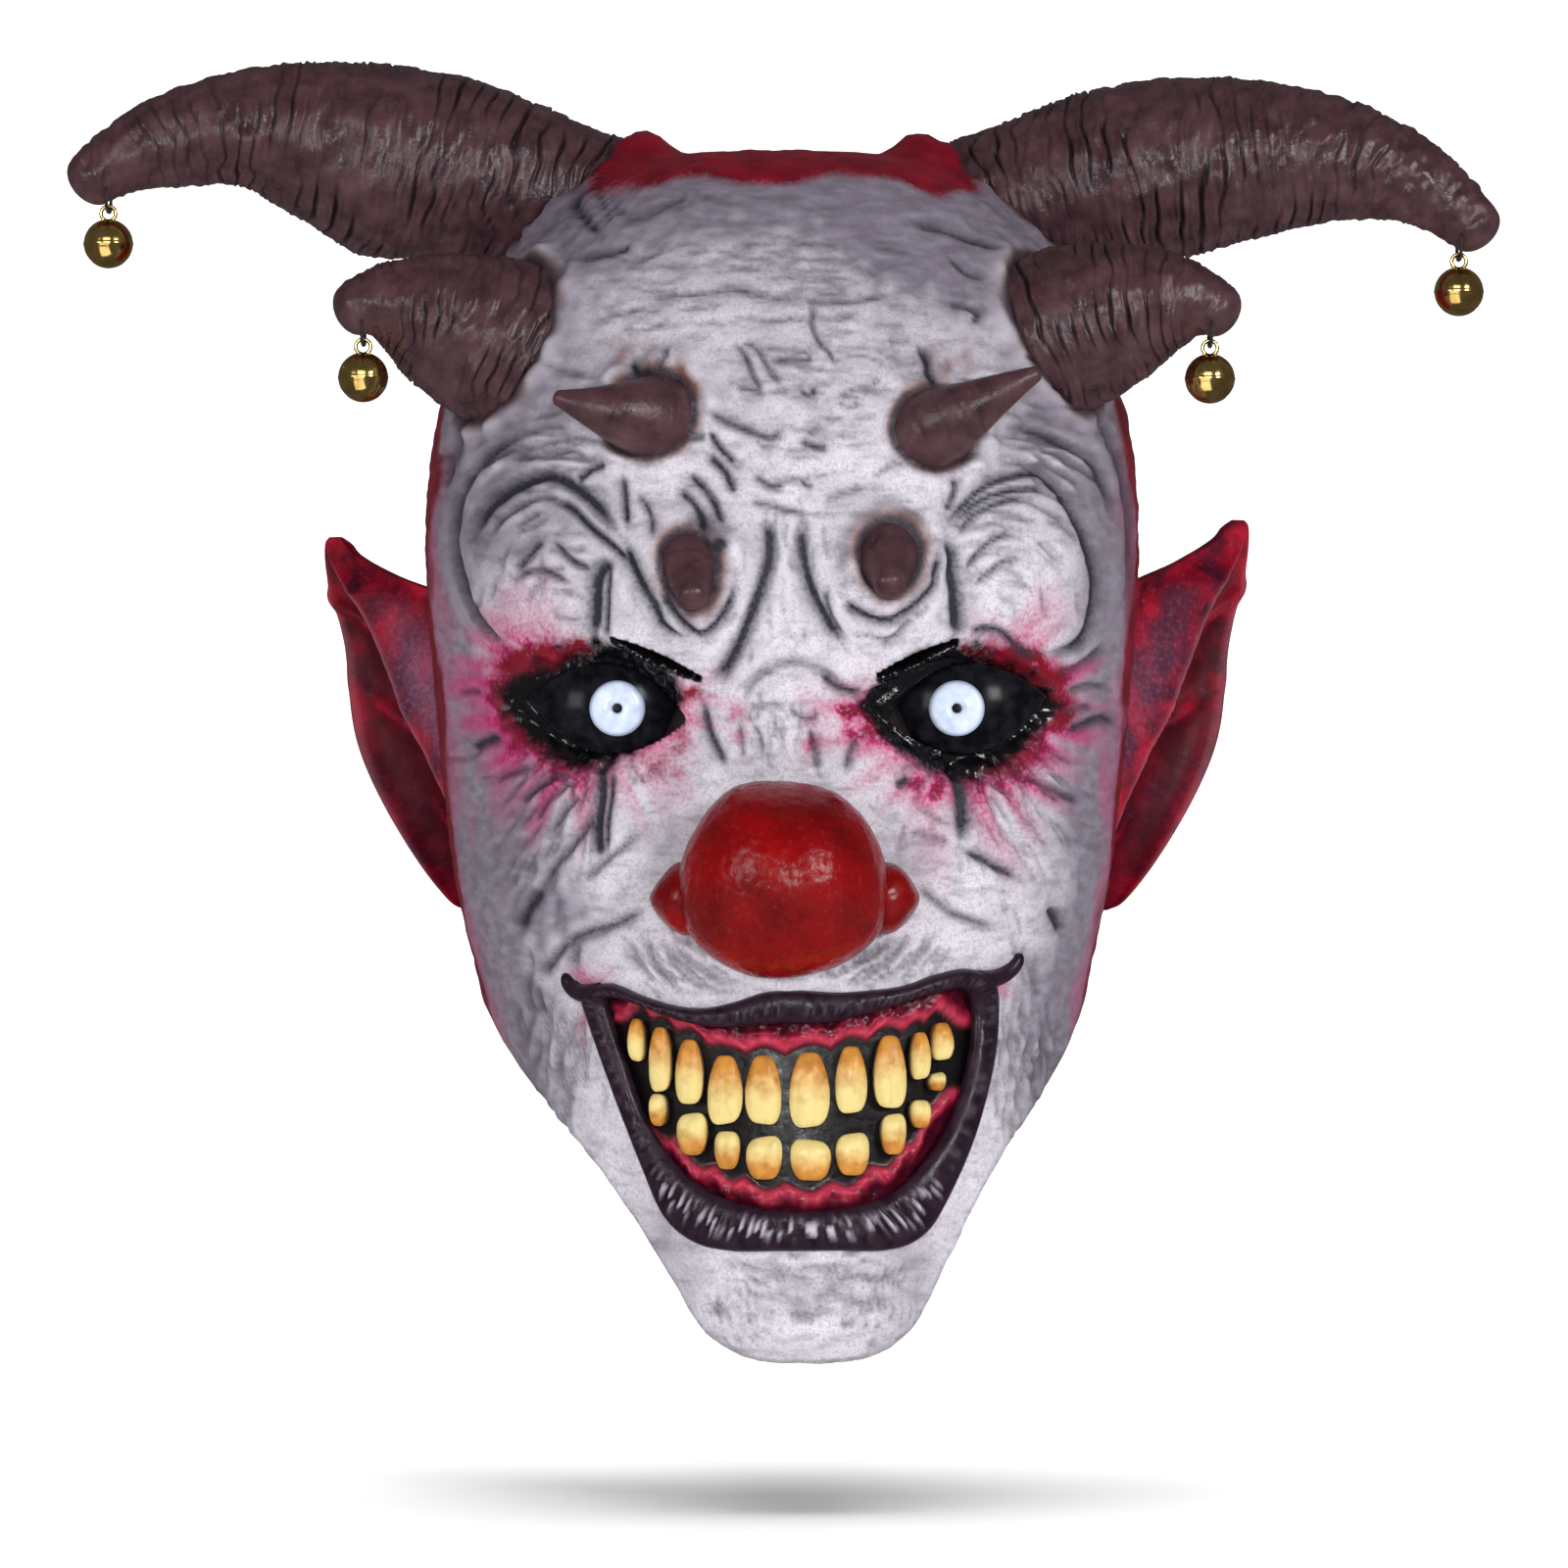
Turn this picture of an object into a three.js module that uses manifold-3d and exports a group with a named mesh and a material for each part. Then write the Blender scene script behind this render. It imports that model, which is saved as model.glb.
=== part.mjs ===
// Horned clown mask: a hollow latex hood with a sculpted face, horns, ears, a ball nose, teeth and bells.
// Millimetres, +Z up. The face looks along -Y and the wearer's left side is +X.
// The origin is the inside of the crown, where the mask sits on the top of the wearer's head.
import * as THREE from "three";
import { mergeVertices } from "three/addons/utils/BufferGeometryUtils.js";
import Module from "manifold-3d";

const wasm = await Module();
wasm.setup();

// Driving dimensions
const WALL = 2.2; // latex skin of the hood
const HORN_WALL = 2.6;
const GAP = 0.3; // clearance between neighbouring pieces
const CHIN_Z = -307.5;
const NAPE_Z = -214;
const ROUNDNESS = 0.86; // under 1 makes the horizontal sections squarer than an ellipse
const CROWN_SKEW = -1.2; // the sculpt leans: its crown is to -X of the middle and its chin to +X
const CHIN_SKEW = 5.2;
const SKEW_FROM_Z = -200;
const FRONT_FADE = 0.35; // relief fades out towards the sides of the head

// Horizontal sections from the crown to the chin. front and back are depths from the head's vertical axis.
const SECTIONS = [
  { z: WALL, halfWidth: 0, front: 0, back: 0 },
  { z: 0.2, halfWidth: 31, front: 28, back: 32 },
  { z: -7, halfWidth: 51, front: 48, back: 58 },
  { z: -20, halfWidth: 66, front: 63, back: 78 },
  { z: -40, halfWidth: 79, front: 77, back: 94 },
  { z: -64, halfWidth: 89, front: 87, back: 103 },
  { z: -88, halfWidth: 92.5, front: 92, back: 107 },
  { z: -112, halfWidth: 92.5, front: 94, back: 107 },
  { z: -132, halfWidth: 91, front: 93, back: 105 },
  { z: -150, halfWidth: 89.5, front: 92, back: 101 },
  { z: -168, halfWidth: 87.5, front: 93, back: 96 },
  { z: -188, halfWidth: 85, front: 96, back: 90 },
  { z: -208, halfWidth: 80.5, front: 99, back: 84 },
  { z: -230, halfWidth: 75.5, front: 101, back: 78 },
  { z: -252, halfWidth: 69.5, front: 102, back: 70 },
  { z: -275, halfWidth: 61, front: 102, back: 62 },
  { z: -297, halfWidth: 52, front: 100, back: 53 },
  { z: CHIN_Z, halfWidth: 43, front: 93, back: 44 },
];

// The neck rim, from the chin round each side to the nape. turn is the angle from the face in degrees.
const RIM = [
  { turn: 0, z: CHIN_Z },
  { turn: 14, z: -306.8 },
  { turn: 24, z: -303 },
  { turn: 30, z: -296 },
  { turn: 37, z: -276 },
  { turn: 45, z: -259 },
  { turn: 54, z: -247 },
  { turn: 66, z: -234.5 },
  { turn: 78, z: -222 },
  { turn: 92, z: -216 },
  { turn: 110, z: NAPE_Z },
  { turn: 180, z: NAPE_Z },
];

// Swellings and hollows of the face. x is the distance from the middle, so each off-centre row is a pair.
const RELIEF = [
  { form: "forehead", x: 0, z: -52, spreadX: 32, spreadZ: 24, height: 3 },
  { form: "temple", x: 78, z: -66, spreadX: 16, spreadZ: 26, height: -3 },
  { form: "brow_pouch", x: 25, z: -114, spreadX: 15, spreadZ: 17, height: 10 },
  { form: "nub_pit", x: 24.5, z: -107, spreadX: 7, spreadZ: 8, height: -7 },
  { form: "brow_arch", x: 59, z: -104, spreadX: 20, spreadZ: 19, height: 5 },
  { form: "eye_socket", x: 45, z: -143, spreadX: 22, spreadZ: 12, height: -8 },
  { form: "nose_root", x: 0, z: -142, spreadX: 12, spreadZ: 17, height: 5 },
  { form: "cheek", x: 55, z: -186, spreadX: 20, spreadZ: 16, height: 6 },
  { form: "upper_lip", x: 0, z: -207, spreadX: 34, spreadZ: 9, height: 4 },
  { form: "mouth_corner", x: 56, z: -219, spreadX: 7, spreadZ: 12, height: -3 },
  { form: "lip_crease", x: 0, z: -288, spreadX: 26, spreadZ: 4, height: -2.5 },
  { form: "chin", x: 0, z: -300, spreadX: 20, spreadZ: 10, height: 5 },
];

// The latex stands up in a lump beside the root of each large horn
const CROWN_LUMP = { x: 37, y: -4, spreadX: 7, spreadY: 12, height: 11 };

// Horns of each kind. neck is the waist at the root, and bellSeat is where a bell hangs, as shares.
const HORN_KINDS = {
  large: { tipRadius: 5.4, taperFrom: 0.25, taperTo: 1.18, neck: 0.16, rings: 12, sides: 10, bellSeat: 0.95 },
  side: { tipRadius: 5.8, taperFrom: 0.2, taperTo: 1.15, neck: 0, rings: 8, sides: 10, bellSeat: 0.93 },
  brow: { tipRadius: 1, taperFrom: 0, taperTo: 1.2, neck: 0, rings: 6, sides: 10 },
  nub: { tipRadius: 3.6, taperFrom: 0, taperTo: 1.2, neck: 0, rings: 3, sides: 10 },
};

// Each horn's centreline is a cubic curve from root to tip. left is +X.
const HORNS = [
  {
    kind: "large", word: "left", rootRadius: 24,
    root: [48, 8, -14], rise: [92, 4, -2], reach: [152, -8, 13.8], tip: [178.5, -14, -18.5],
  },
  {
    kind: "large", word: "right", rootRadius: 24.5,
    root: [-48, 8, -14], rise: [-92, 4, -1], reach: [-152, -8, 19.8], tip: [-180.5, -14, -6],
  },
  {
    kind: "side", word: "left", rootRadius: 21.5,
    root: [50, -39, -55], rise: [79, -43, -43], reach: [99, -47, -35], tip: [110.5, -50, -42],
  },
  {
    kind: "side", word: "right", rootRadius: 22,
    root: [-49, -39, -57], rise: [-81, -43, -49], reach: [-100, -47, -36], tip: [-110.5, -50, -41.5],
  },
  {
    kind: "brow", word: "left", rootRadius: 10.5,
    root: [27, -74, -77], rise: [38, -88, -73], reach: [50, -94, -66], tip: [62, -92, -60],
  },
  {
    kind: "brow", word: "right", rootRadius: 11,
    root: [-24, -74, -71], rise: [-36, -89, -71], reach: [-47, -95, -69], tip: [-57, -94, -66],
  },
  {
    kind: "nub", word: "left", rootRadius: 9.8,
    root: [25, -84, -104], rise: [25, -92, -106], reach: [25.5, -98, -109], tip: [25.5, -103, -113],
  },
  {
    kind: "nub", word: "right", rootRadius: 9.8,
    root: [-24, -84, -106], rise: [-24, -92, -109], reach: [-24, -98, -112], tip: [-23.5, -103, -116],
  },
];
const RIB_DEPTH = 0.7;
const NECK_SHARE = 0.3; // the waist reaches this far along a horn
const HOLLOW_FROM = 0.08; // the cavity of a large or side horn, as shares of its length
const HOLLOW_TO = 0.72;
const DOME_TURNS = [0.5, 1.05]; // rings of the round end of a horn, in radians from its rim

// Pointed ears: sections from the lobe to the tip, each from its root in the head to its outer edge.
// cup is how far the middle of a section is hollowed.
const EAR_SECTIONS = [
  { z: -193, rootX: 74, rootY: -4, outX: 89, outY: 10, cup: 2 },
  { z: -183, rootX: 74, rootY: -8, outX: 97, outY: 20, cup: 5 },
  { z: -170, rootX: 74, rootY: -10, outX: 105, outY: 29, cup: 8 },
  { z: -154, rootX: 74, rootY: -10, outX: 111, outY: 35, cup: 10 },
  { z: -138, rootX: 76, rootY: -9, outX: 115, outY: 38, cup: 10 },
  { z: -124, rootX: 82, rootY: -4, outX: 117.5, outY: 39, cup: 8 },
  { z: -112, rootX: 92, rootY: 6, outX: 119, outY: 38, cup: 5 },
  { z: -102, rootX: 108, rootY: 24, outX: 121, outY: 37, cup: 2 },
];
const EAR_TIP = { x: 122, y: 33, z: -94.5 };
const EAR_WALL = 3;
const EAR_STEPS = 6;

// Nose
const NOSE = { x: -0.5, y: -105, z: -186, halfWidth: 26.8, halfDepth: 25, halfHeight: 24.5, wall: 2.6 };
const NOSTRIL = { x: 25.6, y: -101, z: -190, radius: 8.2, halfHeight: 9 };

// Eyes: an eyeball cut to an almond, tilted so that its outer corner is higher, and a thin iris disc on it
const EYE = { x: 45, y: -62, z: -143.5, ballRadius: 24, halfLength: 20, halfHeight: 11, tilt: 0.15 };
const EYE_CUT_Y = -70; // the flat back of the visible part of the eyeball
const IRIS = { x: 42.6, radius: 7, pupilRadius: 1.3, thickness: 0.8 };
const SIGHT_SLIT = { innerX: 20, innerZ: -137, outerX: 45, outerZ: -126, halfHeight: 1.8, endShare: 0.3 };

// Mouth: the lip band runs between two outlines, and the gums close the opening behind it
// sag lowers the middle of the upper edge, bow lowers it on both sides of the middle
const LIP_OUTER = { halfWidth: 50.6, topZ: -212.3, bottomZ: -278.8, sag: 0, bow: 3 };
const LIP_INNER = { halfWidth: 44.6, topZ: -217.2, bottomZ: -267.7, sag: 5, bow: 0 };
const MOUTH_CUT = { halfWidth: 46.9, topZ: -215.4, bottomZ: -270.6, sag: 4, bow: 0 };
const GUM_EDGE = { halfWidth: 49.4, topZ: -213.6, bottomZ: -275.4, sag: 3, bow: 0 };
const MOUTH_FULLNESS = 2.3;
const LIP_RISE = 3.2;
const GUM_WALL = 2.2;
const TOOTH_DEPTH = 4.6;
const TOOTH_LIFT = 0.1; // how far a tooth's back is behind the inside of the latex, just clear of the gums
const TOOTH_SQUARENESS = 0.7; // under 1 makes a tooth squarer than an ellipse

// The layers of a tooth from its back to its face: distance out and size, as shares
const TOOTH_LAYERS = [
  { out: 0, size: 0.86 },
  { out: 0.55, size: 1 },
  { out: 0.9, size: 0.72 },
];

// Teeth, from the wearer's right to left: centre, width and height
const UPPER_TEETH = [
  { x: -37.6, z: -226.5, width: 4.1, height: 10.7 },
  { x: -31.7, z: -231.3, width: 5.6, height: 16.1 },
  { x: -24.4, z: -234.3, width: 6.8, height: 16.1 },
  { x: -15.4, z: -238.7, width: 8.4, height: 17.1 },
  { x: -5.9, z: -238.7, width: 8.6, height: 17.1 },
  { x: 5.6, z: -238.7, width: 9.6, height: 18.6 },
  { x: 16, z: -236.2, width: 7.6, height: 16.6 },
  { x: 25.7, z: -234.3, width: 8, height: 18.1 },
  { x: 33.4, z: -230.4, width: 5.1, height: 11.7 },
  { x: 38.8, z: -226.9, width: 5.7, height: 9.3 },
];
const LOWER_TEETH = [
  { x: -32.2, z: -244, width: 4.1, height: 8 },
  { x: -23.7, z: -249.9, width: 7.5, height: 10.5 },
  { x: -14.9, z: -253.8, width: 6.1, height: 9.5 },
  { x: -5.7, z: -255.7, width: 8.6, height: 10.7 },
  { x: 5.9, z: -256.2, width: 9.6, height: 10.2 },
  { x: 16.3, z: -254.8, width: 8, height: 10.5 },
  { x: 26.6, z: -249.9, width: 6.1, height: 10.1 },
  { x: 33.4, z: -245, width: 5.1, height: 7 },
  { x: 37.6, z: -237, width: 4.1, height: 4.5 },
];

// Jingle bells, hung by a thread loop through each long and side horn near its tip
const BELL = { radius: 6.4, wall: 0.6, slitWidth: 1.3, keyholeRadius: 1.3, keyholeAngle: 0.85 };
const BELL_LOOP = { radius: 1.9, wireRadius: 0.5 };
const TIE = { radius: 0.5, holeRadius: 1.1, holeLift: 4, drop: 3, corner: 1.6 };

// Facets
const HEAD_COLUMNS = 32;
const HEAD_ROWS = 22;
const FRONT_CROWDING = 0.5; // columns stand closer together on the face than on the back
const MOUTH_STEPS = 9;
const EYE_STEPS = 7;
const EYE_FACETS = { sides: 16, rings: 12 };
const NOSE_FACETS = { sides: 14, rings: 9 };
const NOSE_HOLLOW_FACETS = { sides: 9, rings: 5 };
const NOSTRIL_FACETS = { sides: 8, rings: 5 };
const BELL_FACETS = { sides: 10, rings: 6 };
const BELL_HOLLOW_FACETS = { sides: 7, rings: 4 };
const LOOP_FACETS = { sides: 4, rings: 7 };
const TOOTH_SIDES = 8;
const IRIS_SIDES = 12;
const SMALL_HOLE_SIDES = 6;
const TIE_SIDES = 5;
const WELD = 1e-4;

const COLOURS = {
  latex: { color: 0xcfc8cc, roughness: 0.6 },
  horn: { color: 0x53393a, roughness: 0.5 },
  ear: { color: 0x8e1c26, roughness: 0.5 },
  nose: { color: 0xa60d10, roughness: 0.35 },
  eye: { color: 0x08080a, roughness: 0.08 },
  iris: { color: 0xc6d9ee, roughness: 0.2 },
  gum: { color: 0x5a1020, roughness: 0.35 },
  lip: { color: 0x241822, roughness: 0.4 },
  tooth: { color: 0xe3b765, roughness: 0.35 },
  brass: { color: 0xb08a3c, roughness: 0.15, metalness: 1 },
  thread: { color: 0x0b0b0d, roughness: 0.9 },
};

const vec = (x, y, z) => new THREE.Vector3(x, y, z);
const range = (count) => Array.from({ length: count }, (_, i) => i);

// Solids and geometry

// Turns the faces of a closed geometry outwards.
function facingOut(geometry) {
  const place = geometry.getAttribute("position");
  const index = geometry.index.array;
  const corner = (i) => vec().fromBufferAttribute(place, index[i]);
  let volume = 0;
  for (let i = 0; i < index.length; i += 3) {
    volume += corner(i).dot(corner(i + 1).cross(corner(i + 2)));
  }
  if (volume < 0) index.reverse();
  return geometry;
}

// A closed skin over a stack of rings with equal point counts, closed by a point at each end.
// Every four-cornered patch is split along its shorter diagonal.
function skin(rings, firstPole, lastPole) {
  const sides = rings[0].length;
  const points = [firstPole, ...rings.flat(), lastPole];
  const lastIndex = points.length - 1;
  const at = (ring, side) => 1 + ring * sides + (side % sides);
  const faces = [];
  for (const j of range(sides)) {
    faces.push(0, at(0, j), at(0, j + 1));
    for (const i of range(rings.length - 1)) {
      const [a, b, c, d] = [at(i, j), at(i + 1, j), at(i + 1, j + 1), at(i, j + 1)];
      const falling = points[a].distanceTo(points[c]) < points[b].distanceTo(points[d]);
      faces.push(...(falling ? [a, b, c, a, c, d] : [a, b, d, b, c, d]));
    }
    faces.push(lastIndex, at(rings.length - 1, j + 1), at(rings.length - 1, j));
  }
  const geometry = new THREE.BufferGeometry().setFromPoints(points);
  geometry.setIndex(new THREE.BufferAttribute(new Uint32Array(faces), 1));
  return facingOut(geometry);
}

// A closed tube along a closed loop of points.
function loopTube(loop, radius, sides) {
  const count = loop.length;
  const sideways = vec(1, 0, 0);
  const faces = [];
  const points = loop.flatMap((point, i) => {
    const ahead = loop[(i + 1) % count].clone().sub(loop[(i + count - 1) % count]).normalize();
    const across = sideways.clone().cross(ahead);
    return range(sides).map((j) => {
      const turn = (2 * Math.PI * j) / sides;
      const aside = point.clone().addScaledVector(sideways, radius * Math.cos(turn));
      return aside.addScaledVector(across, radius * Math.sin(turn));
    });
  });
  const at = (i, j) => (i % count) * sides + (j % sides);
  for (const i of range(count)) {
    for (const j of range(sides)) {
      faces.push(at(i, j), at(i + 1, j), at(i + 1, j + 1));
      faces.push(at(i, j), at(i + 1, j + 1), at(i, j + 1));
    }
  }
  const geometry = new THREE.BufferGeometry().setFromPoints(points);
  geometry.setIndex(new THREE.BufferAttribute(new Uint32Array(faces), 1));
  return facingOut(geometry);
}

function solidFrom(geometry) {
  const loose = geometry.index ? geometry.toNonIndexed() : geometry;
  const bare = new THREE.BufferGeometry().setAttribute("position", loose.getAttribute("position"));
  const merged = mergeVertices(bare, WELD);
  return new wasm.Manifold(
    new wasm.Mesh({
      numProp: 3,
      vertProperties: merged.getAttribute("position").array,
      triVerts: new Uint32Array(merged.index.array),
    }),
  );
}

function geometryFrom(solid) {
  const mesh = solid.getMesh();
  const geometry = new THREE.BufferGeometry();
  geometry.setAttribute("position", new THREE.BufferAttribute(new Float32Array(mesh.vertProperties), 3));
  geometry.setIndex(new THREE.BufferAttribute(new Uint32Array(mesh.triVerts), 1));
  return geometry;
}

// An outline in the front view, pushed through from yFront to yBack.
function prism(outline, yFront, yBack) {
  const shape = new THREE.Shape(outline);
  const geometry = new THREE.ExtrudeGeometry(shape, { depth: yBack - yFront, bevelEnabled: false });
  return solidFrom(geometry.rotateX(Math.PI / 2).translate(0, yBack, 0));
}

function ellipsoid(centre, halfSizes, { sides, rings }) {
  const geometry = new THREE.SphereGeometry(1, sides, rings).rotateX(Math.PI / 2);
  return solidFrom(geometry.scale(...halfSizes).translate(...centre));
}

function cylinderAlongY(radius, x, z, yFront, yBack, sides) {
  const geometry = new THREE.CylinderGeometry(radius, radius, yBack - yFront, sides);
  return solidFrom(geometry.translate(x, (yFront + yBack) / 2, z));
}

// Head form

// A column's value at a fractional row, on a smooth curve through the rows. Widths mirror across the crown.
function sectionValue(column, row) {
  const last = SECTIONS.length - 1;
  const i = Math.min(Math.max(Math.floor(row), 0), last - 1);
  const t = row - i;
  const at = (k) => {
    if (k < 0) return column === "z" ? SECTIONS[1].z : -SECTIONS[1][column];
    return SECTIONS[Math.min(k, last)][column];
  };
  const [before, a, b, after] = [at(i - 1), at(i), at(i + 1), at(i + 2)];
  const slopeA = (b - before) / 2;
  const slopeB = (after - a) / 2;
  const bend = 2 * (a - b) + slopeA + slopeB;
  return a + t * (slopeA + t * (3 * (b - a) - 2 * slopeA - slopeB + t * bend));
}

// The fractional row at a height.
function rowAt(z) {
  let high = 0;
  let low = SECTIONS.length - 1;
  for (const _ of range(40)) {
    const middle = (high + low) / 2;
    if (sectionValue("z", middle) > z) high = middle;
    else low = middle;
  }
  return (high + low) / 2;
}

function rimHeight(azimuth) {
  const turn = Math.min(THREE.MathUtils.radToDeg(Math.abs(azimuth)), 180);
  const next = Math.max(RIM.findIndex((stop) => stop.turn >= turn), 1);
  const [a, b] = [RIM[next - 1], RIM[next]];
  return THREE.MathUtils.mapLinear(turn, a.turn, b.turn, a.z, b.z);
}

const rounded = (c) => Math.sign(c) * Math.abs(c) ** ROUNDNESS;

function relief(x, z) {
  return RELIEF.reduce((sum, form) => {
    const dx = (Math.abs(x) - form.x) / form.spreadX;
    const dz = (z - form.z) / form.spreadZ;
    return sum + form.height * Math.exp(-dx * dx - dz * dz);
  }, 0);
}

function skew(z) {
  const lean = THREE.MathUtils.smoothstep(SKEW_FROM_Z - z, 0, SKEW_FROM_Z - CHIN_Z);
  return THREE.MathUtils.lerp(CROWN_SKEW, CHIN_SKEW, lean);
}

// Azimuth 0 is the face and a quarter turn is the wearer's left side.
function headPoint(azimuth, row) {
  const side = Math.sin(azimuth);
  const ahead = Math.cos(azimuth);
  const z = sectionValue("z", row);
  const x = sectionValue("halfWidth", row) * rounded(side);
  const y = -sectionValue(ahead > 0 ? "front" : "back", row) * rounded(ahead);
  const push = relief(x, z) * THREE.MathUtils.smoothstep(ahead, 0, FRONT_FADE);
  const lumpX = (Math.abs(x) - CROWN_LUMP.x) / CROWN_LUMP.spreadX;
  const lumpY = (y - CROWN_LUMP.y) / CROWN_LUMP.spreadY;
  const lift = CROWN_LUMP.height * Math.exp(-lumpX * lumpX - lumpY * lumpY);
  return vec(x + push * side + skew(z), y - push * ahead, z + lift);
}

function headNormal(azimuth, row) {
  const [turnStep, rowStep] = [0.02, 0.06];
  const round = headPoint(azimuth + turnStep, row).sub(headPoint(azimuth - turnStep, row));
  const down = headPoint(azimuth, row + rowStep).sub(headPoint(azimuth, row - rowStep));
  return down.cross(round).normalize();
}

const AZIMUTHS = range(HEAD_COLUMNS).map((j) => {
  const t = (2 * j) / HEAD_COLUMNS - 1;
  return Math.PI * t - FRONT_CROWDING * Math.sin(Math.PI * t);
});

function headRings(offset) {
  return range(HEAD_ROWS).map((i) =>
    AZIMUTHS.map((azimuth) => {
      const row = (rowAt(rimHeight(azimuth)) * (i + 1)) / HEAD_ROWS;
      return headPoint(azimuth, row).addScaledVector(headNormal(azimuth, row), offset);
    }),
  );
}

// The head as a filled solid, its surface moved out by offset.
function headBlank(offset) {
  return solidFrom(skin(headRings(offset), vec(0, 0, WALL + offset), vec(0, 0, (NAPE_Z + CHIN_Z) / 2)));
}

// The face's front surface at a place in the front view.
function facePlace(x, z) {
  const row = rowAt(z);
  const share = Math.min(Math.abs(x - skew(z)) / sectionValue("halfWidth", row), 1);
  const azimuth = Math.asin(share ** (1 / ROUNDNESS)) * Math.sign(x);
  return { point: headPoint(azimuth, row), normal: headNormal(azimuth, row) };
}

// Outlines in the front view

function mouthOutline({ halfWidth, topZ, bottomZ, sag, bow }) {
  const full = (c) => Math.sign(c) * Math.abs(c) ** (2 / MOUTH_FULLNESS);
  const lower = range(2 * MOUTH_STEPS + 1).map((i) => {
    const turn = (Math.PI * i) / (2 * MOUTH_STEPS);
    const z = topZ + (bottomZ - topZ) * full(Math.sin(turn));
    return new THREE.Vector2(-halfWidth * full(Math.cos(turn)) + skew(z), z);
  });
  const upper = range(MOUTH_STEPS).map((i) => {
    const share = 1 - (2 * (i + 1)) / (MOUTH_STEPS + 1);
    const z = topZ - sag * (1 - share * share) - bow * Math.sin(Math.PI * Math.abs(share));
    return new THREE.Vector2(halfWidth * share + skew(z), z);
  });
  return [...lower, ...upper];
}

function almondOutline(side, grow) {
  const arc = (sign) =>
    range(EYE_STEPS).map((i) => {
      const share = sign * ((2 * i) / EYE_STEPS - 1);
      const rise = -sign * EYE.halfHeight * (1 - share * share);
      const along = (EYE.halfLength + grow) * share;
      const up = rise * (1 + grow / EYE.halfHeight);
      return new THREE.Vector2(side * (EYE.x + along - up * EYE.tilt), EYE.z + up + along * EYE.tilt);
    });
  return [...arc(1), ...arc(-1)];
}

function slitOutline(side) {
  const { innerX, innerZ, outerX, outerZ, halfHeight, endShare } = SIGHT_SLIT;
  const inner = { x: innerX, z: innerZ };
  const outer = { x: outerX, z: outerZ };
  const middle = { x: (innerX + outerX) / 2, z: (innerZ + outerZ) / 2 };
  const corners = [
    { ...inner, share: -endShare },
    { ...middle, share: -1 },
    { ...outer, share: -endShare },
    { ...outer, share: endShare },
    { ...middle, share: 1 },
    { ...inner, share: endShare },
  ];
  return corners.map(({ x, z, share }) => new THREE.Vector2(side * x, z + share * halfHeight));
}

const FRONT_Y = -170;
const EYE_BACK_Y = -30;
const MOUTH_BACK_Y = -70;
const SIDES = [
  { word: "left", side: 1 },
  { word: "right", side: -1 },
];

// Pieces

function faceShell() {
  const outer = headRings(0);
  const inner = headRings(-WALL).reverse();
  let shell = solidFrom(skin([...outer, ...inner], vec(0, 0, WALL), vec(0, 0, 0)));
  shell = shell.subtract(prism(mouthOutline(MOUTH_CUT), FRONT_Y, MOUTH_BACK_Y));
  for (const { side } of SIDES) {
    shell = shell.subtract(prism(almondOutline(side, GAP), FRONT_Y, EYE_BACK_Y));
    shell = shell.subtract(prism(slitOutline(side), FRONT_Y, EYE_BACK_Y));
  }
  return shell;
}

function centreline({ root, rise, reach, tip }) {
  return new THREE.CubicBezierCurve3(vec(...root), vec(...rise), vec(...reach), vec(...tip));
}

// Rings along a horn's centreline between two shares of its length, with a round end towards the tip.
// inset shrinks the horn for its cavity.
function hornSkin(horn, inset, from, to) {
  const curve = centreline(horn);
  const frames = curve.computeFrenetFrames(horn.rings);
  const ring = (centre, step, radius) =>
    range(horn.sides).map((j) => {
      const turn = (2 * Math.PI * j) / horn.sides;
      const out = frames.normals[step].clone().multiplyScalar(Math.cos(turn));
      out.addScaledVector(frames.binormals[step], Math.sin(turn));
      return centre.clone().addScaledVector(out, radius);
    });
  const firstStep = Math.round(horn.rings * from);
  const lastStep = Math.round(horn.rings * to);
  const radiusAt = (step) => {
    const share = THREE.MathUtils.smoothstep(step / horn.rings, horn.taperFrom, horn.taperTo);
    const rib = horn.bellSeat && step < horn.rings ? RIB_DEPTH * (step % 2) : 0;
    const neck = 1 - horn.neck * (1 - THREE.MathUtils.smoothstep(step / horn.rings, 0, NECK_SHARE));
    return THREE.MathUtils.lerp(horn.rootRadius, horn.tipRadius, share) * neck - rib - inset;
  };
  const steps = range(lastStep - firstStep + 1).map((i) => firstStep + i);
  const rings = steps.map((step) => ring(curve.getPoint(step / horn.rings), step, radiusAt(step)));
  const end = curve.getPoint(lastStep / horn.rings);
  const endRadius = radiusAt(lastStep);
  const ahead = (share) => end.clone().addScaledVector(frames.tangents[lastStep], endRadius * share);
  for (const turn of DOME_TURNS) {
    rings.push(ring(ahead(Math.sin(turn)), lastStep, endRadius * Math.cos(turn)));
  }
  return solidFrom(skin(rings, curve.getPoint(firstStep / horn.rings), ahead(1)));
}

function hornBody(horn, blank) {
  let body = hornSkin(horn, 0, 0, 1);
  if (horn.bellSeat) body = body.subtract(hornSkin(horn, HORN_WALL, HOLLOW_FROM, HOLLOW_TO));
  return body.subtract(blank);
}

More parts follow.
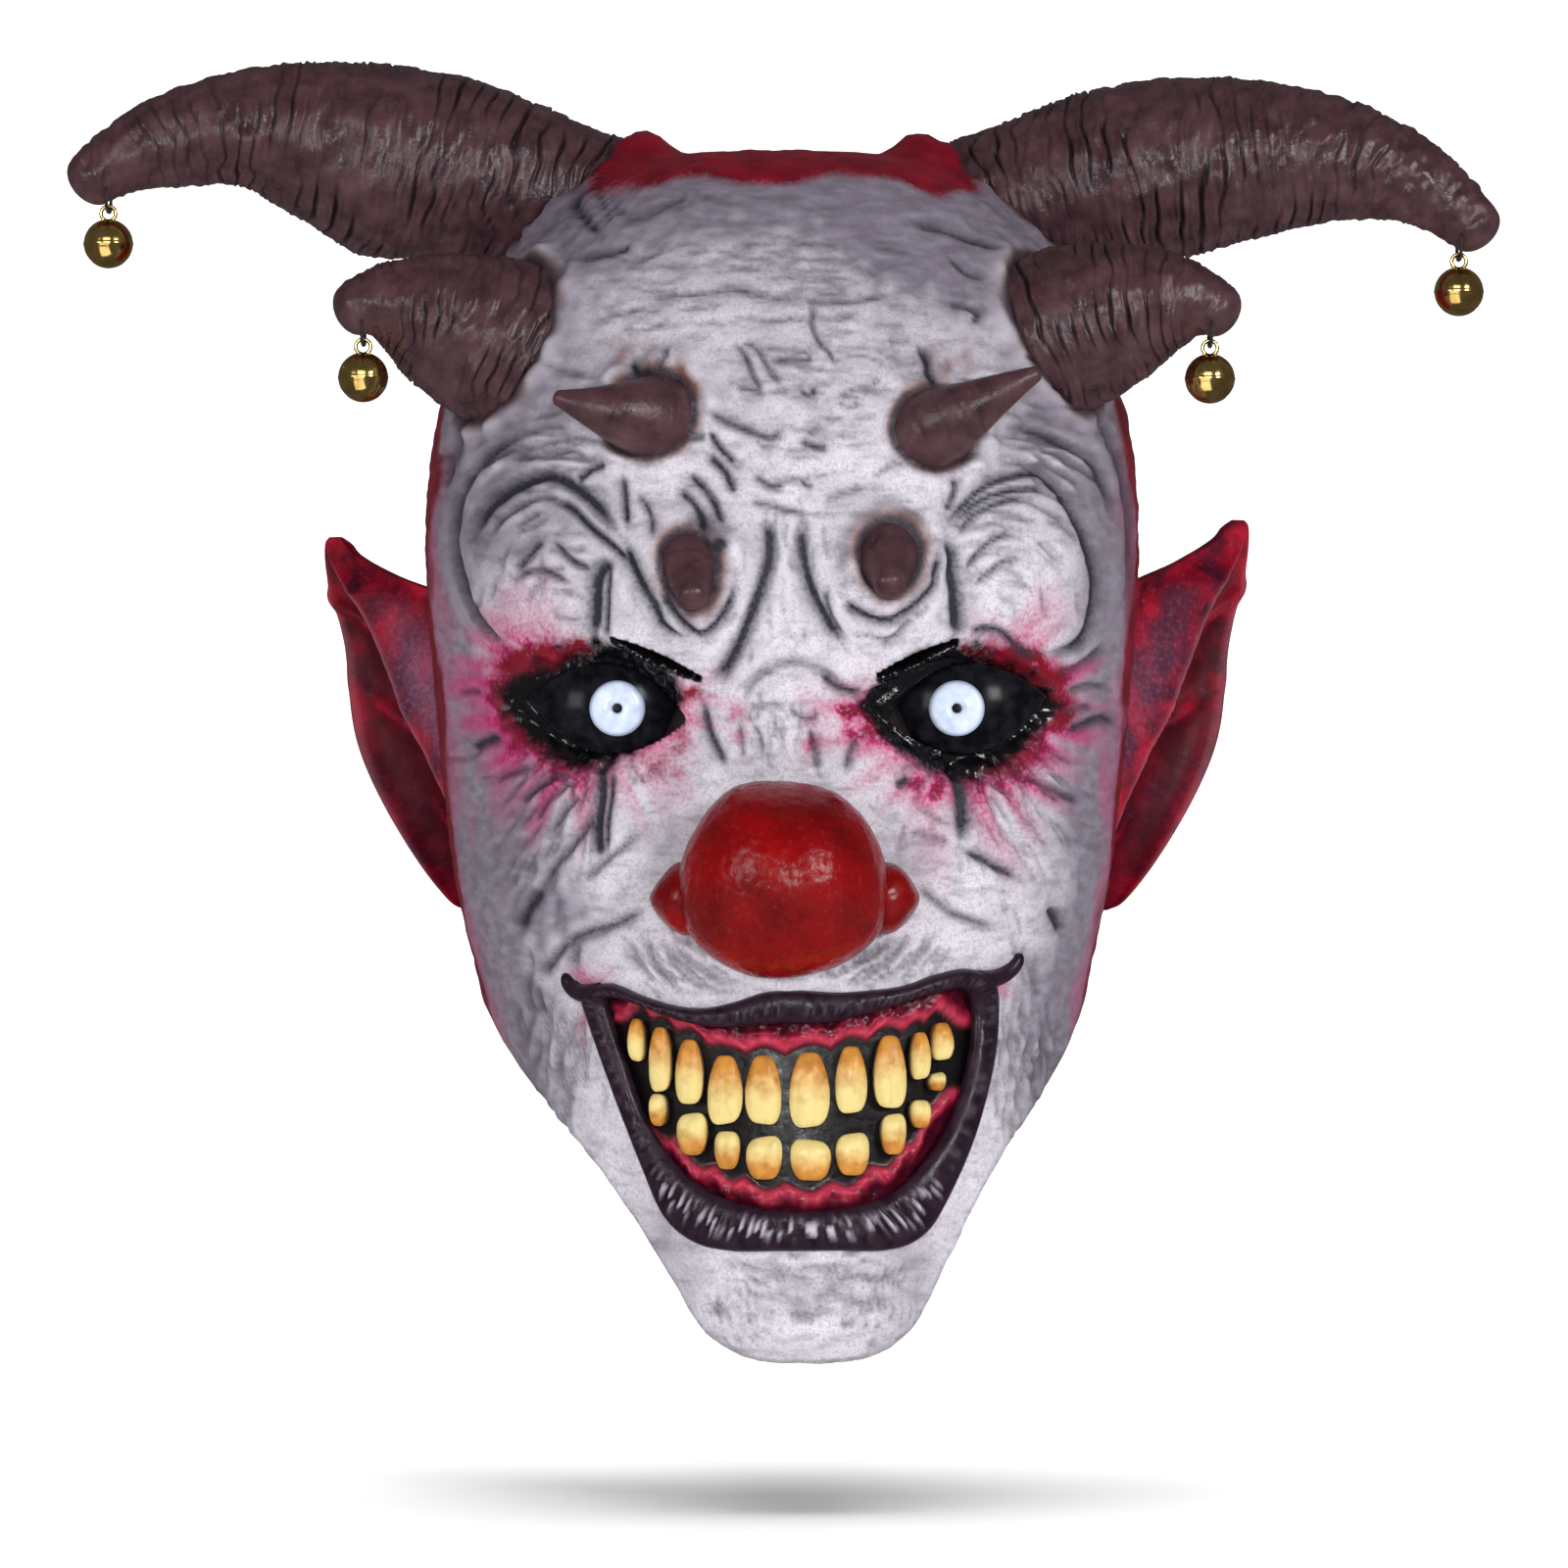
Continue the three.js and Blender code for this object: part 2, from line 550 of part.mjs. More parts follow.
function earBody(side, blank) {
  const rings = EAR_SECTIONS.map(({ z, rootX, rootY, outX, outY, cup }) => {
    const root = vec(rootX, rootY, z);
    const across = vec(outX, outY, z).sub(root);
    const inwards = vec(-across.y, across.x, 0).normalize(); // towards the head and the back of the cup
    const wall = (share, thickness) => {
      const depth = cup * Math.sin(Math.PI * share) + thickness;
      return root.clone().addScaledVector(across, share).addScaledVector(inwards, depth);
    };
    const front = range(EAR_STEPS + 1).map((i) => wall(i / EAR_STEPS, 0));
    const back = range(EAR_STEPS + 1).map((i) => wall(1 - i / EAR_STEPS, EAR_WALL));
    return [...front, ...back].map((p) => vec(side * p.x, p.y, p.z));
  });
  const middle = (ring) => ring.reduce((sum, p) => sum.add(p), vec()).divideScalar(ring.length);
  const tip = vec(side * EAR_TIP.x, EAR_TIP.y, EAR_TIP.z);
  return solidFrom(skin(rings, middle(rings[0]), tip)).subtract(blank);
}

function noseBody(blank) {
  const { x, y, z, halfWidth, halfDepth, halfHeight, wall } = NOSE;
  const wingSizes = [NOSTRIL.radius, NOSTRIL.radius, NOSTRIL.halfHeight];
  const hollowSizes = [halfWidth - wall, halfDepth - wall, halfHeight - wall];
  let nose = ellipsoid([x, y, z], [halfWidth, halfDepth, halfHeight], NOSE_FACETS);
  for (const { side } of SIDES) {
    const wingPlace = [x + side * NOSTRIL.x, NOSTRIL.y, NOSTRIL.z];
    nose = nose.add(ellipsoid(wingPlace, wingSizes, NOSTRIL_FACETS));
  }
  return nose.subtract(ellipsoid([x, y, z], hollowSizes, NOSE_HOLLOW_FACETS)).subtract(blank);
}

function eyeball(side, grow) {
  const radius = EYE.ballRadius + grow;
  return ellipsoid([side * EYE.x, EYE.y, EYE.z], [radius, radius, radius], EYE_FACETS);
}

function eyeBody(side) {
  return eyeball(side, 0).intersect(prism(almondOutline(side, 0), FRONT_Y, EYE_CUT_Y));
}

function irisBody(side) {
  const disc = cylinderAlongY(IRIS.radius, side * IRIS.x, EYE.z, FRONT_Y, EYE.y, IRIS_SIDES);
  const pupil = cylinderAlongY(IRIS.pupilRadius, side * IRIS.x, EYE.z, FRONT_Y, EYE.y, SMALL_HOLE_SIDES);
  const coat = eyeball(side, GAP + IRIS.thickness).subtract(eyeball(side, GAP));
  return coat.intersect(disc.subtract(pupil));
}

function lipsBody(blank) {
  const outer = prism(mouthOutline(LIP_OUTER), FRONT_Y, MOUTH_BACK_Y);
  const inner = prism(mouthOutline(LIP_INNER), FRONT_Y, MOUTH_BACK_Y);
  return headBlank(GAP + LIP_RISE).intersect(outer.subtract(inner)).subtract(blank);
}

function gumsBody() {
  const face = -WALL - 2 * GAP;
  const plate = headBlank(face).subtract(headBlank(face - GUM_WALL));
  return plate.intersect(prism(mouthOutline(GUM_EDGE), FRONT_Y, MOUTH_BACK_Y));
}

// A tooth: a rounded slab, standing on the gums and facing out of the face.
function toothMesh(tooth, name) {
  const squared = (c) => Math.sign(c) * Math.abs(c) ** TOOTH_SQUARENESS;
  const rings = TOOTH_LAYERS.map(({ out, size }) =>
    range(TOOTH_SIDES).map((j) => {
      const turn = (2 * Math.PI * (j + 0.5)) / TOOTH_SIDES;
      const x = (squared(Math.cos(turn)) * size * tooth.width) / 2;
      const z = (squared(Math.sin(turn)) * size * tooth.height) / 2;
      return vec(x, -out * TOOTH_DEPTH, z);
    }),
  );
  const geometry = skin(rings, vec(0, 0, 0), vec(0, -TOOTH_DEPTH, 0));
  const { point, normal } = facePlace(tooth.x, tooth.z);
  const made = piece(name, geometry, "tooth");
  made.position.copy(point).addScaledVector(normal, -WALL - TOOTH_LIFT);
  made.quaternion.setFromUnitVectors(vec(0, -1, 0), normal);
  return made;
}

// Where a horn's underside and its front and back are, above a hanging bell.
function hangingPlace(horn, geometry) {
  const { x, y } = centreline(horn).getPoint(horn.bellSeat);
  const target = new THREE.Mesh(geometry, new THREE.MeshBasicMaterial({ side: THREE.DoubleSide }));
  const firstHit = (from, direction) =>
    new THREE.Raycaster(from, direction).intersectObject(target)[0].point;
  const underside = firstHit(vec(x, y, CHIN_Z), vec(0, 0, 1)).z;
  const hole = underside + TIE.holeLift;
  const front = firstHit(vec(x, FRONT_Y, hole), vec(0, 1, 0)).y;
  const back = firstHit(vec(x, -FRONT_Y, hole), vec(0, -1, 0)).y;
  const strandZ = underside - TIE.drop;
  return { x, y: (front + back) / 2, hole, strandZ, halfThickness: (back - front) / 2 };
}

// A thread loop: through the hole, down both faces of the horn and under it.
function tieBody({ x, y, hole, halfThickness, strandZ }) {
  const { corner } = TIE;
  const reach = halfThickness + GAP + 2 * TIE.radius - corner;
  const corners = [
    { along: reach, z: hole - corner },
    { along: -reach, z: hole - corner },
    { along: -reach, z: strandZ + corner },
    { along: reach, z: strandZ + corner },
  ];
  const loop = corners.flatMap(({ along, z }, quarter) =>
    [0, 0.5, 1].map((share) => {
      const turn = ((quarter + share) * Math.PI) / 2;
      return vec(x, y + along + corner * Math.cos(turn), z + corner * Math.sin(turn));
    }),
  );
  return loopTube(loop, TIE.radius, TIE_SIDES);
}

// A jingle bell about its centre: a hollow ball, a slit that ends in two keyholes, and a wire loop on top.
function bellBody() {
  const { radius, wall, slitWidth, keyholeRadius, keyholeAngle } = BELL;
  const ball = (r, facets) => ellipsoid([0, 0, 0], [r, r, r], facets);
  const wire = new THREE.TorusGeometry(
    BELL_LOOP.radius, BELL_LOOP.wireRadius, LOOP_FACETS.sides, LOOP_FACETS.rings,
  );
  const loopAt = radius + BELL_LOOP.radius - BELL_LOOP.wireRadius;
  const loop = solidFrom(wire.rotateX(Math.PI / 2).translate(0, 0, loopAt));
  const slitReach = radius * Math.sin(keyholeAngle);
  const slit = new THREE.BoxGeometry(2 * slitReach, slitWidth, radius).translate(0, 0, -radius);
  let bell = ball(radius, BELL_FACETS).add(loop);
  bell = bell.subtract(ball(radius - wall, BELL_HOLLOW_FACETS)).subtract(solidFrom(slit));
  for (const { side } of SIDES) {
    const drill = new THREE.CylinderGeometry(keyholeRadius, keyholeRadius, radius, SMALL_HOLE_SIDES);
    drill.translate(0, -radius, 0).rotateX(Math.PI / 2).rotateY(-side * keyholeAngle);
    bell = bell.subtract(solidFrom(drill));
  }
  return bell;
}

// Assembly

function piece(name, geometry, colour) {
  const made = new THREE.Mesh(geometry, new THREE.MeshStandardMaterial(COLOURS[colour]));
  made.name = name;
  return made;
}

const mask = new THREE.Group();
const seat = headBlank(GAP);
mask.add(piece("face_shell", geometryFrom(faceShell()), "latex"));
mask.add(piece("nose", geometryFrom(noseBody(seat)), "nose"));
mask.add(piece("lips", geometryFrom(lipsBody(seat)), "lip"));
mask.add(piece("gums", geometryFrom(gumsBody()), "gum"));
UPPER_TEETH.forEach((tooth, i) => mask.add(toothMesh(tooth, `tooth_upper_${i + 1}`)));
LOWER_TEETH.forEach((tooth, i) => mask.add(toothMesh(tooth, `tooth_lower_${i + 1}`)));

for (const { word, side } of SIDES) {
  mask.add(piece(`ear_${word}`, geometryFrom(earBody(side, seat)), "ear"));
  mask.add(piece(`eye_${word}`, geometryFrom(eyeBody(side)), "eye"));
  mask.add(piece(`iris_${word}`, geometryFrom(irisBody(side)), "iris"));
}

for (const row of HORNS) {
  const horn = { ...HORN_KINDS[row.kind], ...row };
  const place = `${row.kind}_${row.word}`;
  let body = hornBody(horn, seat);
  if (horn.bellSeat) {
    const hang = hangingPlace(horn, geometryFrom(body));
    body = body.subtract(
      cylinderAlongY(TIE.holeRadius, hang.x, hang.hole, FRONT_Y, -FRONT_Y, SMALL_HOLE_SIDES),
    );
    const bell = piece(`bell_${place}`, geometryFrom(bellBody()), "brass");
    const loopTop = BELL.radius + 2 * BELL_LOOP.radius - 2 * BELL_LOOP.wireRadius;
    bell.position.set(hang.x, hang.y, hang.strandZ - loopTop + TIE.radius + GAP);
    mask.add(piece(`tie_${place}`, tieBody(hang), "thread"));
    mask.add(bell);
  }
  mask.add(piece(`horn_${place}`, geometryFrom(body), "horn"));
}

export default mask;
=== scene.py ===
# %% [markdown]
# # A horned clown mask
# The real mask is one casting of thin latex, painted by hand: a hood with a wrinkled face, eight horns, two
# ears, a ball nose and a mouth full of teeth, with four jingle bells tied on. The solids of the mask are
# loaded first. They fix where every piece is, and each step below lays a finished skin over one of them.

# %% Load the solids
from collections import namedtuple

import bpy
import numpy as np
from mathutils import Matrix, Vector


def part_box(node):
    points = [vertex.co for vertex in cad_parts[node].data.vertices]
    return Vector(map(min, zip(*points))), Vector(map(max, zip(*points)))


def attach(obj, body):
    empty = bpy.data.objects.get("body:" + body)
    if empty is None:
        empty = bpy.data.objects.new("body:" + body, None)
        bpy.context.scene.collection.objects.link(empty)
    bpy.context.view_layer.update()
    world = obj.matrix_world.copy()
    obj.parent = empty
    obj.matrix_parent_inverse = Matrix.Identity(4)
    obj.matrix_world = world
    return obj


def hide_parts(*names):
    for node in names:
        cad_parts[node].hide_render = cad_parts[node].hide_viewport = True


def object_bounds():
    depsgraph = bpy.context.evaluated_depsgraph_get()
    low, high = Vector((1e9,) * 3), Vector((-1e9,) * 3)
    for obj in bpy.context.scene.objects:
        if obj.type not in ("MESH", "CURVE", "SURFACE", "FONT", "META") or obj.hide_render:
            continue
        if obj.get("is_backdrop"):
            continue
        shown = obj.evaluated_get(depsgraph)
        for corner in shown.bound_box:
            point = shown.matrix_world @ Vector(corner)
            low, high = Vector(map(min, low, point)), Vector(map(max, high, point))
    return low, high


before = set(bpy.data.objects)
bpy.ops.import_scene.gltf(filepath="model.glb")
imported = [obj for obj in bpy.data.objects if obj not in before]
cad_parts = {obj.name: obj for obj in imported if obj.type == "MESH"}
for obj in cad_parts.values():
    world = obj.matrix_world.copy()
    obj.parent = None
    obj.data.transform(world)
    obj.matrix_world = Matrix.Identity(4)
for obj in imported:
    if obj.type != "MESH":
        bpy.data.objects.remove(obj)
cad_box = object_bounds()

MM = 0.001

# %% [markdown]
# ## Camera
# The mask is looked at straight on from a little over two metres, so a long lens keeps the ears and the
# nose in proportion. Places on the face are written below as they are seen from there, in millimetres
# across and up on the plane of the horns.

# %% Camera
EYE_POINT = np.array([-0.75, -2250.0, -162.5])
SEEN_PLANE_Y = -50.0
LENS_MM = 198.0

camera = bpy.data.objects.new("camera", bpy.data.cameras.new("camera"))
camera.data.lens = LENS_MM
camera.location = Vector(EYE_POINT * MM)
camera.rotation_euler = (np.pi / 2, 0, 0)
bpy.context.collection.objects.link(camera)
bpy.context.scene.camera = camera


def front_view(points):
    """Where points are seen from the eye point: across and up on the plane of the horns."""
    scale = (SEEN_PLANE_Y - EYE_POINT[1]) / (points[..., 1] - EYE_POINT[1])
    return EYE_POINT[[0, 2]] + (points[..., [0, 2]] - EYE_POINT[[0, 2]]) * scale[..., None]


print("camera stands", round(camera.location.length, 2), "m from the crown")

# %% [markdown]
# ## Meshes from grids of points
# Most pieces of a mask are bent sheets and tubes. A grid of points that a formula bends is the plainest way
# to make them, because every wrinkle is then one more term in the formula.

# %% Mesh helpers
def grid_faces(rows, columns, wrap=True):
    """Four-cornered faces of a grid stored row by row. wrap joins the last column to the first."""
    across = columns if wrap else columns - 1
    i, j = np.meshgrid(np.arange(rows - 1), np.arange(across), indexing="ij")
    k = (j + 1) % columns
    corners = [i * columns + j, (i + 1) * columns + j, (i + 1) * columns + k, i * columns + k]
    return np.stack(corners, axis=-1).reshape(-1, 4)


def make_piece(name, points, *face_groups):
    """A smooth-shaded object from points in millimetres and groups of faces."""
    mesh = bpy.data.meshes.new(name)
    faces = [[int(corner) for corner in face] for group in face_groups for face in group]
    mesh.from_pydata((np.asarray(points) * MM).tolist(), [], faces)
    mesh.polygons.foreach_set("use_smooth", np.ones(len(faces), bool))
    piece = bpy.data.objects.new(name, mesh)
    bpy.context.collection.objects.link(piece)
    return piece


print("a closed grid of 3 by 4 points has", len(grid_faces(3, 4)), "faces")

# %% [markdown]
# ## Finishes from nodes
# Latex paint is built in layers: a base tone, mottling, a dark wash that stays in the creases, and
# dry-brushed colour on top. A finish here is built the same way, and some layers also carry painted shade
# and painted highlights. Each layer is one Mix node, and its mask is a painted attribute broken up by noise.

# %% Finish helpers
NOISE_RANGE = 0.3, 0.7


def add(tree, kind, inputs, **settings):
    """Adds a shader node. Each input is a plain value or the socket of another node."""
    node = tree.nodes.new("ShaderNode" + kind)
    for key, value in settings.items():
        setattr(node, key, value)
    for key, value in inputs.items():
        if isinstance(value, bpy.types.NodeSocket):
            tree.links.new(value, node.inputs[key])
        else:
            node.inputs[key].default_value = value
    return node


def shader_input(finish, key):
    """An input of a material's shader, with underscores for the spaces in its name."""
    return finish.node_tree.nodes["Principled BSDF"].inputs[key.replace("_", " ")]


def start_finish(name, **constants):
    """A new material. Values that are the same all over go straight on its shader."""
    finish = bpy.data.materials.new(name)
    finish.use_nodes = True
    for key, value in constants.items():
        shader_input(finish, key).default_value = value
    return finish, finish.node_tree


def over(tree, mask, below, above):
    """Lays one colour over another through a mask."""
    low, high = ((*colour, 1) if isinstance(colour, tuple) else colour for colour in (below, above))
    return add(tree, "Mix", {0: mask, 6: low, 7: high}, data_type="RGBA").outputs[2]


def grain(tree, scale, detail=4.0, stretch=(1, 1, 1)):
    """Noise in the piece's own space. scale is features per metre."""
    place = add(tree, "TexCoord", {}).outputs["Object"]
    place = add(tree, "Mapping", {"Vector": place, "Scale": stretch}).outputs[0]
    return add(tree, "TexNoise", {"Vector": place, "Scale": scale, "Detail": detail}).outputs["Fac"]


def ramp(tree, value, low, high, at_low=0.0, at_high=1.0):
    """Maps a value from one range to another, and holds it at the ends."""
    inputs = {"Value": value, "From Min": low, "From Max": high, "To Min": at_low, "To Max": at_high}
    return add(tree, "MapRange", inputs).outputs[0]


def varied(tree, noise, at_low=0.0, at_high=1.0):
    """Noise over its usual range, mapped to another."""
    return ramp(tree, noise, *NOISE_RANGE, at_low, at_high)


def join(finish, **sockets):
    """Links results to the shader's inputs of the same names."""
    for key, socket in sockets.items():
        finish.node_tree.links.new(socket, shader_input(finish, key))


print("finish helpers ready")

# %% [markdown]
# ## Floor and light
# A product picture of a mask is lit evenly from the front, with a white sweep behind it. The sweep is one
# bent sheet, so no line shows where the floor ends. A soft key light from the side shows the wrinkles and a
# lamp by the camera fills them. Floor and wall have lamps of their own that leave the mask alone. A white
# dome stands round it all for the other views, and only the camera sees it.

# %% Floor
FLOOR_Z = -345.0
SWEEP_WIDTH = 4400.0
SWEEP_FRONT = -900.0
SWEEP_BACK = 4300.0
SWEEP_BEND = 900.0
SWEEP_TOP = 4200.0
SWEEP_STEPS = 24

bend = np.linspace(0, np.pi / 2, SWEEP_STEPS)
bend_y = SWEEP_BACK - SWEEP_BEND + SWEEP_BEND * np.sin(bend)
bend_z = FLOOR_Z + SWEEP_BEND - SWEEP_BEND * np.cos(bend)
profile_y = np.concatenate([[SWEEP_FRONT], bend_y, [SWEEP_BACK]])
profile_z = np.concatenate([[FLOOR_Z], bend_z, [SWEEP_TOP]])
sweep_points = [
    (side * SWEEP_WIDTH / 2, y, z) for y, z in zip(profile_y, profile_z) for side in (1, -1)
]
sweep = make_piece("sweep", sweep_points, grid_faces(len(profile_y), 2, wrap=False))
sweep_finish, tree = start_finish("pale_floor", Roughness=0.9)
paper = varied(tree, grain(tree, 6.0))
join(sweep_finish, Base_Color=over(tree, paper, (0.80, 0.80, 0.80), (0.84, 0.84, 0.84)))
sweep.data.materials.append(sweep_finish)
sweep.visible_glossy = False
sweep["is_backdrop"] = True
lit_alone = {group: bpy.data.collections.new(f"lit_{group}") for group in ("paper", "bells")}
lit_alone["paper"].objects.link(sweep)
print("floor lies at", FLOOR_Z, "mm")

# %% Dome
DOME_RADIUS = 12.0
DOME_GLOW = 1.02

bpy.ops.mesh.primitive_uv_sphere_add(radius=DOME_RADIUS)
dome = bpy.context.object
dome.name = "white_dome"
dome_finish, _ = start_finish("white_dome", Base_Color=(0, 0, 0, 1), Specular_IOR_Level=0.0)
shader_input(dome_finish, "Emission_Color").default_value = (1, 1, 1, 1)
shader_input(dome_finish, "Emission_Strength").default_value = DOME_GLOW
dome.data.materials.append(dome_finish)
for ray in ("diffuse", "glossy", "transmission", "volume_scatter", "shadow"):
    setattr(dome, f"visible_{ray}", False)
dome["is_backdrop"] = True
print("dome:", len(dome.data.polygons), "faces")

# %% Lamps
WORLD_GLOW = 0.1
Lamp = namedtuple("Lamp", "name place aim size watts shine lights")
LAMPS = [Lamp(*row) for row in (
    ("key", (1250, -1650, 500), (0, 0, -150), 500, 20, True, "all"),
    ("front", (0, -2350, 60), (0, 0, -150), 320, 13.5, True, "all"),
    ("fill", (-1300, -1500, 200), (0, 0, -150), 600, 9, True, "all"),
    ("top", (0, -300, 1500), (0, 0, -150), 800, 4, False, "all"),
    ("back", (700, 1900, 900), (0, 0, -150), 900, 8, False, "all"),
    ("card", (-300, -1900, 300), (0, 0, -100), 1100, 14, True, "bells"),
    ("low_card", (-500, -1300, -1100), (0, 0, -100), 1400, 10, True, "bells"),
    ("floor", (0, 700, 2400), (0, 900, FLOOR_Z), 3000, 130, True, "paper"),
    ("wall", (0, 2200, 2400), (0, 4300, 500), 2000, 90, True, "paper"),
)]
for lamp in LAMPS:
    light = bpy.data.lights.new(lamp.name, "AREA")
    light.size = lamp.size * MM
    light.energy = lamp.watts
    holder = bpy.data.objects.new(lamp.name, light)
    holder.location = Vector(lamp.place) * MM
    aim = Vector(lamp.aim) * MM
    holder.rotation_euler = (aim - holder.location).to_track_quat("-Z", "Y").to_euler()
    holder.light_linking.receiver_collection = lit_alone.get(lamp.lights)
    holder.visible_glossy = lamp.shine
    bpy.context.collection.objects.link(holder)

world = bpy.data.worlds.new("studio")
world.use_nodes = True
world.node_tree.nodes["Background"].inputs["Color"].default_value = (1, 1, 1, 1)
world.node_tree.nodes["Background"].inputs["Strength"].default_value = WORLD_GLOW
bpy.context.scene.world = world
bpy.context.scene.view_settings.view_transform = "Standard"
print("lamps:", [lamp.name for lamp in LAMPS])

# %% [markdown]
# ## Head form
# Before any wrinkle there is a plain head: level sections from the crown to the chin, with low swellings
# for brows, cheeks and chin. The same tables shape the solid hood, so the skin follows it. Left is the
# mask's own left, which is +X.

# %% Head form
Section = namedtuple("Section", "z half_width front back")
SECTIONS = [Section(*row) for row in (
    (2.2, 0, 0, 0),
    (0.2, 31, 28, 32),
    (-7, 51, 48, 58),
    (-20, 66, 63, 78),
    (-40, 79, 77, 94),
    (-64, 89, 87, 103),
    (-88, 92.5, 92, 107),
    (-112, 92.5, 94, 107),
    (-132, 91, 93, 105),
    (-150, 89.5, 92, 101),
    (-168, 87.5, 93, 96),
    (-188, 85, 96, 90),
    (-208, 80.5, 99, 84),
    (-230, 75.5, 101, 78),
    (-252, 69.5, 102, 70),
    (-275, 61, 102, 62),
    (-297, 52, 100, 53),
    (-307.5, 43, 93, 44),
)]
Relief = namedtuple("Relief", "form x z spread_x spread_z height")
RELIEF = [Relief(*row) for row in (
    ("forehead", 0, -52, 32, 24, 3),
    ("temple", 78, -66, 16, 26, -3),
    ("brow pouch", 25, -114, 15, 17, 10),
    ("nub pit", 24.5, -107, 7, 8, -7),
    ("brow arch", 59, -104, 20, 19, 5),
    ("eye socket", 45, -143, 22, 12, -8),
    ("nose root", 0, -142, 12, 17, 5),
    ("cheek", 55, -186, 20, 16, 6),
    ("upper lip", 0, -207, 34, 9, 4),
    ("mouth corner", 56, -219, 7, 12, -3),
    ("lip crease", 0, -288, 26, 4, -2.5),
    ("chin", 0, -300, 20, 10, 5),
)]
print("sections:", len(SECTIONS), "swellings:", [swelling.form for swelling in RELIEF])

# %% Sections of the head
CROWN_LEAN, CHIN_LEAN, LEAN_FROM_Z = -1.2, 5.2, -200
CHIN_Z = SECTIONS[-1].z
LAST_ROW = len(SECTIONS) - 1
FINE_STEPS = 3000


def smooth(value, low, high):
    """Rises gently from 0 at low to 1 at high."""
    t = np.clip((value - low) / (high - low), 0, 1)
    return t * t * (3 - 2 * t)


def along_rows(column, row):
    """A column of the section table at a fractional row, on a curve whose widths mirror at the crown."""
    values = np.array([getattr(section, column) for section in SECTIONS], float)
    mirrored = values[1] if column == "z" else -values[1]
    values = np.concatenate([[mirrored], values, values[-1:]])
    i = np.clip(np.floor(row).astype(int), 0, LAST_ROW - 1)
    t = row - i
    before, a, b, after = values[i], values[i + 1], values[i + 2], values[i + 3]
    slope_a, slope_b = (b - before) / 2, (after - a) / 2
    bow = 2 * (a - b) + slope_a + slope_b
    return a + t * (slope_a + t * (3 * (b - a) - 2 * slope_a - slope_b + t * bow))


FINE_ROWS = np.linspace(0, LAST_ROW, FINE_STEPS)
FINE_Z = along_rows("z", FINE_ROWS)


def row_at(z):
    """The fractional row of the section table at a height."""
    return np.interp(-np.asarray(z, float), -FINE_Z, FINE_ROWS)


def lean(z):
    """How far the sculpt leans to the left at a height."""
    return CROWN_LEAN + (CHIN_LEAN - CROWN_LEAN) * smooth(LEAN_FROM_Z - z, 0, LEAN_FROM_Z - CHIN_Z)


print("widest section:", round(2 * along_rows("half_width", FINE_ROWS).max(), 1), "mm")

# %% Points of the head
ROUNDNESS = 0.86
FRONT_FADE = 0.35
CROWN_LUMP = Relief("crown lump", 37, 0, 7, 12, 11)
CROWN_LUMP_Y = -4
LUMP_BLUNT, LUMP_GIVE = 6, 0.35
WIDEST_SHARE = 0.999
VIEW_ROUNDS = 9


def hump(distance, spread):
    """A round hump of height 1 at distance 0."""
    return np.exp(-((distance / spread) ** 2))


def rounded(c, power=ROUNDNESS):
    """Squares off a circle: c is a sine or cosine, and a power under 1 fills the corners."""
    return np.sign(c) * np.abs(c) ** power


def turn_at(share):
    """The turn at which the plain head reaches a share of its half width."""
    return np.arcsin(np.abs(share) ** (1 / ROUNDNESS)) * np.sign(share)


def head_point(turn, row):
    """A point of the plain head. Turn 0 is the face and a quarter turn is the left side."""
    side, ahead = np.sin(turn), np.cos(turn)
    z = along_rows("z", row)
    x = along_rows("half_width", row) * rounded(side)
    depth = np.where(ahead > 0, along_rows("front", row), along_rows("back", row))
    y = -depth * rounded(ahead)
    push = sum(
        form.height * hump(np.abs(x) - form.x, form.spread_x) * hump(z - form.z, form.spread_z)
        for form in RELIEF
    )
    push = push * smooth(ahead, 0, FRONT_FADE)
    lump = hump(np.abs(x) - CROWN_LUMP.x, CROWN_LUMP.spread_x)
    lump = CROWN_LUMP.height * lump * hump(y - CROWN_LUMP_Y, CROWN_LUMP.spread_z)
    lump = np.minimum(lump, LUMP_BLUNT + LUMP_GIVE * (lump - LUMP_BLUNT))
    return np.stack([x + push * side + lean(z), y - push * ahead, z + lump], axis=-1)


def head_normal(turn, row, turn_step=0.015, row_step=0.05):
    """The direction straight out of the plain head, from points on either side."""
    around = head_point(turn + turn_step, row) - head_point(turn - turn_step, row)
    down = head_point(turn, row + row_step) - head_point(turn, row - row_step)
    normal = np.cross(down, around)
    return normal / np.maximum(np.linalg.norm(normal, axis=-1, keepdims=True), 1e-9)


def face_turn(x, z):
    """The turn and row of the plain face at a place in the x-z plane."""
    row = row_at(z)
    share = (x - lean(z)) / along_rows("half_width", row)
    return turn_at(np.clip(share, -WIDEST_SHARE, WIDEST_SHARE)), row


def on_face(seen):
    """The point of the plain face that is seen at a place in the front view, and its normal."""
    seen = np.asarray(seen, float)
    guess = seen.copy()
    for _ in range(VIEW_ROUNDS):
        turn, row = face_turn(guess[..., 0], guess[..., 1])
        point = head_point(turn, row)
        guess = guess + seen - front_view(point)
    return point, head_normal(turn, row)


print("nose root is", on_face(np.array([[0.0, -142.0]]))[0].round(1), "mm")

# %% [markdown]
# ## Grid of the hood
# A wrinkle is about a millimetre wide, so the face needs points closer than that, while the plain back can
# do with far fewer. Columns stand evenly across the face and spread out behind the ears, and rows crowd
# together over the brows and eyes.

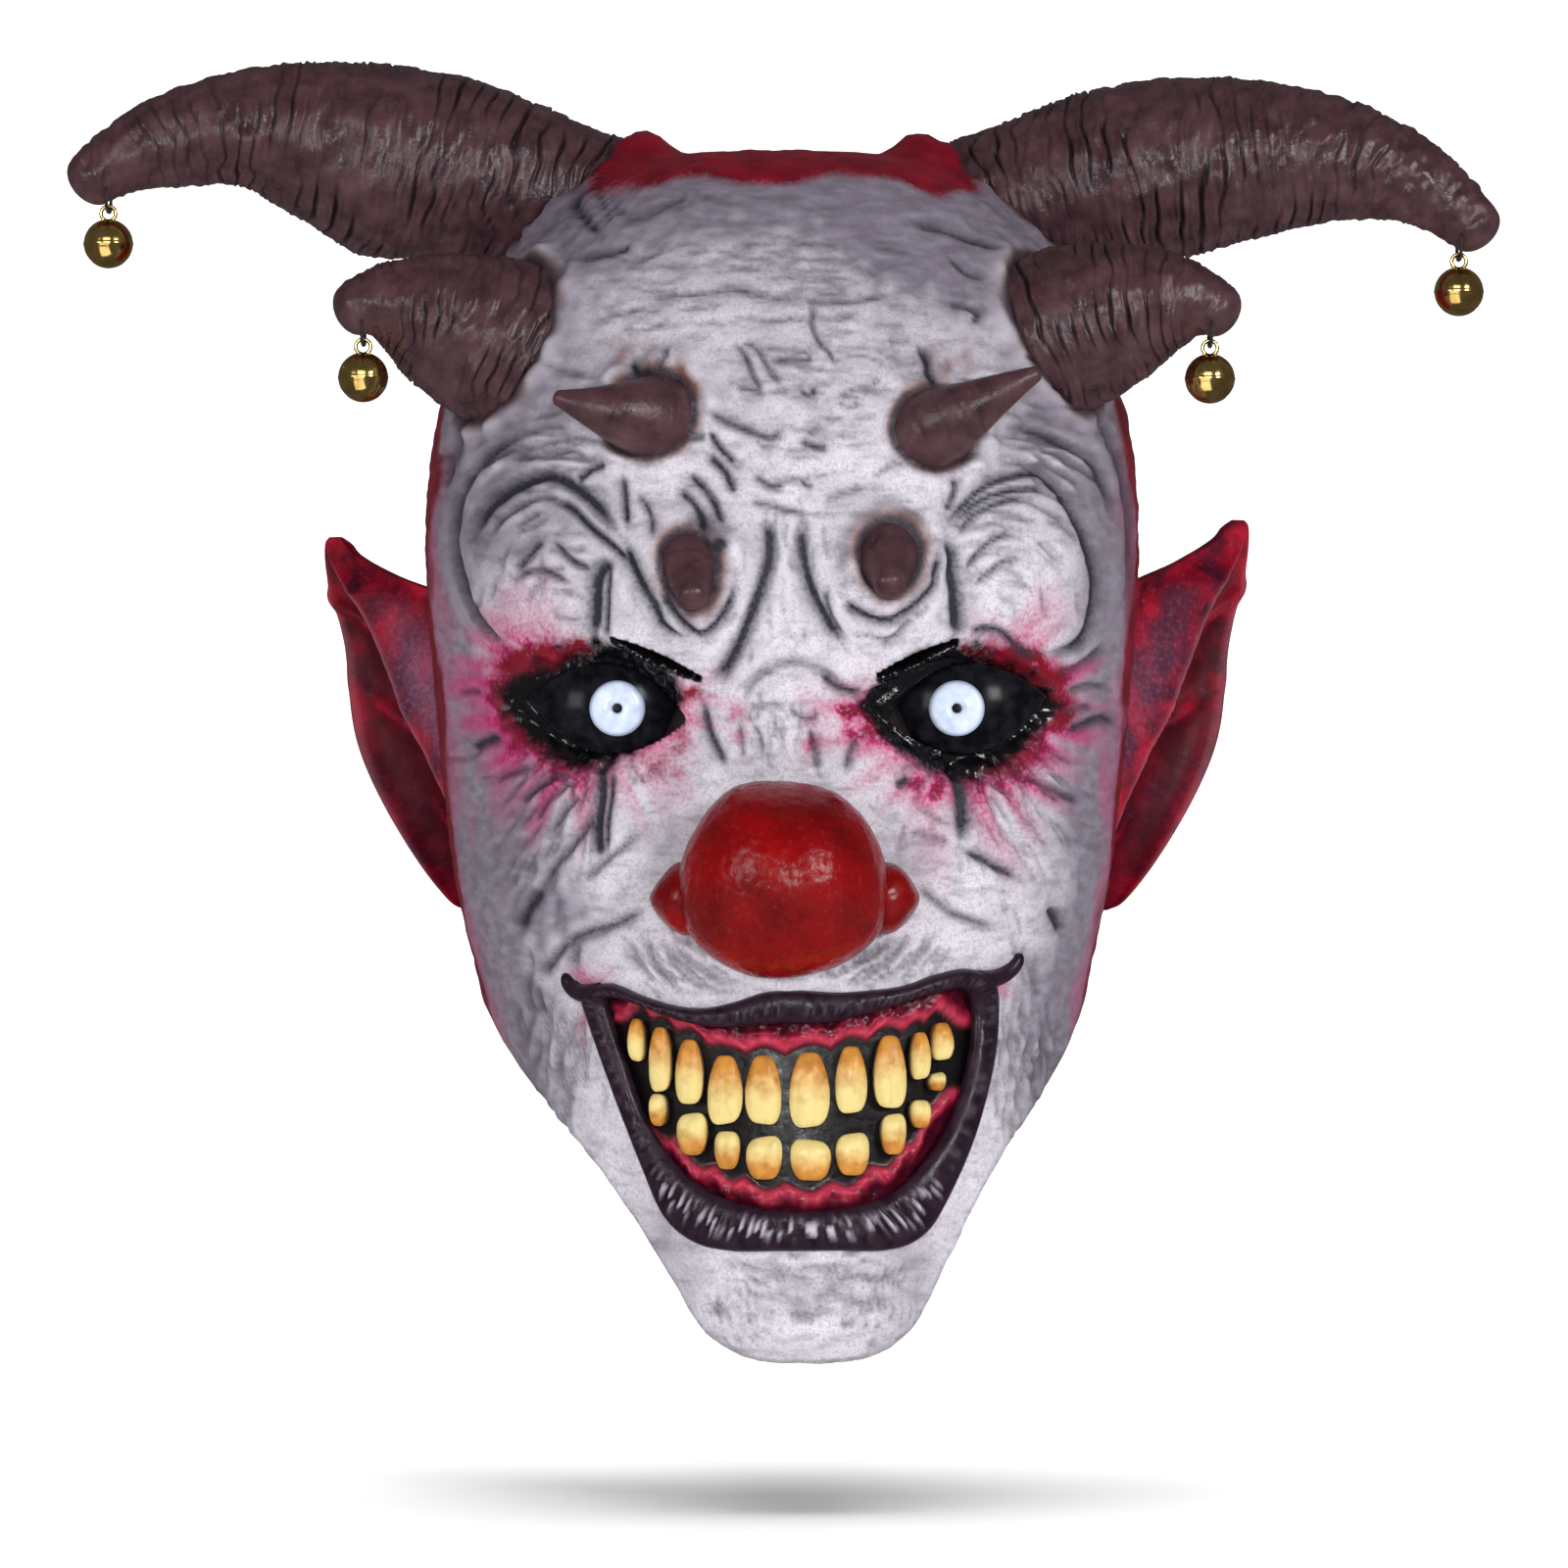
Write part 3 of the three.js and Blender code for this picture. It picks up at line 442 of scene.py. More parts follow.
# %% Grid of the hood
RIM_TURNS = [0, 14, 24, 30, 37, 45, 54, 66, 78, 92, 110, 180]
RIM_HEIGHTS = [-307.5, -306.8, -303, -296, -276, -259, -247, -234.5, -222, -216, -214, -214]
FRONT_COLUMNS = 256
BACK_COLUMNS = 72
FRONT_SHARE = 0.9
Band = namedtuple("Band", "place to_z step")
BANDS = [Band(*row) for row in (
    ("forehead", -60, 1.0),
    ("brows and eyes", -165, 0.9),
    ("cheeks", -215, 1.05),
    ("jaw", CHIN_Z, 1.6),
)]
CROWN_ROWS = 26
CROWN_FROM_ROW, CROWN_TO_ROW = 0.04, 3
FREE_ROW = 9.5
RIM_EASE = 5
FACE_EDGE, FACE_FULL = 8.0, 30.0


def column_turns():
    """Turns of the columns, even across the face and sparse behind."""
    front = turn_at(FRONT_SHARE * np.linspace(-1, 1, FRONT_COLUMNS))
    back = np.linspace(front[-1], 2 * np.pi + front[0], BACK_COLUMNS + 2)[1:-1]
    return np.concatenate([front, back])


def level_rows():
    """Rows of the grid, band by band down the face."""
    rows = [np.linspace(CROWN_FROM_ROW, CROWN_TO_ROW, CROWN_ROWS, endpoint=False)]
    z = SECTIONS[CROWN_TO_ROW].z
    for band in BANDS:
        count = round((z - band.to_z) / band.step)
        rows.append(row_at(np.linspace(z, band.to_z, count, endpoint=False)))
        z = band.to_z
    return np.concatenate([*rows, [LAST_ROW]])


def rim_row(turn):
    """The row of the lower rim, its corners eased by averaging neighbours."""
    away = np.abs((turn + np.pi) % (2 * np.pi) - np.pi)
    spread = np.radians(np.linspace(-RIM_EASE, RIM_EASE, 2 * RIM_EASE + 1))
    angles = np.degrees(np.abs(away[:, None] + spread))
    return row_at(np.interp(angles, RIM_TURNS, RIM_HEIGHTS).mean(1))


TURNS = column_turns()
ROWS = level_rows()
stretch = (rim_row(TURNS) - FREE_ROW) / (LAST_ROW - FREE_ROW)
hood_rows = np.where(ROWS[:, None] < FREE_ROW, ROWS[:, None], FREE_ROW + (ROWS[:, None] - FREE_ROW) * stretch)
hood_turns = np.broadcast_to(TURNS, hood_rows.shape)
hood = head_point(hood_turns, hood_rows).reshape(-1, 3)
hood_out = head_normal(hood_turns, hood_rows).reshape(-1, 3)
seen = front_view(hood)
facing = np.flatnonzero(hood[:, 1] < -FACE_EDGE)
print("hood grid:", hood_rows.shape, "points on the face:", len(facing))

# %% [markdown]
# ## Horn centrelines
# The horns are eight bent cones. Their paths are needed now, before they are made, because the latex swells
# and the wash, with a painted shade, darkens where a horn leaves the hood.

# %% Horn centrelines
HornKind = namedtuple("HornKind", "tip_radius taper_from taper_to neck fullness straight")
HORN_KINDS = {
    "large": HornKind(5.4, 0.25, 1.18, 0.16, 1, 0),
    "side": HornKind(5.8, 0.2, 1.15, 0, 1, 0),
    "brow": HornKind(2, 0, 1.15, 0, 1.25, 0.75),
    "nub": HornKind(3.6, 0, 1.2, 0, 1.14, 0.4),
}
NECK_SHARE = 0.3
LINE_STEPS = 40
Horn = namedtuple("Horn", "kind word root_radius root rise reach tip")
HORNS = [Horn(*row) for row in (
    ("large", "left", 24, (48, 8, -14), (92, 4, -2), (152, -8, 13.8), (178.5, -14, -18.5)),
    ("large", "right", 24.5, (-48, 8, -14), (-92, 4, -1), (-152, -8, 19.8), (-180.5, -14, -6)),
    ("side", "left", 21.5, (50, -39, -55), (79, -43, -43), (99, -47, -35), (110.5, -50, -42)),
    ("side", "right", 22, (-49, -39, -57), (-81, -43, -49), (-100, -47, -36), (-110.5, -50, -41.5)),
    ("brow", "left", 10.5, (31, -74, -77), (38, -88, -73), (50, -94, -66), (62, -92, -60)),
    ("brow", "right", 11, (-28, -74, -71), (-36, -89, -71), (-47, -95, -69), (-57, -94, -66)),
    ("nub", "left", 9.8, (25, -84, -104), (25, -92, -106), (25.5, -98, -109), (25.5, -103, -113)),
    ("nub", "right", 9.8, (-24, -84, -106), (-24, -92, -109), (-24, -98, -112), (-23.5, -103, -116)),
)]


def unit(vectors):
    """The same directions, each of length 1."""
    return vectors / np.linalg.norm(vectors, axis=1, keepdims=True)


def horn_path(horn, share):
    """Points and directions of a horn's centreline."""
    a, b, c, d = (np.array(p, float) for p in (horn.root, horn.rise, horn.reach, horn.tip))
    t = np.asarray(share)[:, None]
    s = 1 - t
    point = s**3 * a + 3 * s * s * t * b + 3 * s * t * t * c + t**3 * d
    ahead = s * s * (b - a) + 2 * s * t * (c - b) + t * t * (d - c)
    return point, unit(ahead)


def horn_radius(horn, share):
    """A horn's radius along it: a taper that is part curved and part straight, with a waist at the root."""
    kind = HORN_KINDS[horn.kind]
    taper = smooth(share, kind.taper_from, kind.taper_to) * (1 - kind.straight) + share * kind.straight
    waist = 1 - kind.neck * (1 - smooth(share, 0, NECK_SHARE))
    return (horn.root_radius * kind.fullness * (1 - taper) + kind.tip_radius * taper) * waist


def horn_gap(horn, points):
    """How far points are outside a horn."""
    share = np.linspace(0, 1, LINE_STEPS)
    line, _ = horn_path(horn, share)
    apart = np.linalg.norm(points[:, None] - line, axis=2) - horn_radius(horn, share)
    return apart.min(1)


print("horns:", [f"{horn.kind}_{horn.word}" for horn in HORNS])

# %% [markdown]
# ## Creases of the face
# Every fold was modelled by hand, so each one is a row here: its place, its width and depth in
# millimetres, how dark the wash in it is, and a few points that a smooth curve is drawn through. A
# displacement texture would be quicker, but it couldn't follow the swirls over the brows.

# %% Creases of the face
Crease = namedtuple("Crease", "place width depth dark path")
CREASES = [Crease(*row) for row in (
    # Forehead
    ("long crease", 1.3, 0.8, 0.6, [(-40, -38.5), (-30, -38), (-20, -37), (-14, -36), (-4, -38), (4, -39)]),
    ("long crease left", 1.3, 0.8, 0.6, [(4, -39), (9, -39.7), (20, -38.8), (28, -37)]),
    ("falling crease", 1.4, 0.9, 0.65, [(6, -39), (6.5, -43), (6.2, -45), (8, -49), (11, -52.5), (13, -57)]),
    ("right ripple", 1.2, 0.6, 0.5, [(-50, -44), (-42, -42.5), (-37, -41.3), (-31, -42)]),
    ("middle ripple", 1.1, 0.6, 0.5, [(-12.5, -43.5), (-5, -44), (-1, -44), (4, -41.7)]),
    ("left ripple", 1.1, 0.6, 0.5, [(7.5, -44), (12.5, -43.6), (18, -43)]),
    ("left dash", 1.4, 0.6, 0.45, [(25.5, -50), (29, -49), (32, -49.2)]),
    ("fork outer", 1.5, 0.9, 0.65, [(-12.5, -49.6), (-8.3, -50.8), (-6, -54), (-4, -57.5), (-1, -61)]),
    ("fork inner", 1.5, 0.9, 0.7, [(-13.6, -49.6), (-10.7, -53.3), (-8.7, -58.3), (-6, -62.8)]),
    ("fork foot", 1.5, 0.8, 0.7, [(-13.6, -61.2), (-9, -61.6), (-6, -62.8)]),
    ("lens over", 1.2, 0.7, 0.6, [(-7, -51.2), (-2, -51.6), (4, -52), (7, -54)]),
    ("lens under", 1.4, 0.8, 0.7, [(-5, -54), (2.5, -54.5), (7, -54)]),
    ("small hook", 1.5, 0.8, 0.75, [(2.5, -61.6), (5.4, -63.2), (7, -62.4), (5.5, -61)]),
    ("left rise", 1.1, 0.6, 0.55, [(12.5, -63.6), (17.5, -61.6), (21.5, -60.7), (24, -58.3)]),
    ("cup", 2.0, 1.0, 0.75, [(-21.5, -67.4), (-15.7, -69.8), (-10.7, -71.9), (-4, -74), (-1, -70.7)]),
    ("cup foot", 1.2, 0.5, 0.5, [(-8, -75), (-5.5, -76.5), (-3, -76.5)]),
    ("left leaf", 1.9, 0.9, 0.8, [(3, -74.8), (6.6, -76.3), (11, -76.9)]),
    ("left leaf over", 1.3, 0.6, 0.5, [(5, -73), (7, -71.8), (9.5, -71.2)]),
    ("horn bar", 2.4, 0.9, 0.7, [(-27, -74), (-23, -74.2), (-20, -74)]),
    ("horn slide", 2.0, 1.0, 0.85, [(-19.5, -72.3), (-17.4, -76.4), (-12.4, -81.4)]),
    ("horn slide low", 2.4, 1.1, 0.85, [(-20.7, -78), (-15.7, -83), (-13.2, -89)]),
    ("loop", 1.5, 0.8, 0.7, [(-9, -83), (-4, -86.4), (-0.4, -85.5)]),
    ("tick", 1.5, 0.7, 0.7, [(3.3, -84.7), (5, -86.2), (6.8, -86.2)]),
    ("bar", 1.6, 0.8, 0.65, [(-10, -90.3), (-5.7, -91), (0, -92.6), (5, -93)]),
    ("left bar", 1.3, 0.6, 0.5, [(9, -89.7), (14, -88.4), (20, -86.4)]),
    ("left bar over", 1.3, 0.5, 0.45, [(21.5, -84.7), (25.6, -81.8), (30, -80.6)]),
    # Horn roots
    ("right lump fold", 2.2, 1.3, 0.9, [(-50, -8.7), (-54, -13.6), (-52, -17.8), (-47.5, -22.3)]),
    ("right lump inner", 1.6, 0.9, 0.7, [(-49, -10.3), (-46.7, -15.3), (-44.6, -19.4)]),
    ("right lump hollow", 2.2, 0.9, 0.6, [(-46, -12.8), (-42, -17), (-37, -17.4), (-29, -13.6), (-25, -12)]),
    ("right root line", 1.5, 0.9, 0.8, [(-56, -28.8), (-47, -27.5), (-42, -26.2), (-40.5, -24.8)]),
    ("right root line low", 1.2, 0.5, 0.45, [(-41, -29), (-36, -28), (-30.6, -26)]),
    ("left root line", 1.9, 1.0, 0.75, [(30.6, -19.4), (39.7, -21), (49.6, -24.4), (55, -27)]),
    ("left root wave", 1.6, 0.8, 0.7, [(41, -27.7), (44, -30.5), (47, -32.6), (51, -33.5)]),
    ("left root curl", 1.7, 0.9, 0.75, [(40.5, -40), (45.5, -40.6), (49, -42.6), (47, -45)]),
    ("right brow root", 2.4, 1.4, 0.95, [
        (-39.7, -53.3), (-38.8, -56.6), (-36.4, -59), (-30.6, -61.2), (-26, -60.5)]),
    ("right brow root in", 1.6, 0.9, 0.7, [(-31, -50.8), (-30.6, -54), (-33, -57.4)]),
    ("left brow root", 2.0, 1.3, 0.95, [(33.5, -50.4), (35.5, -54), (36.4, -59), (37.6, -61.6)]),
    # Right brow
    ("temple swirl", 2.0, 1.1, 0.8, [(-71, -63), (-80, -67), (-84, -77), (-88, -89)]),
    ("temple inner", 1.9, 1.1, 0.8, [
        (-66, -73), (-73, -76), (-79, -82), (-84, -93), (-84, -106), (-80, -118), (-72, -128)]),
    ("face edge", 1.8, 1.0, 0.7, [(-85, -100), (-82, -112), (-79, -120), (-72, -128)]),
    ("brow arch", 3.0, 1.7, 1.0, [(-80, -99), (-77, -93), (-70, -87), (-60, -84), (-50, -90), (-42, -100)]),
    ("brow arch foot", 2.8, 1.6, 0.95, [
        (-42, -100), (-39.5, -106), (-36, -113), (-31.7, -120.7), (-25, -127)]),
    ("under arch", 2.0, 1.2, 0.9, [(-60, -90), (-55, -92), (-50, -97), (-44, -102), (-39.7, -106.7)]),
    ("arch echo", 1.5, 0.7, 0.6, [(-76, -99), (-70, -93), (-62, -89.5), (-57, -90.5)]),
    ("arch branch", 2.0, 1.1, 0.9, [(-54.3, -85.7), (-50, -82.3), (-45.7, -80.7)]),
    ("brow drip", 1.8, 1.0, 0.85, [(-42, -83), (-41.3, -90), (-40.7, -97.3)]),
    ("brow drip inner", 1.6, 0.9, 0.75, [(-38.3, -88), (-35, -93.3), (-34.3, -100)]),
    ("lid slope", 1.8, 1.0, 0.8, [(-70, -108.5), (-66, -104), (-62, -100)]),
    ("lid cross", 1.7, 1.0, 0.8, [(-60.3, -100), (-55, -105.3), (-49.7, -108)]),
    ("lid base", 1.6, 0.9, 0.75, [(-70.3, -109.7), (-63, -108), (-55, -111.3)]),
    ("lid drop", 3.6, 1.8, 1.0, [(-44.3, -104.7), (-48.3, -109.3), (-49, -116.7), (-49, -126)]),
    ("lid drop inner", 1.7, 0.9, 0.85, [(-45, -106), (-46, -116.7), (-45.3, -126)]),
    ("pouch side", 3.0, 1.7, 0.95, [
        (-5.7, -92.7), (-4.3, -100), (-5, -108), (-10.3, -123), (-15, -132), (-19.7, -137)]),
    ("pit rim", 2.2, 1.2, 0.9, [
        (-33, -112), (-29.7, -116.7), (-23, -124), (-18.3, -122), (-15, -116.7), (-13, -109)]),
    ("over nub", 2.0, 1.1, 0.85, [(-25.7, -82.7), (-19.7, -88.7), (-15.7, -97.3)]),
    ("over nub outer", 2.0, 1.1, 0.85, [(-28.3, -86.7), (-23, -92), (-21, -98.7)]),
    # Left brow
    ("temple edge", 2.0, 1.1, 0.75, [
        (69, -60.7), (75, -64), (80.3, -70.7), (85, -82), (87.7, -100), (87, -129)]),
    ("temple inner left", 1.9, 1.0, 0.8, [(56.3, -71.3), (65, -73.3), (73, -77.3), (79, -82.7), (84.3, -97)]),
    ("brow swirl", 2.3, 1.3, 0.9, [
        (55, -78), (67, -85.3), (75, -97.3), (78.7, -112), (75, -126), (65, -130)]),
    ("brow swirl foot", 2.0, 1.1, 0.85, [(65, -130), (60.3, -128.7), (55, -124), (50.3, -122.7), (45, -124)]),
    ("arch high", 2.0, 1.1, 0.85, [
        (39.7, -97.3), (44.3, -92), (50.3, -86.7), (57, -84), (64.3, -83.3), (68.3, -86)]),
    ("arch middle", 1.8, 1.0, 0.85, [(41, -98), (48.3, -90.7), (55, -88), (61.7, -87.3), (67, -88)]),
    ("arch low", 1.7, 0.9, 0.8, [(43, -99.3), (48.3, -93.3), (56.3, -90), (61.7, -90)]),
    ("lid over", 1.7, 0.9, 0.75, [(45, -108.7), (48.3, -104), (53, -100), (59, -97.3)]),
    ("lid under", 1.6, 0.9, 0.7, [(47, -112), (51.7, -108.7), (55, -106), (59.7, -104.7)]),
    ("lid drop left", 3.2, 1.8, 1.0, [(40.3, -98.7), (41.7, -105.3), (43, -113.3), (43.3, -120), (43, -126)]),
    ("pouch side left", 2.8, 1.6, 0.9, [(3.7, -94.7), (3.7, -102.7), (5.7, -112), (9.7, -120), (15, -128.7)]),
    ("pouch echo left", 1.8, 0.9, 0.7, [(9.3, -112), (11, -119.3), (14.3, -125.3)]),
    ("pit rim left", 2.2, 1.2, 0.9, [
        (38.3, -101), (37.7, -108), (35.7, -113), (27, -120.7), (17, -118), (15, -114.7)]),
    ("pit rim low", 1.6, 0.8, 0.65, [(32.3, -120), (28.3, -124), (23.7, -128)]),
    ("pouch base", 2.2, 1.2, 0.85, [(8.3, -134), (13.7, -138), (19.7, -139.3)]),
    ("brow drip left", 1.8, 1.0, 0.8, [(42.3, -84), (42.3, -88.7), (40.3, -93.3)]),
    # Eye corners and cheeks
    ("right crow foot", 1.4, 0.7, 0.6, [(-84, -139.3), (-81, -138.6), (-77.7, -139)]),
    ("right crow foot low", 2.2, 1.1, 0.95, [(-80.3, -153.7), (-77.7, -151.7), (-73, -150)]),
    ("left crow foot top", 1.7, 0.9, 0.7, [(68.3, -134.7), (75, -132), (82.3, -126)]),
    ("left crow foot", 1.5, 0.8, 0.65, [(71.7, -139), (76, -137.5), (81.7, -137.3)]),
    ("left crow foot mid", 1.5, 0.8, 0.65, [(70.3, -144.7), (74, -143), (78.3, -142.7)]),
    ("left crow foot low", 2.0, 1.0, 0.85, [(71, -149.7), (76, -147), (81, -145.5), (84.3, -148)]),
    ("right ray 1", 1.6, 0.8, 0.65, [(-75, -161.7), (-69.7, -159.3), (-65, -157.7)]),
    ("right ray 2", 1.9, 0.9, 0.75, [(-68.3, -167.7), (-65, -164.3), (-60.3, -161.3), (-53.7, -160)]),
    ("right ray 3", 1.5, 0.8, 0.65, [(-64.3, -172.7), (-61.7, -167.7), (-57.7, -163.7), (-51.7, -161.7)]),
    ("right ray 4", 1.5, 0.8, 0.6, [(-59.7, -173.7), (-56.3, -169), (-51.7, -165)]),
    ("right long ray", 2.0, 1.1, 0.75, [
        (-62.3, -189), (-59, -183), (-53.7, -177), (-49.7, -171), (-47, -165)]),
    ("right dimple", 2.8, 1.3, 0.95, [(-68.3, -200), (-66.3, -195), (-62.3, -189)]),
    ("right tear", 3.0, 1.6, 1.0, [(-46.7, -155.7), (-47.3, -162.3), (-48.3, -173.7), (-47.3, -182)]),
    ("right tear inner", 1.6, 0.9, 0.9, [(-43.7, -158.3), (-44.7, -165), (-45.7, -171.7), (-46, -181)]),
    ("right cheek line", 1.7, 0.9, 0.6, [(-52.3, -187.7), (-48.3, -183.7), (-44.3, -180.3), (-36.3, -173.7)]),
    ("right smile line", 2.1, 1.3, 0.75, [
        (-35, -193), (-43, -198), (-53.7, -201.7), (-60.3, -208.3), (-62.3, -212.3)]),
    ("right corner hollow", 3.0, 1.2, 0.65, [(-53.5, -203), (-54.3, -206), (-54.5, -209)]),
    ("left ray 1", 1.6, 0.8, 0.55, [(45.7, -160.3), (51.7, -162.3), (59, -166.3)]),
    ("left ray 2", 1.7, 0.9, 0.65, [(59, -160.3), (65, -162.3), (71.7, -165.7), (75, -167)]),
    ("left ray 3", 1.4, 0.7, 0.5, [(32.3, -167.3), (37.7, -171), (41.7, -172.3)]),
    ("left ray 4", 1.4, 0.7, 0.5, [(31, -174.3), (36.3, -175.7), (41.7, -177.7)]),
    ("left tear", 3.6, 1.7, 1.0, [(43, -155), (42.3, -158.3), (43.7, -163), (45, -168.3), (44.5, -178.3)]),
    ("left cheek line", 2.3, 1.2, 0.85, [(44.3, -178.3), (50.3, -181.7), (55, -184.3), (59, -186)]),
    ("left dimple", 2.4, 1.2, 0.9, [(67, -193.7), (69, -197.7), (70, -200.5)]),
    ("left smile line", 1.9, 1.1, 0.65, [
        (33, -188.3), (36.3, -191), (41.7, -195), (48.3, -197.7), (55, -199.7)]),
    ("left eye corner", 2.4, 1.0, 0.9, [(31, -160.5), (29.5, -162), (27.5, -163)]),
    # Nose bridge
    ("bridge arch", 2.2, 1.2, 0.5, [
        (-11.3, -142), (-9.6, -137), (-4, -132.7), (3, -131), (11, -135), (13.3, -139)]),
    ("bridge fold", 1.7, 0.9, 0.55, [(-11, -143.5), (-4, -142.4), (0, -143)]),
    ("right bridge", 2.3, 1.2, 0.8, [
        (-22, -139.5), (-20.5, -147), (-19, -151), (-17.7, -153.7), (-15, -159)]),
    ("right bridge inner", 1.3, 0.6, 0.5, [(-12.3, -146.3), (-11.7, -151.7), (-11, -156)]),
    ("right bridge middle", 1.4, 0.6, 0.5, [(-9, -147), (-6.6, -151), (-6.3, -156)]),
    ("bridge top", 1.5, 0.8, 0.65, [(-0.3, -142.7), (5, -146), (9, -144.7)]),
    ("left bridge inner", 2.0, 1.0, 0.65, [(5.7, -147.5), (7.3, -153.7), (8, -159.7)]),
    ("left bridge", 1.9, 1.0, 0.7, [(18.3, -150.3), (16.3, -154.3), (15, -159.5)]),
    # Round the mouth and chin
    ("right lip arc 1", 1.4, 0.7, 0.4, [(-40.3, -201.7), (-37, -209), (-33, -213)]),
    ("right lip arc 2", 1.6, 0.8, 0.5, [(-35.7, -201), (-33.7, -208.3), (-27.7, -215.7)]),
    ("right lip arc 3", 1.5, 0.8, 0.42, [
        (-31, -201.7), (-28.3, -207), (-23, -211.7), (-18.3, -215), (-10.3, -215.6)]),
    ("right lip arc 4", 1.4, 0.7, 0.36, [(-28.3, -203), (-23, -208.3), (-16.3, -212.3), (-9.7, -213)]),
    ("left lip arc 1", 1.4, 0.7, 0.5, [(15, -209), (20.3, -207), (24.3, -203.7), (27, -201)]),
    ("left lip arc 2", 1.4, 0.7, 0.5, [(19, -211), (25.5, -207.5), (29.5, -203), (31.5, -200)]),
    ("left lip arc 3", 1.3, 0.6, 0.45, [(24, -212), (30, -209), (34.5, -204), (36, -200)]),
    ("right jaw line 1", 1.6, 0.7, 0.5, [(-66.3, -212.3), (-65.7, -217), (-64.3, -220.3)]),
    ("right jaw line 2", 1.8, 0.8, 0.6, [(-63.7, -213.5), (-63, -218), (-61.3, -222)]),
    ("left corner hollow", 2.6, 0.9, 0.4, [(61.7, -206), (63, -211), (63.7, -215)]),
    ("chin fold", 1.8, 0.8, 0.45, [(-20, -283.5), (-10, -285.8), (0, -286.7), (10, -285.8), (20, -283)]),
    ("chin arc", 1.5, 0.6, 0.4, [(-14, -290.5), (-2, -288.8), (10, -290), (20, -292)]),
    ("chin pit", 2.2, 0.8, 0.6, [(-19, -294.5), (-18, -296.5), (-16.5, -297.5)]),
    ("chin mark", 1.8, 0.6, 0.5, [(1, -296.3), (3.5, -297), (6, -296.5)]),
)]
print("creases:", len(CREASES), "deepest:", max(CREASES, key=lambda crease: crease.depth).place)

# %% [markdown]
# ## Fine lines
# Between the drawn folds the skin is covered with short strokes that all run one way: level on the
# forehead, out from the eyes, and round the nose and mouth. They are too many to list, so a seeded draw
# scatters them over each region.

# %% Fine lines
Hatch = namedtuple("Hatch", "place centre spread about way count length width depth dark")
HATCHES = [Hatch(*row) for row in (
    ("forehead", (0, -36), (42, 22), (0, -420), "round", 110, 15, 1.0, 0.16, 0.46),
    ("low forehead", (2, -72), (26, 20), (0, -420), "round", 46, 8, 1.3, 0.4, 0.5),
    ("right temple", (-62, -76), (18, 14), (-56, -112), "round", 34, 13, 1.4, 0.5, 0.5),
    ("left temple", (64, -78), (18, 16), (54, -112), "round", 34, 13, 1.4, 0.5, 0.5),
    ("right lid", (-64, -106), (12, 12), (-56, -118), "round", 26, 8, 1.3, 0.45, 0.5),
    ("left lid", (58, -104), (14, 12), (52, -120), "round", 26, 8, 1.3, 0.45, 0.5),
    ("right pouch", (-22, -112), (12, 16), (-23, -108), "round", 30, 7, 1.3, 0.4, 0.5),
    ("left pouch", (24, -110), (13, 16), (25, -107), "round", 30, 7, 1.3, 0.4, 0.5),
    ("brow middle", (0, -108), (7, 22), (0, 300), "away", 24, 7, 1.2, 0.4, 0.4),
    ("right eye rays", (-58, -160), (18, 7), (-46, -140), "away", 46, 9, 1.2, 0.4, 0.5),
    ("left eye rays", (54, -162), (20, 7), (43, -140), "away", 46, 9, 1.2, 0.4, 0.5),
    ("right cheek", (-62, -180), (16, 14), (-42, -140), "away", 44, 7, 1.1, 0.3, 0.36),
    ("left cheek", (58, -178), (18, 14), (40, -140), "away", 44, 7, 1.1, 0.3, 0.36),
    ("nose bridge", (-2, -150), (12, 8), (0, 300), "away", 24, 6, 1.2, 0.4, 0.42),
    ("right upper lip", (-28, -208), (12, 6), (-4, -178), "round", 40, 8, 1.0, 0.3, 0.5),
    ("left upper lip", (24, -207), (14, 6), (0, -178), "round", 55, 8, 1.0, 0.35, 0.6),
    ("right jaw", (-58, -232), (10, 18), (-20, 300), "away", 60, 11, 1.0, 0.3, 0.5),
    ("left jaw", (58, -230), (9, 18), (24, 300), "away", 56, 11, 1.0, 0.3, 0.5),
    ("chin", (2, -294), (22, 8), (2, -200), "round", 80, 9, 1.0, 0.3, 0.5),
    ("left chin", (19, -293), (8, 8), (2, -200), "round", 40, 7, 1.3, 0.35, 0.55),
)]
HATCH_SCATTER, HATCH_SWAY = 0.55, 0.14
FINE_SEED = 11


def hatch_lines(hatch, draw):
    """Short strokes over a region, round its turning point or away from it."""
    for _ in range(hatch.count):
        middle = np.array(hatch.centre) + draw.normal(size=2) * np.array(hatch.spread) * HATCH_SCATTER
        away = middle - np.array(hatch.about)
        away /= np.linalg.norm(away)
        along = away if hatch.way == "away" else np.array([-away[1], away[0]])
        aside = np.array([-along[1], along[0]])
        half = hatch.length * draw.uniform(0.3, 0.7)
        sway = aside * draw.normal(size=(3, 1)) * half * HATCH_SWAY
        path = middle + np.array([[-half], [0], [half]]) * along + sway
        yield Crease(hatch.place, hatch.width, hatch.depth, hatch.dark * draw.uniform(0.4, 1), path)


fine_draw = np.random.default_rng(FINE_SEED)
FINE_LINES = [line for hatch in HATCHES for line in hatch_lines(hatch, fine_draw)]
print("fine lines:", len(FINE_LINES))
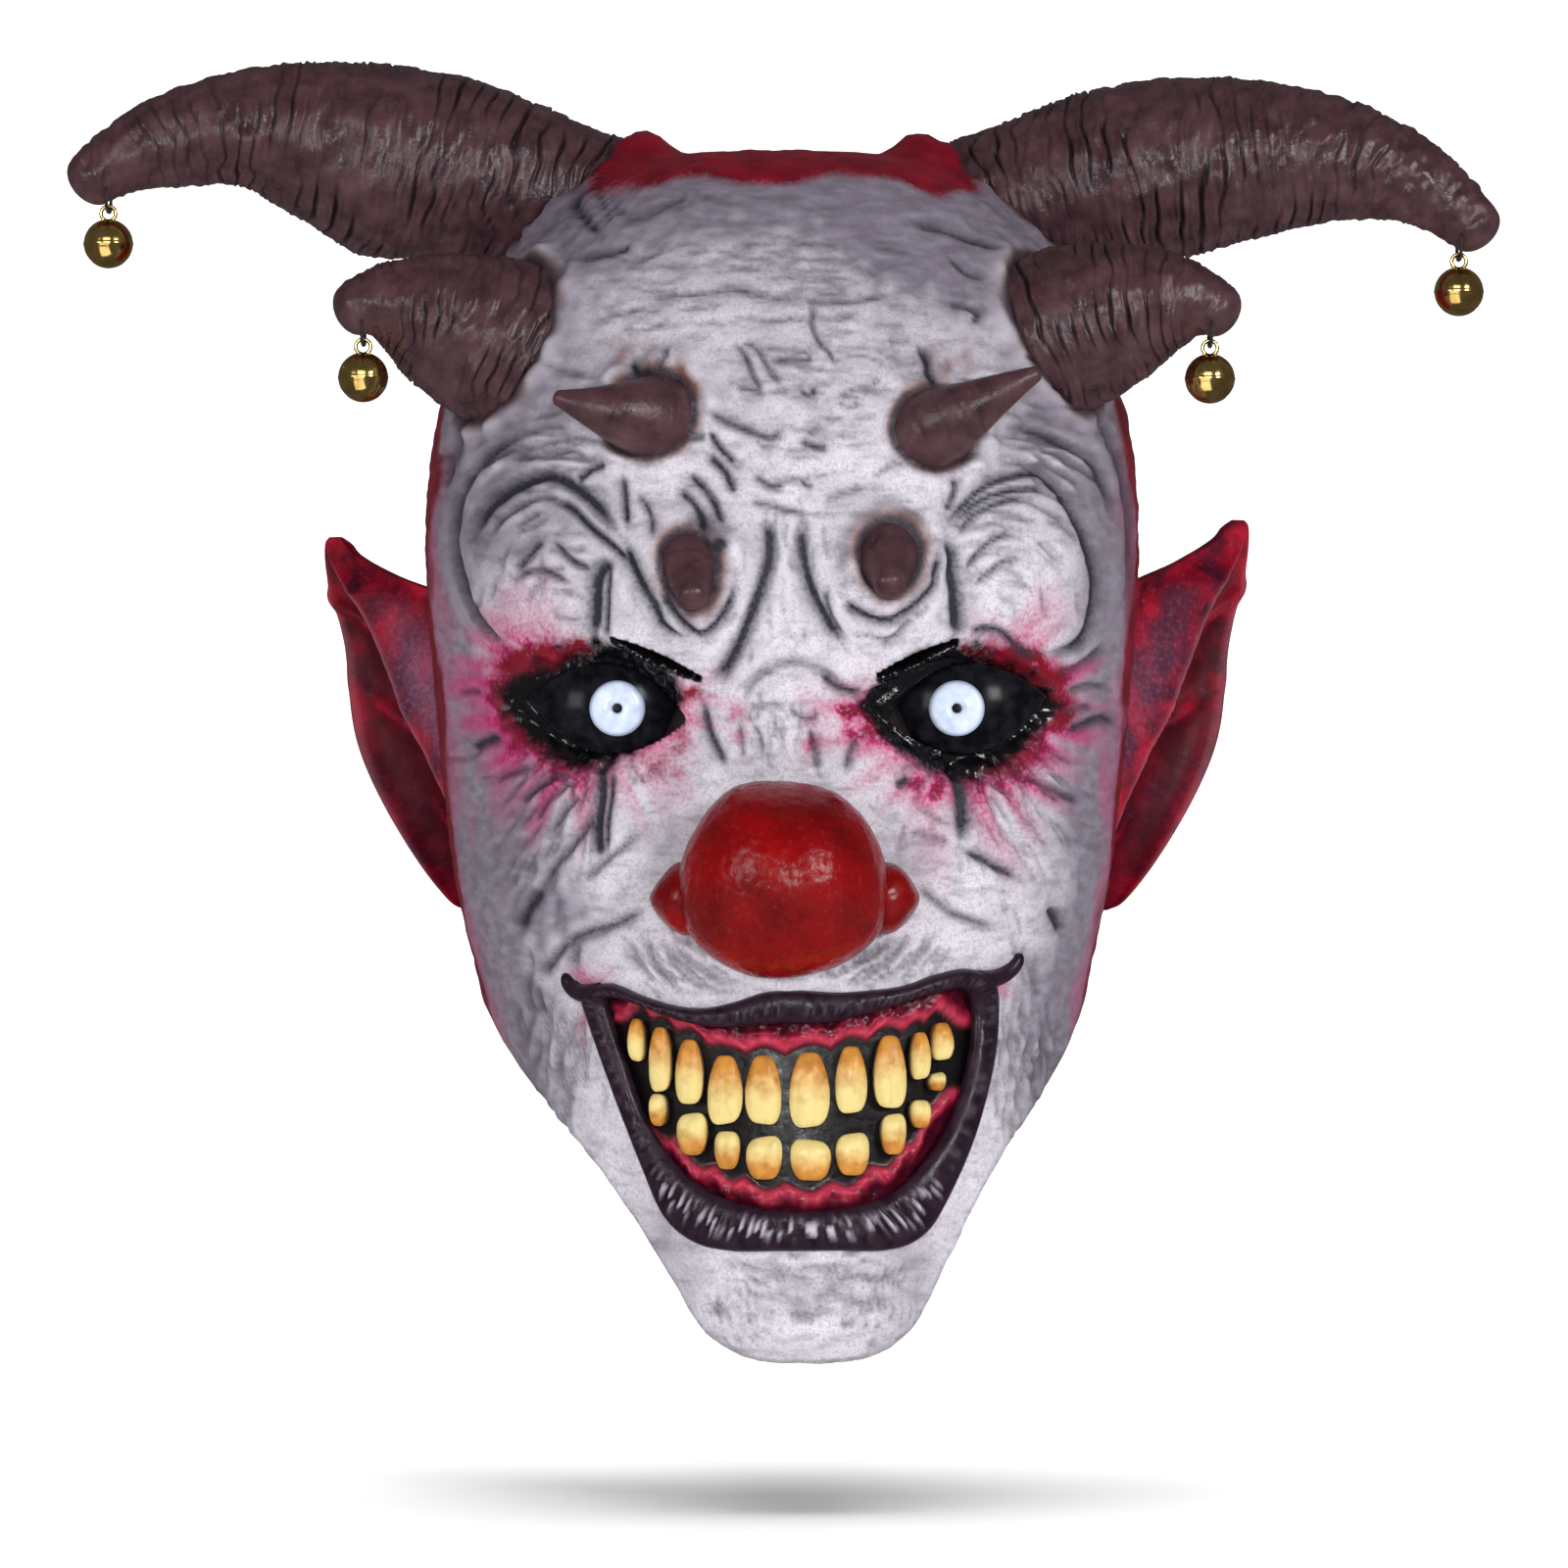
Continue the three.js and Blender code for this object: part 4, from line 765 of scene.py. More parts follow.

# %% [markdown]
# ## Pressing the creases in
# A crease is a groove with a low lip on each side, which is how a modelling tool leaves clay. The distance
# to the nearest part of its curve gives the shape, where the dark wash stays, and a soft painted shade round
# it.

# %% Curves through points
def smooth_path(knots, steps=8, closed=False):
    """Points on a smooth curve through knots."""
    knots = np.asarray(knots, float)
    if closed:
        knots = np.concatenate([knots[-1:], knots, knots[:2]])
    else:
        knots = np.concatenate([2 * knots[:1] - knots[1:2], knots, 2 * knots[-1:] - knots[-2:-1]])
    a, b, c, d = (knots[k : len(knots) - 3 + k, None] for k in range(4))
    t = np.linspace(0, 1, steps, endpoint=False)[:, None]
    curve = b + t * ((c - a) / 2 + t * (a - 2.5 * b + 2 * c - d / 2 + t * (1.5 * (b - c) + (d - a) / 2)))
    curve = curve.reshape(-1, knots.shape[1])
    return curve if closed else np.concatenate([curve, knots[-2:-1]])


def nearest_on_path(places, path):
    """The gap from each place to a path, and how far along the path that is, from 0 to 1."""
    start, step = path[:-1], np.diff(path, axis=0)
    t = ((places[:, None] - start) * step).sum(2) / (step**2).sum(1)
    t = np.clip(t, 0, 1)
    gaps = np.linalg.norm(places[:, None] - start - t[..., None] * step, axis=2)
    pick = np.arange(len(places)), gaps.argmin(1)
    return gaps[pick], (pick[1] + t[pick]) / len(step)


print("a path through 3 points has", len(smooth_path([(0, 0), (1, 1), (2, 0)])), "points")

# %% Ripples
WAVE_MIX = 0.6, 1.5
Swell = namedtuple("Swell", "height wavelength seed")
SKIN_SWELLS = [Swell(0.12, 9, 1), Swell(0.06, 3.5, 2)]


def ripple(points, wavelength, seed, waves=18):
    """A random swell with about that wavelength, in the units of the points, the same on every run."""
    draw = np.random.default_rng(seed)
    points = np.atleast_2d(points)
    way = draw.normal(size=(waves, points.shape[1]))
    way *= 2 * np.pi / wavelength / np.linalg.norm(way, axis=1, keepdims=True)
    way *= draw.uniform(*WAVE_MIX, (waves, 1))
    return np.cos(points @ way.T + draw.uniform(0, 2 * np.pi, waves)).sum(1) / np.sqrt(waves / 2)


def swells(points, rows, seed=0):
    """Several ripples together."""
    return sum(row.height * ripple(points, row.wavelength, seed + row.seed) for row in rows)


print("swells of the skin:", [swell.wavelength for swell in SKIN_SWELLS], "mm long")

# %% Pressing the creases in
CREASE_FADE, CREASE_END = 0.16, 0.25
CREASE_REACH = 5
LIP_SHARE, ROLL_SHARE = 0.35, 0.4
LINE_SHARE, THINNEST = 0.42, 0.46
VALLEY_SHARE, VALLEY_SPREAD = 0.4, 2.3
CORE_DARK, CORE_SPREAD = 0.66, 0.95
HALO_DARK, HALO_SPREAD = 0.46, 2.9
DEEPEST, HIGHEST = -1.7, 1.8


def press(creases, places):
    """Height, wash and soft shade that creases leave at places in the front view."""
    height, wash, shade = np.zeros((3, len(places)))
    for crease in creases:
        path = smooth_path(crease.path)
        reach = CREASE_REACH * crease.width
        near = np.flatnonzero(((places > path.min(0) - reach) & (places < path.max(0) + reach)).all(1))
        if not len(near):
            continue
        gap, along = nearest_on_path(places[near], path)
        fade = np.clip(np.minimum(along, 1 - along) / CREASE_FADE, CREASE_END, 1)
        half = max(THINNEST, LINE_SHARE * crease.width)
        lips = LIP_SHARE * hump(gap - 2 * half, half) + ROLL_SHARE * hump(gap - 4 * half, 2.4 * half)
        valley = fade * hump(gap, VALLEY_SPREAD * crease.width)
        height[near] += crease.depth * (fade * (lips - hump(gap, half)) - VALLEY_SHARE * valley)
        shade[near] = np.maximum(shade[near], crease.dark * valley)
        # The wash has a dark core in the groove and a soft halo round it that is painted shade.
        line = CORE_DARK * hump(gap, CORE_SPREAD * half) + HALO_DARK * hump(gap, HALO_SPREAD * half)
        wash[near] = np.maximum(wash[near], crease.dark * fade * line)
    return height, wash, shade


height, wash = np.zeros((2, len(hood)))
deep_height, deep_wash, shade = press(CREASES, seen[facing])
fine_height, fine_wash, _ = press(FINE_LINES, seen[facing])
front_fade = smooth(-hood[facing, 1], FACE_EDGE, FACE_FULL)
height[facing] = np.clip(deep_height + fine_height, DEEPEST, HIGHEST) * front_fade
# Pale paint on raised folds: a painted highlight, laid like the mask's dry-brushing.
ridge_highlight = smooth(height, 0.12, 0.9) * smooth(-seen[:, 1], 28, 60)
wash[facing] = np.maximum(deep_wash, fine_wash) * front_fade
height += swells(hood, SKIN_SWELLS)
print("deepest crease", round(height.min(), 2), "mm, highest fold", round(height.max(), 2), "mm")

# %% [markdown]
# ## Eyes, lids and sight slits
# Above each eye is a narrow slit to look out through. The glossy black of the eyes runs out over the lids
# in an almond, so the almond drives both the swelling of the lids and the paint.

# %% Eyes, lids and sight slits
Almond = namedtuple("Almond", "word side centre half_length rise fall")
EYE_PAINT = [
    Almond("right", -1, (-49.7, -140.5), 24.0, 14.5, 17.5),
    Almond("left", 1, (43.7, -142.0), 25.6, 15.5, 18.5),
]
ALMOND_SCALE = 1.3
Glow = namedtuple("Glow", "strength angle spread")
EYE_GLOWS = [Glow(1.5, -45, 62), Glow(1.05, 30, 42), Glow(1.0, 200, 36)]
LidFold = namedtuple("LidFold", "height gap spread")
LID_FOLDS = [LidFold(1.2, 1.5, 1.6), LidFold(-0.9, -3.2, 0.9), LidFold(0.7, -5.5, 1.2)]


def almond_gap(almond, places):
    """About how far places are outside an almond, in millimetres, and the angle from its outer corner."""
    across = (places[:, 0] - almond.centre[0]) * almond.side
    up = places[:, 1] - almond.centre[1]
    half_height = np.where(up > 0, almond.rise, almond.fall)
    ratio = np.abs(up) / half_height + (across / almond.half_length) ** 2
    return (np.sqrt(ratio) - 1) * half_height * ALMOND_SCALE, np.degrees(np.arctan2(up, across))


def sector(angle, middle, spread):
    """A hump round an angle, in degrees."""
    return hump((angle - middle + 180) % 360 - 180, spread)


black, magenta = np.zeros((2, len(hood)))
places = seen[facing]
ragged = ripple(places, 7, seed=3)
for almond in EYE_PAINT:
    gap, angle = almond_gap(almond, places)
    spoke = np.stack([np.cos(np.radians(angle)), np.sin(np.radians(angle)), gap * 0.008], axis=1)
    rays = np.clip(0.5 + 0.4 * ripple(spoke, 0.2, seed=5 + almond.side), 0, 1)
    dark = 1 - smooth(gap + 0.4 * ragged - 0.5 * rays, -1.8, 2.4)
    black[facing] = np.maximum(black[facing], dark)
    glow = sum(part.strength * sector(angle, part.angle, part.spread) for part in EYE_GLOWS)
    reach = 3.2 + 7 * rays
    magenta[facing] += glow * np.exp(-np.maximum(gap, 0) / reach) * (1 - smooth(gap, 10, 22))
    lids = sum(fold.height * hump(gap - fold.gap, fold.spread) for fold in LID_FOLDS)
    lids += 0.28 * ripple(places, 3.6, seed=8) * hump(gap + 2, 3.2)
    height[facing] += lids + 0.35 * (rays - 0.5) * hump(gap - 4, 4)
print("black", int((black > 0.5).sum()), "points, magenta", int((magenta > 0.5).sum()), "points")

# %% [markdown]
# ## Colour of the hood
# The face is pale and cool, greyer on the forehead and jaw. Towards the sides it turns lavender and then
# deep red, and the crown and the whole back are red. Warm brown is brushed round the roots of the brow
# horns. The grey on the right cheek is partly painted shade, and the grey and wash over the nubs are painted
# shade. A patch with a negative strength wipes paint off.

# %% Colour of the hood
Patch = namedtuple("Patch", "layer place centre spread strength")
PATCHES = [Patch(*row) for row in (
    ("grey", "forehead", (0, -16), (60, 28), 0.38),
    ("grey", "left forehead", (34, -22), (20, 18), 0.95),
    ("grey", "low forehead", (0, -62), (44, 14), 0.32),
    ("grey", "right brow", (-62, -60), (22, 18), 0.6),
    ("grey", "right temple", (-68, -96), (20, 18), 0.6),
    ("grey", "left brow", (66, -70), (20, 24), 0.62),
    # The right cheek is greyed most, partly as painted shade on the side away from the key lamp.
    ("grey", "right cheek", (-74, -178), (18, 30), 1.0),
    ("grey", "right cheek low", (-58, -195), (10, 7), 0.5),
    ("grey", "right jaw", (-64, -228), (16, 26), 0.38),
    ("grey", "left jaw", (62, -226), (13, 26), 0.5),
    ("grey", "left cheek", (74, -178), (14, 30), 0.3),
    ("grey", "right chin", (-30, -280), (9, 16), 0.5),
    ("grey", "left chin", (30, -286), (8, 18), 0.55),
    ("grey", "nose side right", (-30, -172), (8, 12), 0.35),
    ("grey", "nose side left", (29, -182), (6, 12), 0.45),
    ("grey", "left upper lip", (24, -206), (14, 6), 0.25),
    ("magenta", "right corner", (-50, -211), (7, 3), 0.4),
    ("magenta", "right mouth side", (-51.5, -220), (2.5, 9), 0.5),
    ("magenta", "left mouth side", (54, -214), (4, 4), 0.45),
    ("magenta", "nose bridge right", (-12, -148), (3, 6), 0.45),
    ("magenta", "nose bridge left", (6, -151), (3.5, 7), 0.45),
    ("magenta", "inner corner left", (16, -146), (5, 6), 0.5),
    ("magenta", "left tear side", (36, -164), (8, 4), 0.5),
    ("red", "right outer lid", (-66, -131.5), (8, 4), 0.8),
    ("red", "right upper lid", (-55, -128), (8, 3.5), 0.6),
    ("red", "right inner lid", (-27, -150), (3, 6), 0.34),
    ("red", "right under lid", (-34, -158), (7, 4), 0.34),
    ("red", "left upper lid", (49, -128.5), (7, 3), 0.6),
    ("red", "left outer lid", (58, -130.5), (7, 3.2), 0.75),
    ("red", "left lid end", (65, -135), (5, 4), 0.75),
    ("red", "left outer corner", (70, -144), (4, 6), 0.6),
    ("red", "left under lid", (56, -157), (9, 3), 0.4),
    ("black", "right outer lid", (-64, -131), (7, 3.2), -0.55),
    ("black", "right upper lid", (-55, -128), (7, 2.6), -0.45),
    ("black", "left upper lid", (49, -128.5), (6, 2.4), -0.45),
    ("black", "left outer lid", (58, -130.8), (6, 2.6), -0.55),
    ("black", "left lid end", (65, -135.5), (4, 3), -0.5),
    ("black", "right under slit", (-40, -131.6), (5, 2.2), 0.9),
    ("black", "right under slit in", (-32, -135.2), (5, 2.2), 0.9),
    ("black", "left under slit", (40, -131.6), (5, 2.2), 0.9),
    ("black", "left under slit in", (32, -135.2), (5, 2.2), 0.9),
    ("red", "right slit end", (-24, -138.6), (4, 2), 0.5),
    ("red", "left slit end", (24, -138.6), (4, 2), 0.5),
    ("brown", "right brow horn", (-42, -52), (10, 7), 0.3),
    ("brown", "right brow horn root", (-27, -58), (5, 6), 0.35),
    ("brown", "left brow horn", (44, -54), (9, 6), 0.3),
    ("brown", "left brow horn root", (33, -66), (4, 8), 0.35),
    # Grey over the nubs is painted shade.
    ("grey", "right nub shade", (-21, -98), (8, 7), 0.6),
    ("grey", "left nub shade", (22, -97), (10, 7), 0.7),
    # Painted shadow in the hole beside the right nub and over and beside both nubs.
    ("wash", "right nub hole", (-17.5, -102), (2.2, 2), 1.0),
    ("wash", "right nub top", (-22, -97), (7, 3), 0.6),
    ("wash", "left nub top", (25, -97), (8, 4), 0.65),
    ("wash", "left nub side", (14, -107), (3, 6), 0.4),
)]
print("patches:", len(PATCHES))

# %% Laying the colours
RAGGED, GREY_RAGGED = 0.35, 0.12
SHADE_GREY = 0.2
BROAD_WAVE, BROAD_LIMIT = 26, 1.6
CROWN_EDGE_Z, CROWN_EDGE_SWAY, BACK_EDGE_SWAY = -5.6, 1.6, 5

cover = {layer: np.zeros(len(hood)) for layer in ("grey", "red", "brown")}
cover.update(magenta=magenta, wash=wash, black=black)
for patch in PATCHES:
    blot = patch.strength * hump(places[:, 0] - patch.centre[0], patch.spread[0])
    blot *= hump(places[:, 1] - patch.centre[1], patch.spread[1])
    uneven = GREY_RAGGED if patch.layer == "grey" else RAGGED
    cover[patch.layer][facing] += blot * (1 + uneven * ragged)
# Painted shade beside the deep creases goes into the grey layer.
cover["grey"][facing] += SHADE_GREY * shade * front_fade

y, z = hood[:, 1], hood[:, 2]
broad = np.clip(ripple(hood, BROAD_WAVE, seed=12), -BROAD_LIMIT, BROAD_LIMIT)
crown_edge = CROWN_EDGE_Z + CROWN_EDGE_SWAY * broad - 2 * hump(np.abs(hood[:, 0]) - 36, 8)
crown = smooth(z, crown_edge - 6, crown_edge + 3)
set_back = 24 * smooth(z, -75, -35)
edge_y = y + BACK_EDGE_SWAY * broad
behind = smooth(edge_y - set_back, -34, -14)
cover["red"] = np.maximum(cover["red"], np.maximum(crown, behind))
low = smooth(-z, 55, 110)
cover["magenta"] = np.maximum(cover["magenta"], 0.42 * low * smooth(edge_y, -52, -30))
cover["grey"] += 0.9 * smooth(y, -78, -46)
print({layer: round(float(values.mean()), 3) for layer, values in cover.items()})

# %% Round the horn roots
HORN_WASH_AND_SHADE, HORN_BROWN = 0.85, 0.75
COLLAR_GAP, COLLAR_SPREAD, COLLAR_RISE, COLLAR_LIGHT = 3.2, 2.6, 1.3, 0.25
FILLET_RISE, FILLET_SPREAD = 0.8, 2.5
BROWN_REACH = {"large": 2.0, "side": 2.6, "brow": 1.8, "nub": 2.4}
WASH_AND_SHADE_REACH = {"large": 2.4, "side": 2.4, "brow": 1.0, "nub": 1.0}

lumpy = ripple(hood, 12, seed=14)
for horn in HORNS:
    gap = horn_gap(horn, hood)
    # Dark wash and painted shade where the horn leaves the hood.
    near = hump(np.maximum(gap, 0), WASH_AND_SHADE_REACH[horn.kind])
    cover["wash"] = np.maximum(cover["wash"], HORN_WASH_AND_SHADE * near)
    cover["brown"] += HORN_BROWN * hump(np.maximum(gap, 0), BROWN_REACH[horn.kind])
    collar = (1 + 0.7 * lumpy) * hump(gap - COLLAR_GAP, COLLAR_SPREAD)
    height += FILLET_RISE * hump(gap, FILLET_SPREAD) + COLLAR_RISE * collar
    # The lumpy collars round the horn roots get the same painted highlight.
    ridge_highlight = np.maximum(ridge_highlight, COLLAR_LIGHT * collar * (hood[:, 1] < -FACE_FULL))
print("highest relief:", round(height.max(), 2), "mm")

# %% [markdown]
# ## Lips in outline
# The lips are a painted band. Each row pairs a point on its outer edge with one on its inner edge, going
# round the mouth from the right corner along the upper lip. The middle of the band is where the hood is cut
# open for the teeth.

# %% Lips in outline
LipRib = namedtuple("LipRib", "outer inner")
LIP_RIBS = [LipRib(*row) for row in (
    ((-51, -215.5), (-45.5, -217.8)),
    ((-45, -213.3), (-42, -217.2)),
    ((-37, -216.3), (-36, -219.3)),
    ((-30, -218.6), (-29.5, -222)),
    ((-22, -219.6), (-22, -224)),
    ((-14, -218.2), (-14, -224.6)),
    ((-6, -215.7), (-6, -223.8)),
    ((2, -215.1), (2, -223.5)),
    ((12, -215.6), (11, -223.2)),
    ((22, -215), (21, -220.8)),
    ((30, -213.8), (29, -218.4)),
    ((38, -211), (36.5, -216)),
    ((46, -209.6), (43, -214.8)),
    ((52, -212.5), (46.5, -216.5)),
    ((52.7, -222), (47.2, -224)),
    ((51.5, -235), (45.5, -236)),
    ((47.5, -251), (41, -249.5)),
    ((41.5, -266), (34, -260)),
    ((35, -277), (26.5, -267)),
    ((26, -281.3), (18, -270)),
    ((12, -281.6), (9, -271.3)),
    ((-2, -281.7), (-1, -271.2)),
    ((-14, -281.6), (-11, -269.8)),
    ((-23, -279.4), (-19, -266.7)),
    ((-30.5, -273), (-26, -261.7)),
    ((-36, -260.5), (-31.5, -255)),
    ((-41, -247.5), (-36.7, -245.5)),
    ((-46, -234), (-41, -233)),
    ((-49.5, -223), (-44.4, -223)),
)]
RIB_STEPS = 14
lip_outer = smooth_path([rib.outer for rib in LIP_RIBS], RIB_STEPS, closed=True)
lip_inner = smooth_path([rib.inner for rib in LIP_RIBS], RIB_STEPS, closed=True)
mouth_cut = on_face((lip_outer + lip_inner) / 2)[0][:, [0, 2]]
print("mouth is", round(float(np.ptp(mouth_cut[:, 0])), 1), "mm wide")

# %% [markdown]
# ## Cutting the openings
# The casting is trimmed open at the eyes, the sight slits and the mouth. Faces that are wholly inside an
# outline go, and the points left inside slide onto it, which gives a clean edge without a boolean.

# %% Outlines of the openings
EYE_X, EYE_Y, EYE_Z = 45.0, -62.0, -143.5
BALL_RADIUS = 24.0
EYE_HALF_LENGTH, EYE_HALF_HEIGHT, EYE_TILT = 20.0, 11.0, 0.15
EYE_CUT_Y = -60.0
EYE_FLARE = 1.12
SLIT_INNER, SLIT_OUTER = (20, -137), (45, -126)
SLIT_HALF_HEIGHT, SLIT_END = 1.8, 0.3
OUTLINE_STEPS, SLIT_STEPS = 40, 24


def almond_point(side, share, up):
    """A place on the eye: share runs from -1 at the inner corner to 1, and up is 1 at the upper lid."""
    along = EYE_HALF_LENGTH * share
    rise = EYE_HALF_HEIGHT * up * (1 - share * share)
    return np.stack([side * (EYE_X + along - rise * EYE_TILT), EYE_Z + rise + along * EYE_TILT], axis=-1)


def eye_outline(side):
    """The almond that the eyeball shows in."""
    share = np.linspace(-1, 1, OUTLINE_STEPS)
    return np.concatenate([almond_point(side, share, -1), almond_point(side, share[-2:0:-1], 1)])


def slit_outline(side):
    """A slit that is widest in its middle."""
    share = np.linspace(0, 1, SLIT_STEPS)
    line = np.outer(1 - share, SLIT_INNER) + np.outer(share, SLIT_OUTER)
    half = SLIT_HALF_HEIGHT * (SLIT_END + (1 - SLIT_END) * np.sin(np.pi * share))
    lower, upper = line - np.outer(half, (0, 1)), line + np.outer(half, (0, 1))
    return np.concatenate([lower, upper[::-1]]) * (side, 1)


OPENINGS = [mouth_cut] + [outline(side) for side in (1, -1) for outline in (eye_outline, slit_outline)]
print("openings:", len(OPENINGS))

# %% Cutting the openings
CUT_MARGIN = 3


def inside(places, outline):
    """Whether places are inside a closed outline, by counting crossings."""
    x, z = places[:, None, 0], places[:, None, 1]
    a, b = outline, np.roll(outline, -1, axis=0)
    spans = (a[:, 1] > z) != (b[:, 1] > z)
    rise = np.where(b[:, 1] == a[:, 1], 1e-9, b[:, 1] - a[:, 1])
    return (spans & (x < a[:, 0] + (z - a[:, 1]) * (b[:, 0] - a[:, 0]) / rise)).sum(1) % 2 == 1


def cut_open(points, faces, outline):
    """Faces left outside an outline in the x-z plane. Points inside it slide to its edge."""
    low, high = outline.min(0) - CUT_MARGIN, outline.max(0) + CUT_MARGIN
    flat = points[:, [0, 2]]
    near = np.flatnonzero(((flat > low) & (flat < high)).all(1) & (points[:, 1] < -FACE_FULL))
    hole = np.zeros(len(points), bool)
    hole[near] = inside(flat[near], outline)
    left = faces[~hole[faces].all(1)]
    edge = np.intersect1d(left, np.flatnonzero(hole))
    ring = np.concatenate([outline, outline[:1]])
    start, step = ring[:-1], np.diff(ring, axis=0)
    t = ((flat[edge][:, None] - start) * step).sum(2) / np.maximum((step**2).sum(1), 1e-9)
    spots = start + np.clip(t, 0, 1)[..., None] * step
    pick = np.linalg.norm(flat[edge][:, None] - spots, axis=2).argmin(1)
    points[np.ix_(edge, [0, 2])] = spots[np.arange(len(edge)), pick]
    return left


def open_edges(faces):
    """Edges that only one face uses, in the direction of that face."""
    edges = np.concatenate([faces[:, [k, (k + 1) % 4]] for k in range(4)])
    _, first, count = np.unique(np.sort(edges, axis=1), axis=0, return_index=True, return_counts=True)
    return edges[first[count == 1]]


print("open edges of one face:", len(open_edges(np.array([[0, 1, 2, 3]]))))

# %% [markdown]
# ## The hood
# The outer skin carries all the detail. Inside it is a plainer lining, just under three millimetres in,
# which joins it along the lower rim, and a short wall runs inwards round each opening, so the latex has a
# thickness wherever its edge shows.

# %% Skin and lining
LINING_DEPTH = 2.8
LINING_STEP = 4
LINING_ROWS = 46
CLOSE_BANDS = [(-142, -123), (-302, -276)]
outer_count = len(hood)
columns = len(TURNS)
row_count = len(ROWS)

skin = hood + hood_out * height[:, None]
outer_faces = grid_faces(row_count, columns)
for outline in OPENINGS:
    outer_faces = cut_open(skin, outer_faces, outline)
last_ring = (row_count - 1) * columns
walls = open_edges(outer_faces)
walls = walls[(walls >= columns).all(1) & (walls < last_ring).all(1)]

row_heights = along_rows("z", ROWS)
close_rows = [np.flatnonzero((row_heights > low) & (row_heights < high)) for low, high in CLOSE_BANDS]
even_rows = np.linspace(0, row_count - 1, LINING_ROWS).round().astype(int)
lining_at = np.unique(np.concatenate([even_rows, *close_rows]))
lining_index = (lining_at[:, None] * columns + np.arange(0, columns, LINING_STEP)).ravel()
lining = (hood - hood_out * LINING_DEPTH)[lining_index]
lining_columns = columns // LINING_STEP
lining_faces = grid_faces(len(lining_at), lining_columns)
for outline in OPENINGS:
    lining_faces = cut_open(lining, lining_faces, outline)
print("skin:", len(outer_faces), "faces, lining:", len(lining_faces), "faces")

# %% Walls and rim
wall_points = np.unique(walls)
wall_number = np.zeros(outer_count, int)
wall_first = outer_count + len(lining)
wall_number[wall_points] = wall_first + np.arange(len(wall_points))
wall_faces = np.stack([walls[:, 1], walls[:, 0], wall_number[walls[:, 0]], wall_number[walls[:, 1]]], axis=1)
wall_ends = skin[wall_points] - hood_out[wall_points] * (LINING_DEPTH + height[wall_points, None])

crown_top = wall_first + len(wall_points)
crown_under = crown_top + 1
rim_outer = last_ring + np.arange(columns)
rim_inner = outer_count + (len(lining_at) - 1) * lining_columns + np.arange(columns) // LINING_STEP
rim_next = np.roll(rim_inner, -1)
rim_faces = [
    [a, b, c] if c == d else [a, b, d, c]
    for a, b, c, d in zip(rim_outer, np.roll(rim_outer, -1), rim_inner, rim_next)
]
print("walls:", len(wall_faces), "faces, rim:", len(rim_faces), "faces")

# %% The whole hood
def fan_faces(ring, centre, flip=False):
    """Triangles from a ring of point numbers to one point. flip is for the first ring of a grid."""
    nextward = np.roll(ring, -1)
    pair = (ring, nextward) if flip else (nextward, ring)
    return np.stack([*pair, np.full(len(ring), centre)], axis=-1)


crown_z = SECTIONS[0].z
crown_points = [[CROWN_LEAN, 0, crown_z], [CROWN_LEAN, 0, crown_z - LINING_DEPTH]]
all_points = np.concatenate([skin, lining, wall_ends, crown_points])
all_faces = [
    outer_faces.tolist(),
    (lining_faces[:, ::-1] + outer_count).tolist(),
    wall_faces.tolist(),
    [face[::-1] for face in rim_faces],
    fan_faces(np.arange(columns), crown_top, flip=True).tolist(),
    fan_faces(outer_count + np.arange(lining_columns), crown_under).tolist(),
]


def only_used(points, groups):
    """Drops the points that no face uses and renumbers the faces. Also gives the kept point numbers."""
    kept = np.unique(np.concatenate([np.ravel(face) for group in groups for face in group]))
    number = np.zeros(len(points), int)
    number[kept] = np.arange(len(kept))
    return points[kept], [[number[face].tolist() for face in group] for group in groups], kept


hood_points, hood_groups, kept = only_used(all_points, all_faces)
hood_piece = make_piece("hood", hood_points, *hood_groups)
print("hood:", len(hood_points), "points")

# %% Paint on the hood
def lay_paint(piece, **layers):
    """Stores how strongly each paint covers each point, from 0 to 1."""
    for name, cover in layers.items():
        layer = piece.data.attributes.new(name, "FLOAT", "POINT")
        layer.data.foreach_set("value", np.clip(cover, 0, 1).astype(np.float32))


def spread_layer(values, inside_value=0.0):
    """A layer of the outer skin, carried over to the lining, the walls and the two crown points."""
    extra = np.full(len(lining), inside_value)
    return np.concatenate([values, extra, values[wall_points], [values[0], inside_value]])[kept]


cover["ridge_highlight"] = ridge_highlight
cover["black"] = np.maximum(cover["black"], np.isin(np.arange(outer_count), wall_points))
lay_paint(hood_piece, **{layer: spread_layer(values) for layer, values in cover.items()})
lay_paint(hood_piece, lining=spread_layer(np.zeros(outer_count), 1.0))
print("paints:", sorted(cover))

# %% [markdown]
# ## Painted latex
# From below upwards: pale skin, a lavender grey mottle that also carries painted shade beside the deep
# creases, a pale painted highlight on raised folds, red and magenta, brown, the wash in the creases, whose
# halo and patches round horn roots and nubs are painted shade, and the black of the eyes. Noise eats the
# edge of every layer, as a dry brush does. Only the black is glossy.

# %% Painting helpers
FAINTEST = 0.08


def painted(tree, name):
    """The paint of that name, as it was laid on the piece."""
    return add(tree, "Attribute", {}, attribute_name=name).outputs["Fac"]


def combine(tree, operation, a, b):
    """Adds or multiplies two values, and holds the result between 0 and 1."""
    return add(tree, "Math", {0: a, 1: b}, operation=operation, use_clamp=True).outputs[0]


def thinned(tree, name, share):
    """A paint of which only a share is let through."""
    return combine(tree, "MULTIPLY", painted(tree, name), share)


def broken(tree, mask, noise, bite=0.5, full=0.92):
    """A painted mask whose edges are eaten into by noise. It covers wholly where it reaches full."""
    eaten = combine(tree, "MULTIPLY", mask, varied(tree, noise, 1 - bite, 1 + bite))
    return ramp(tree, eaten, FAINTEST, full)


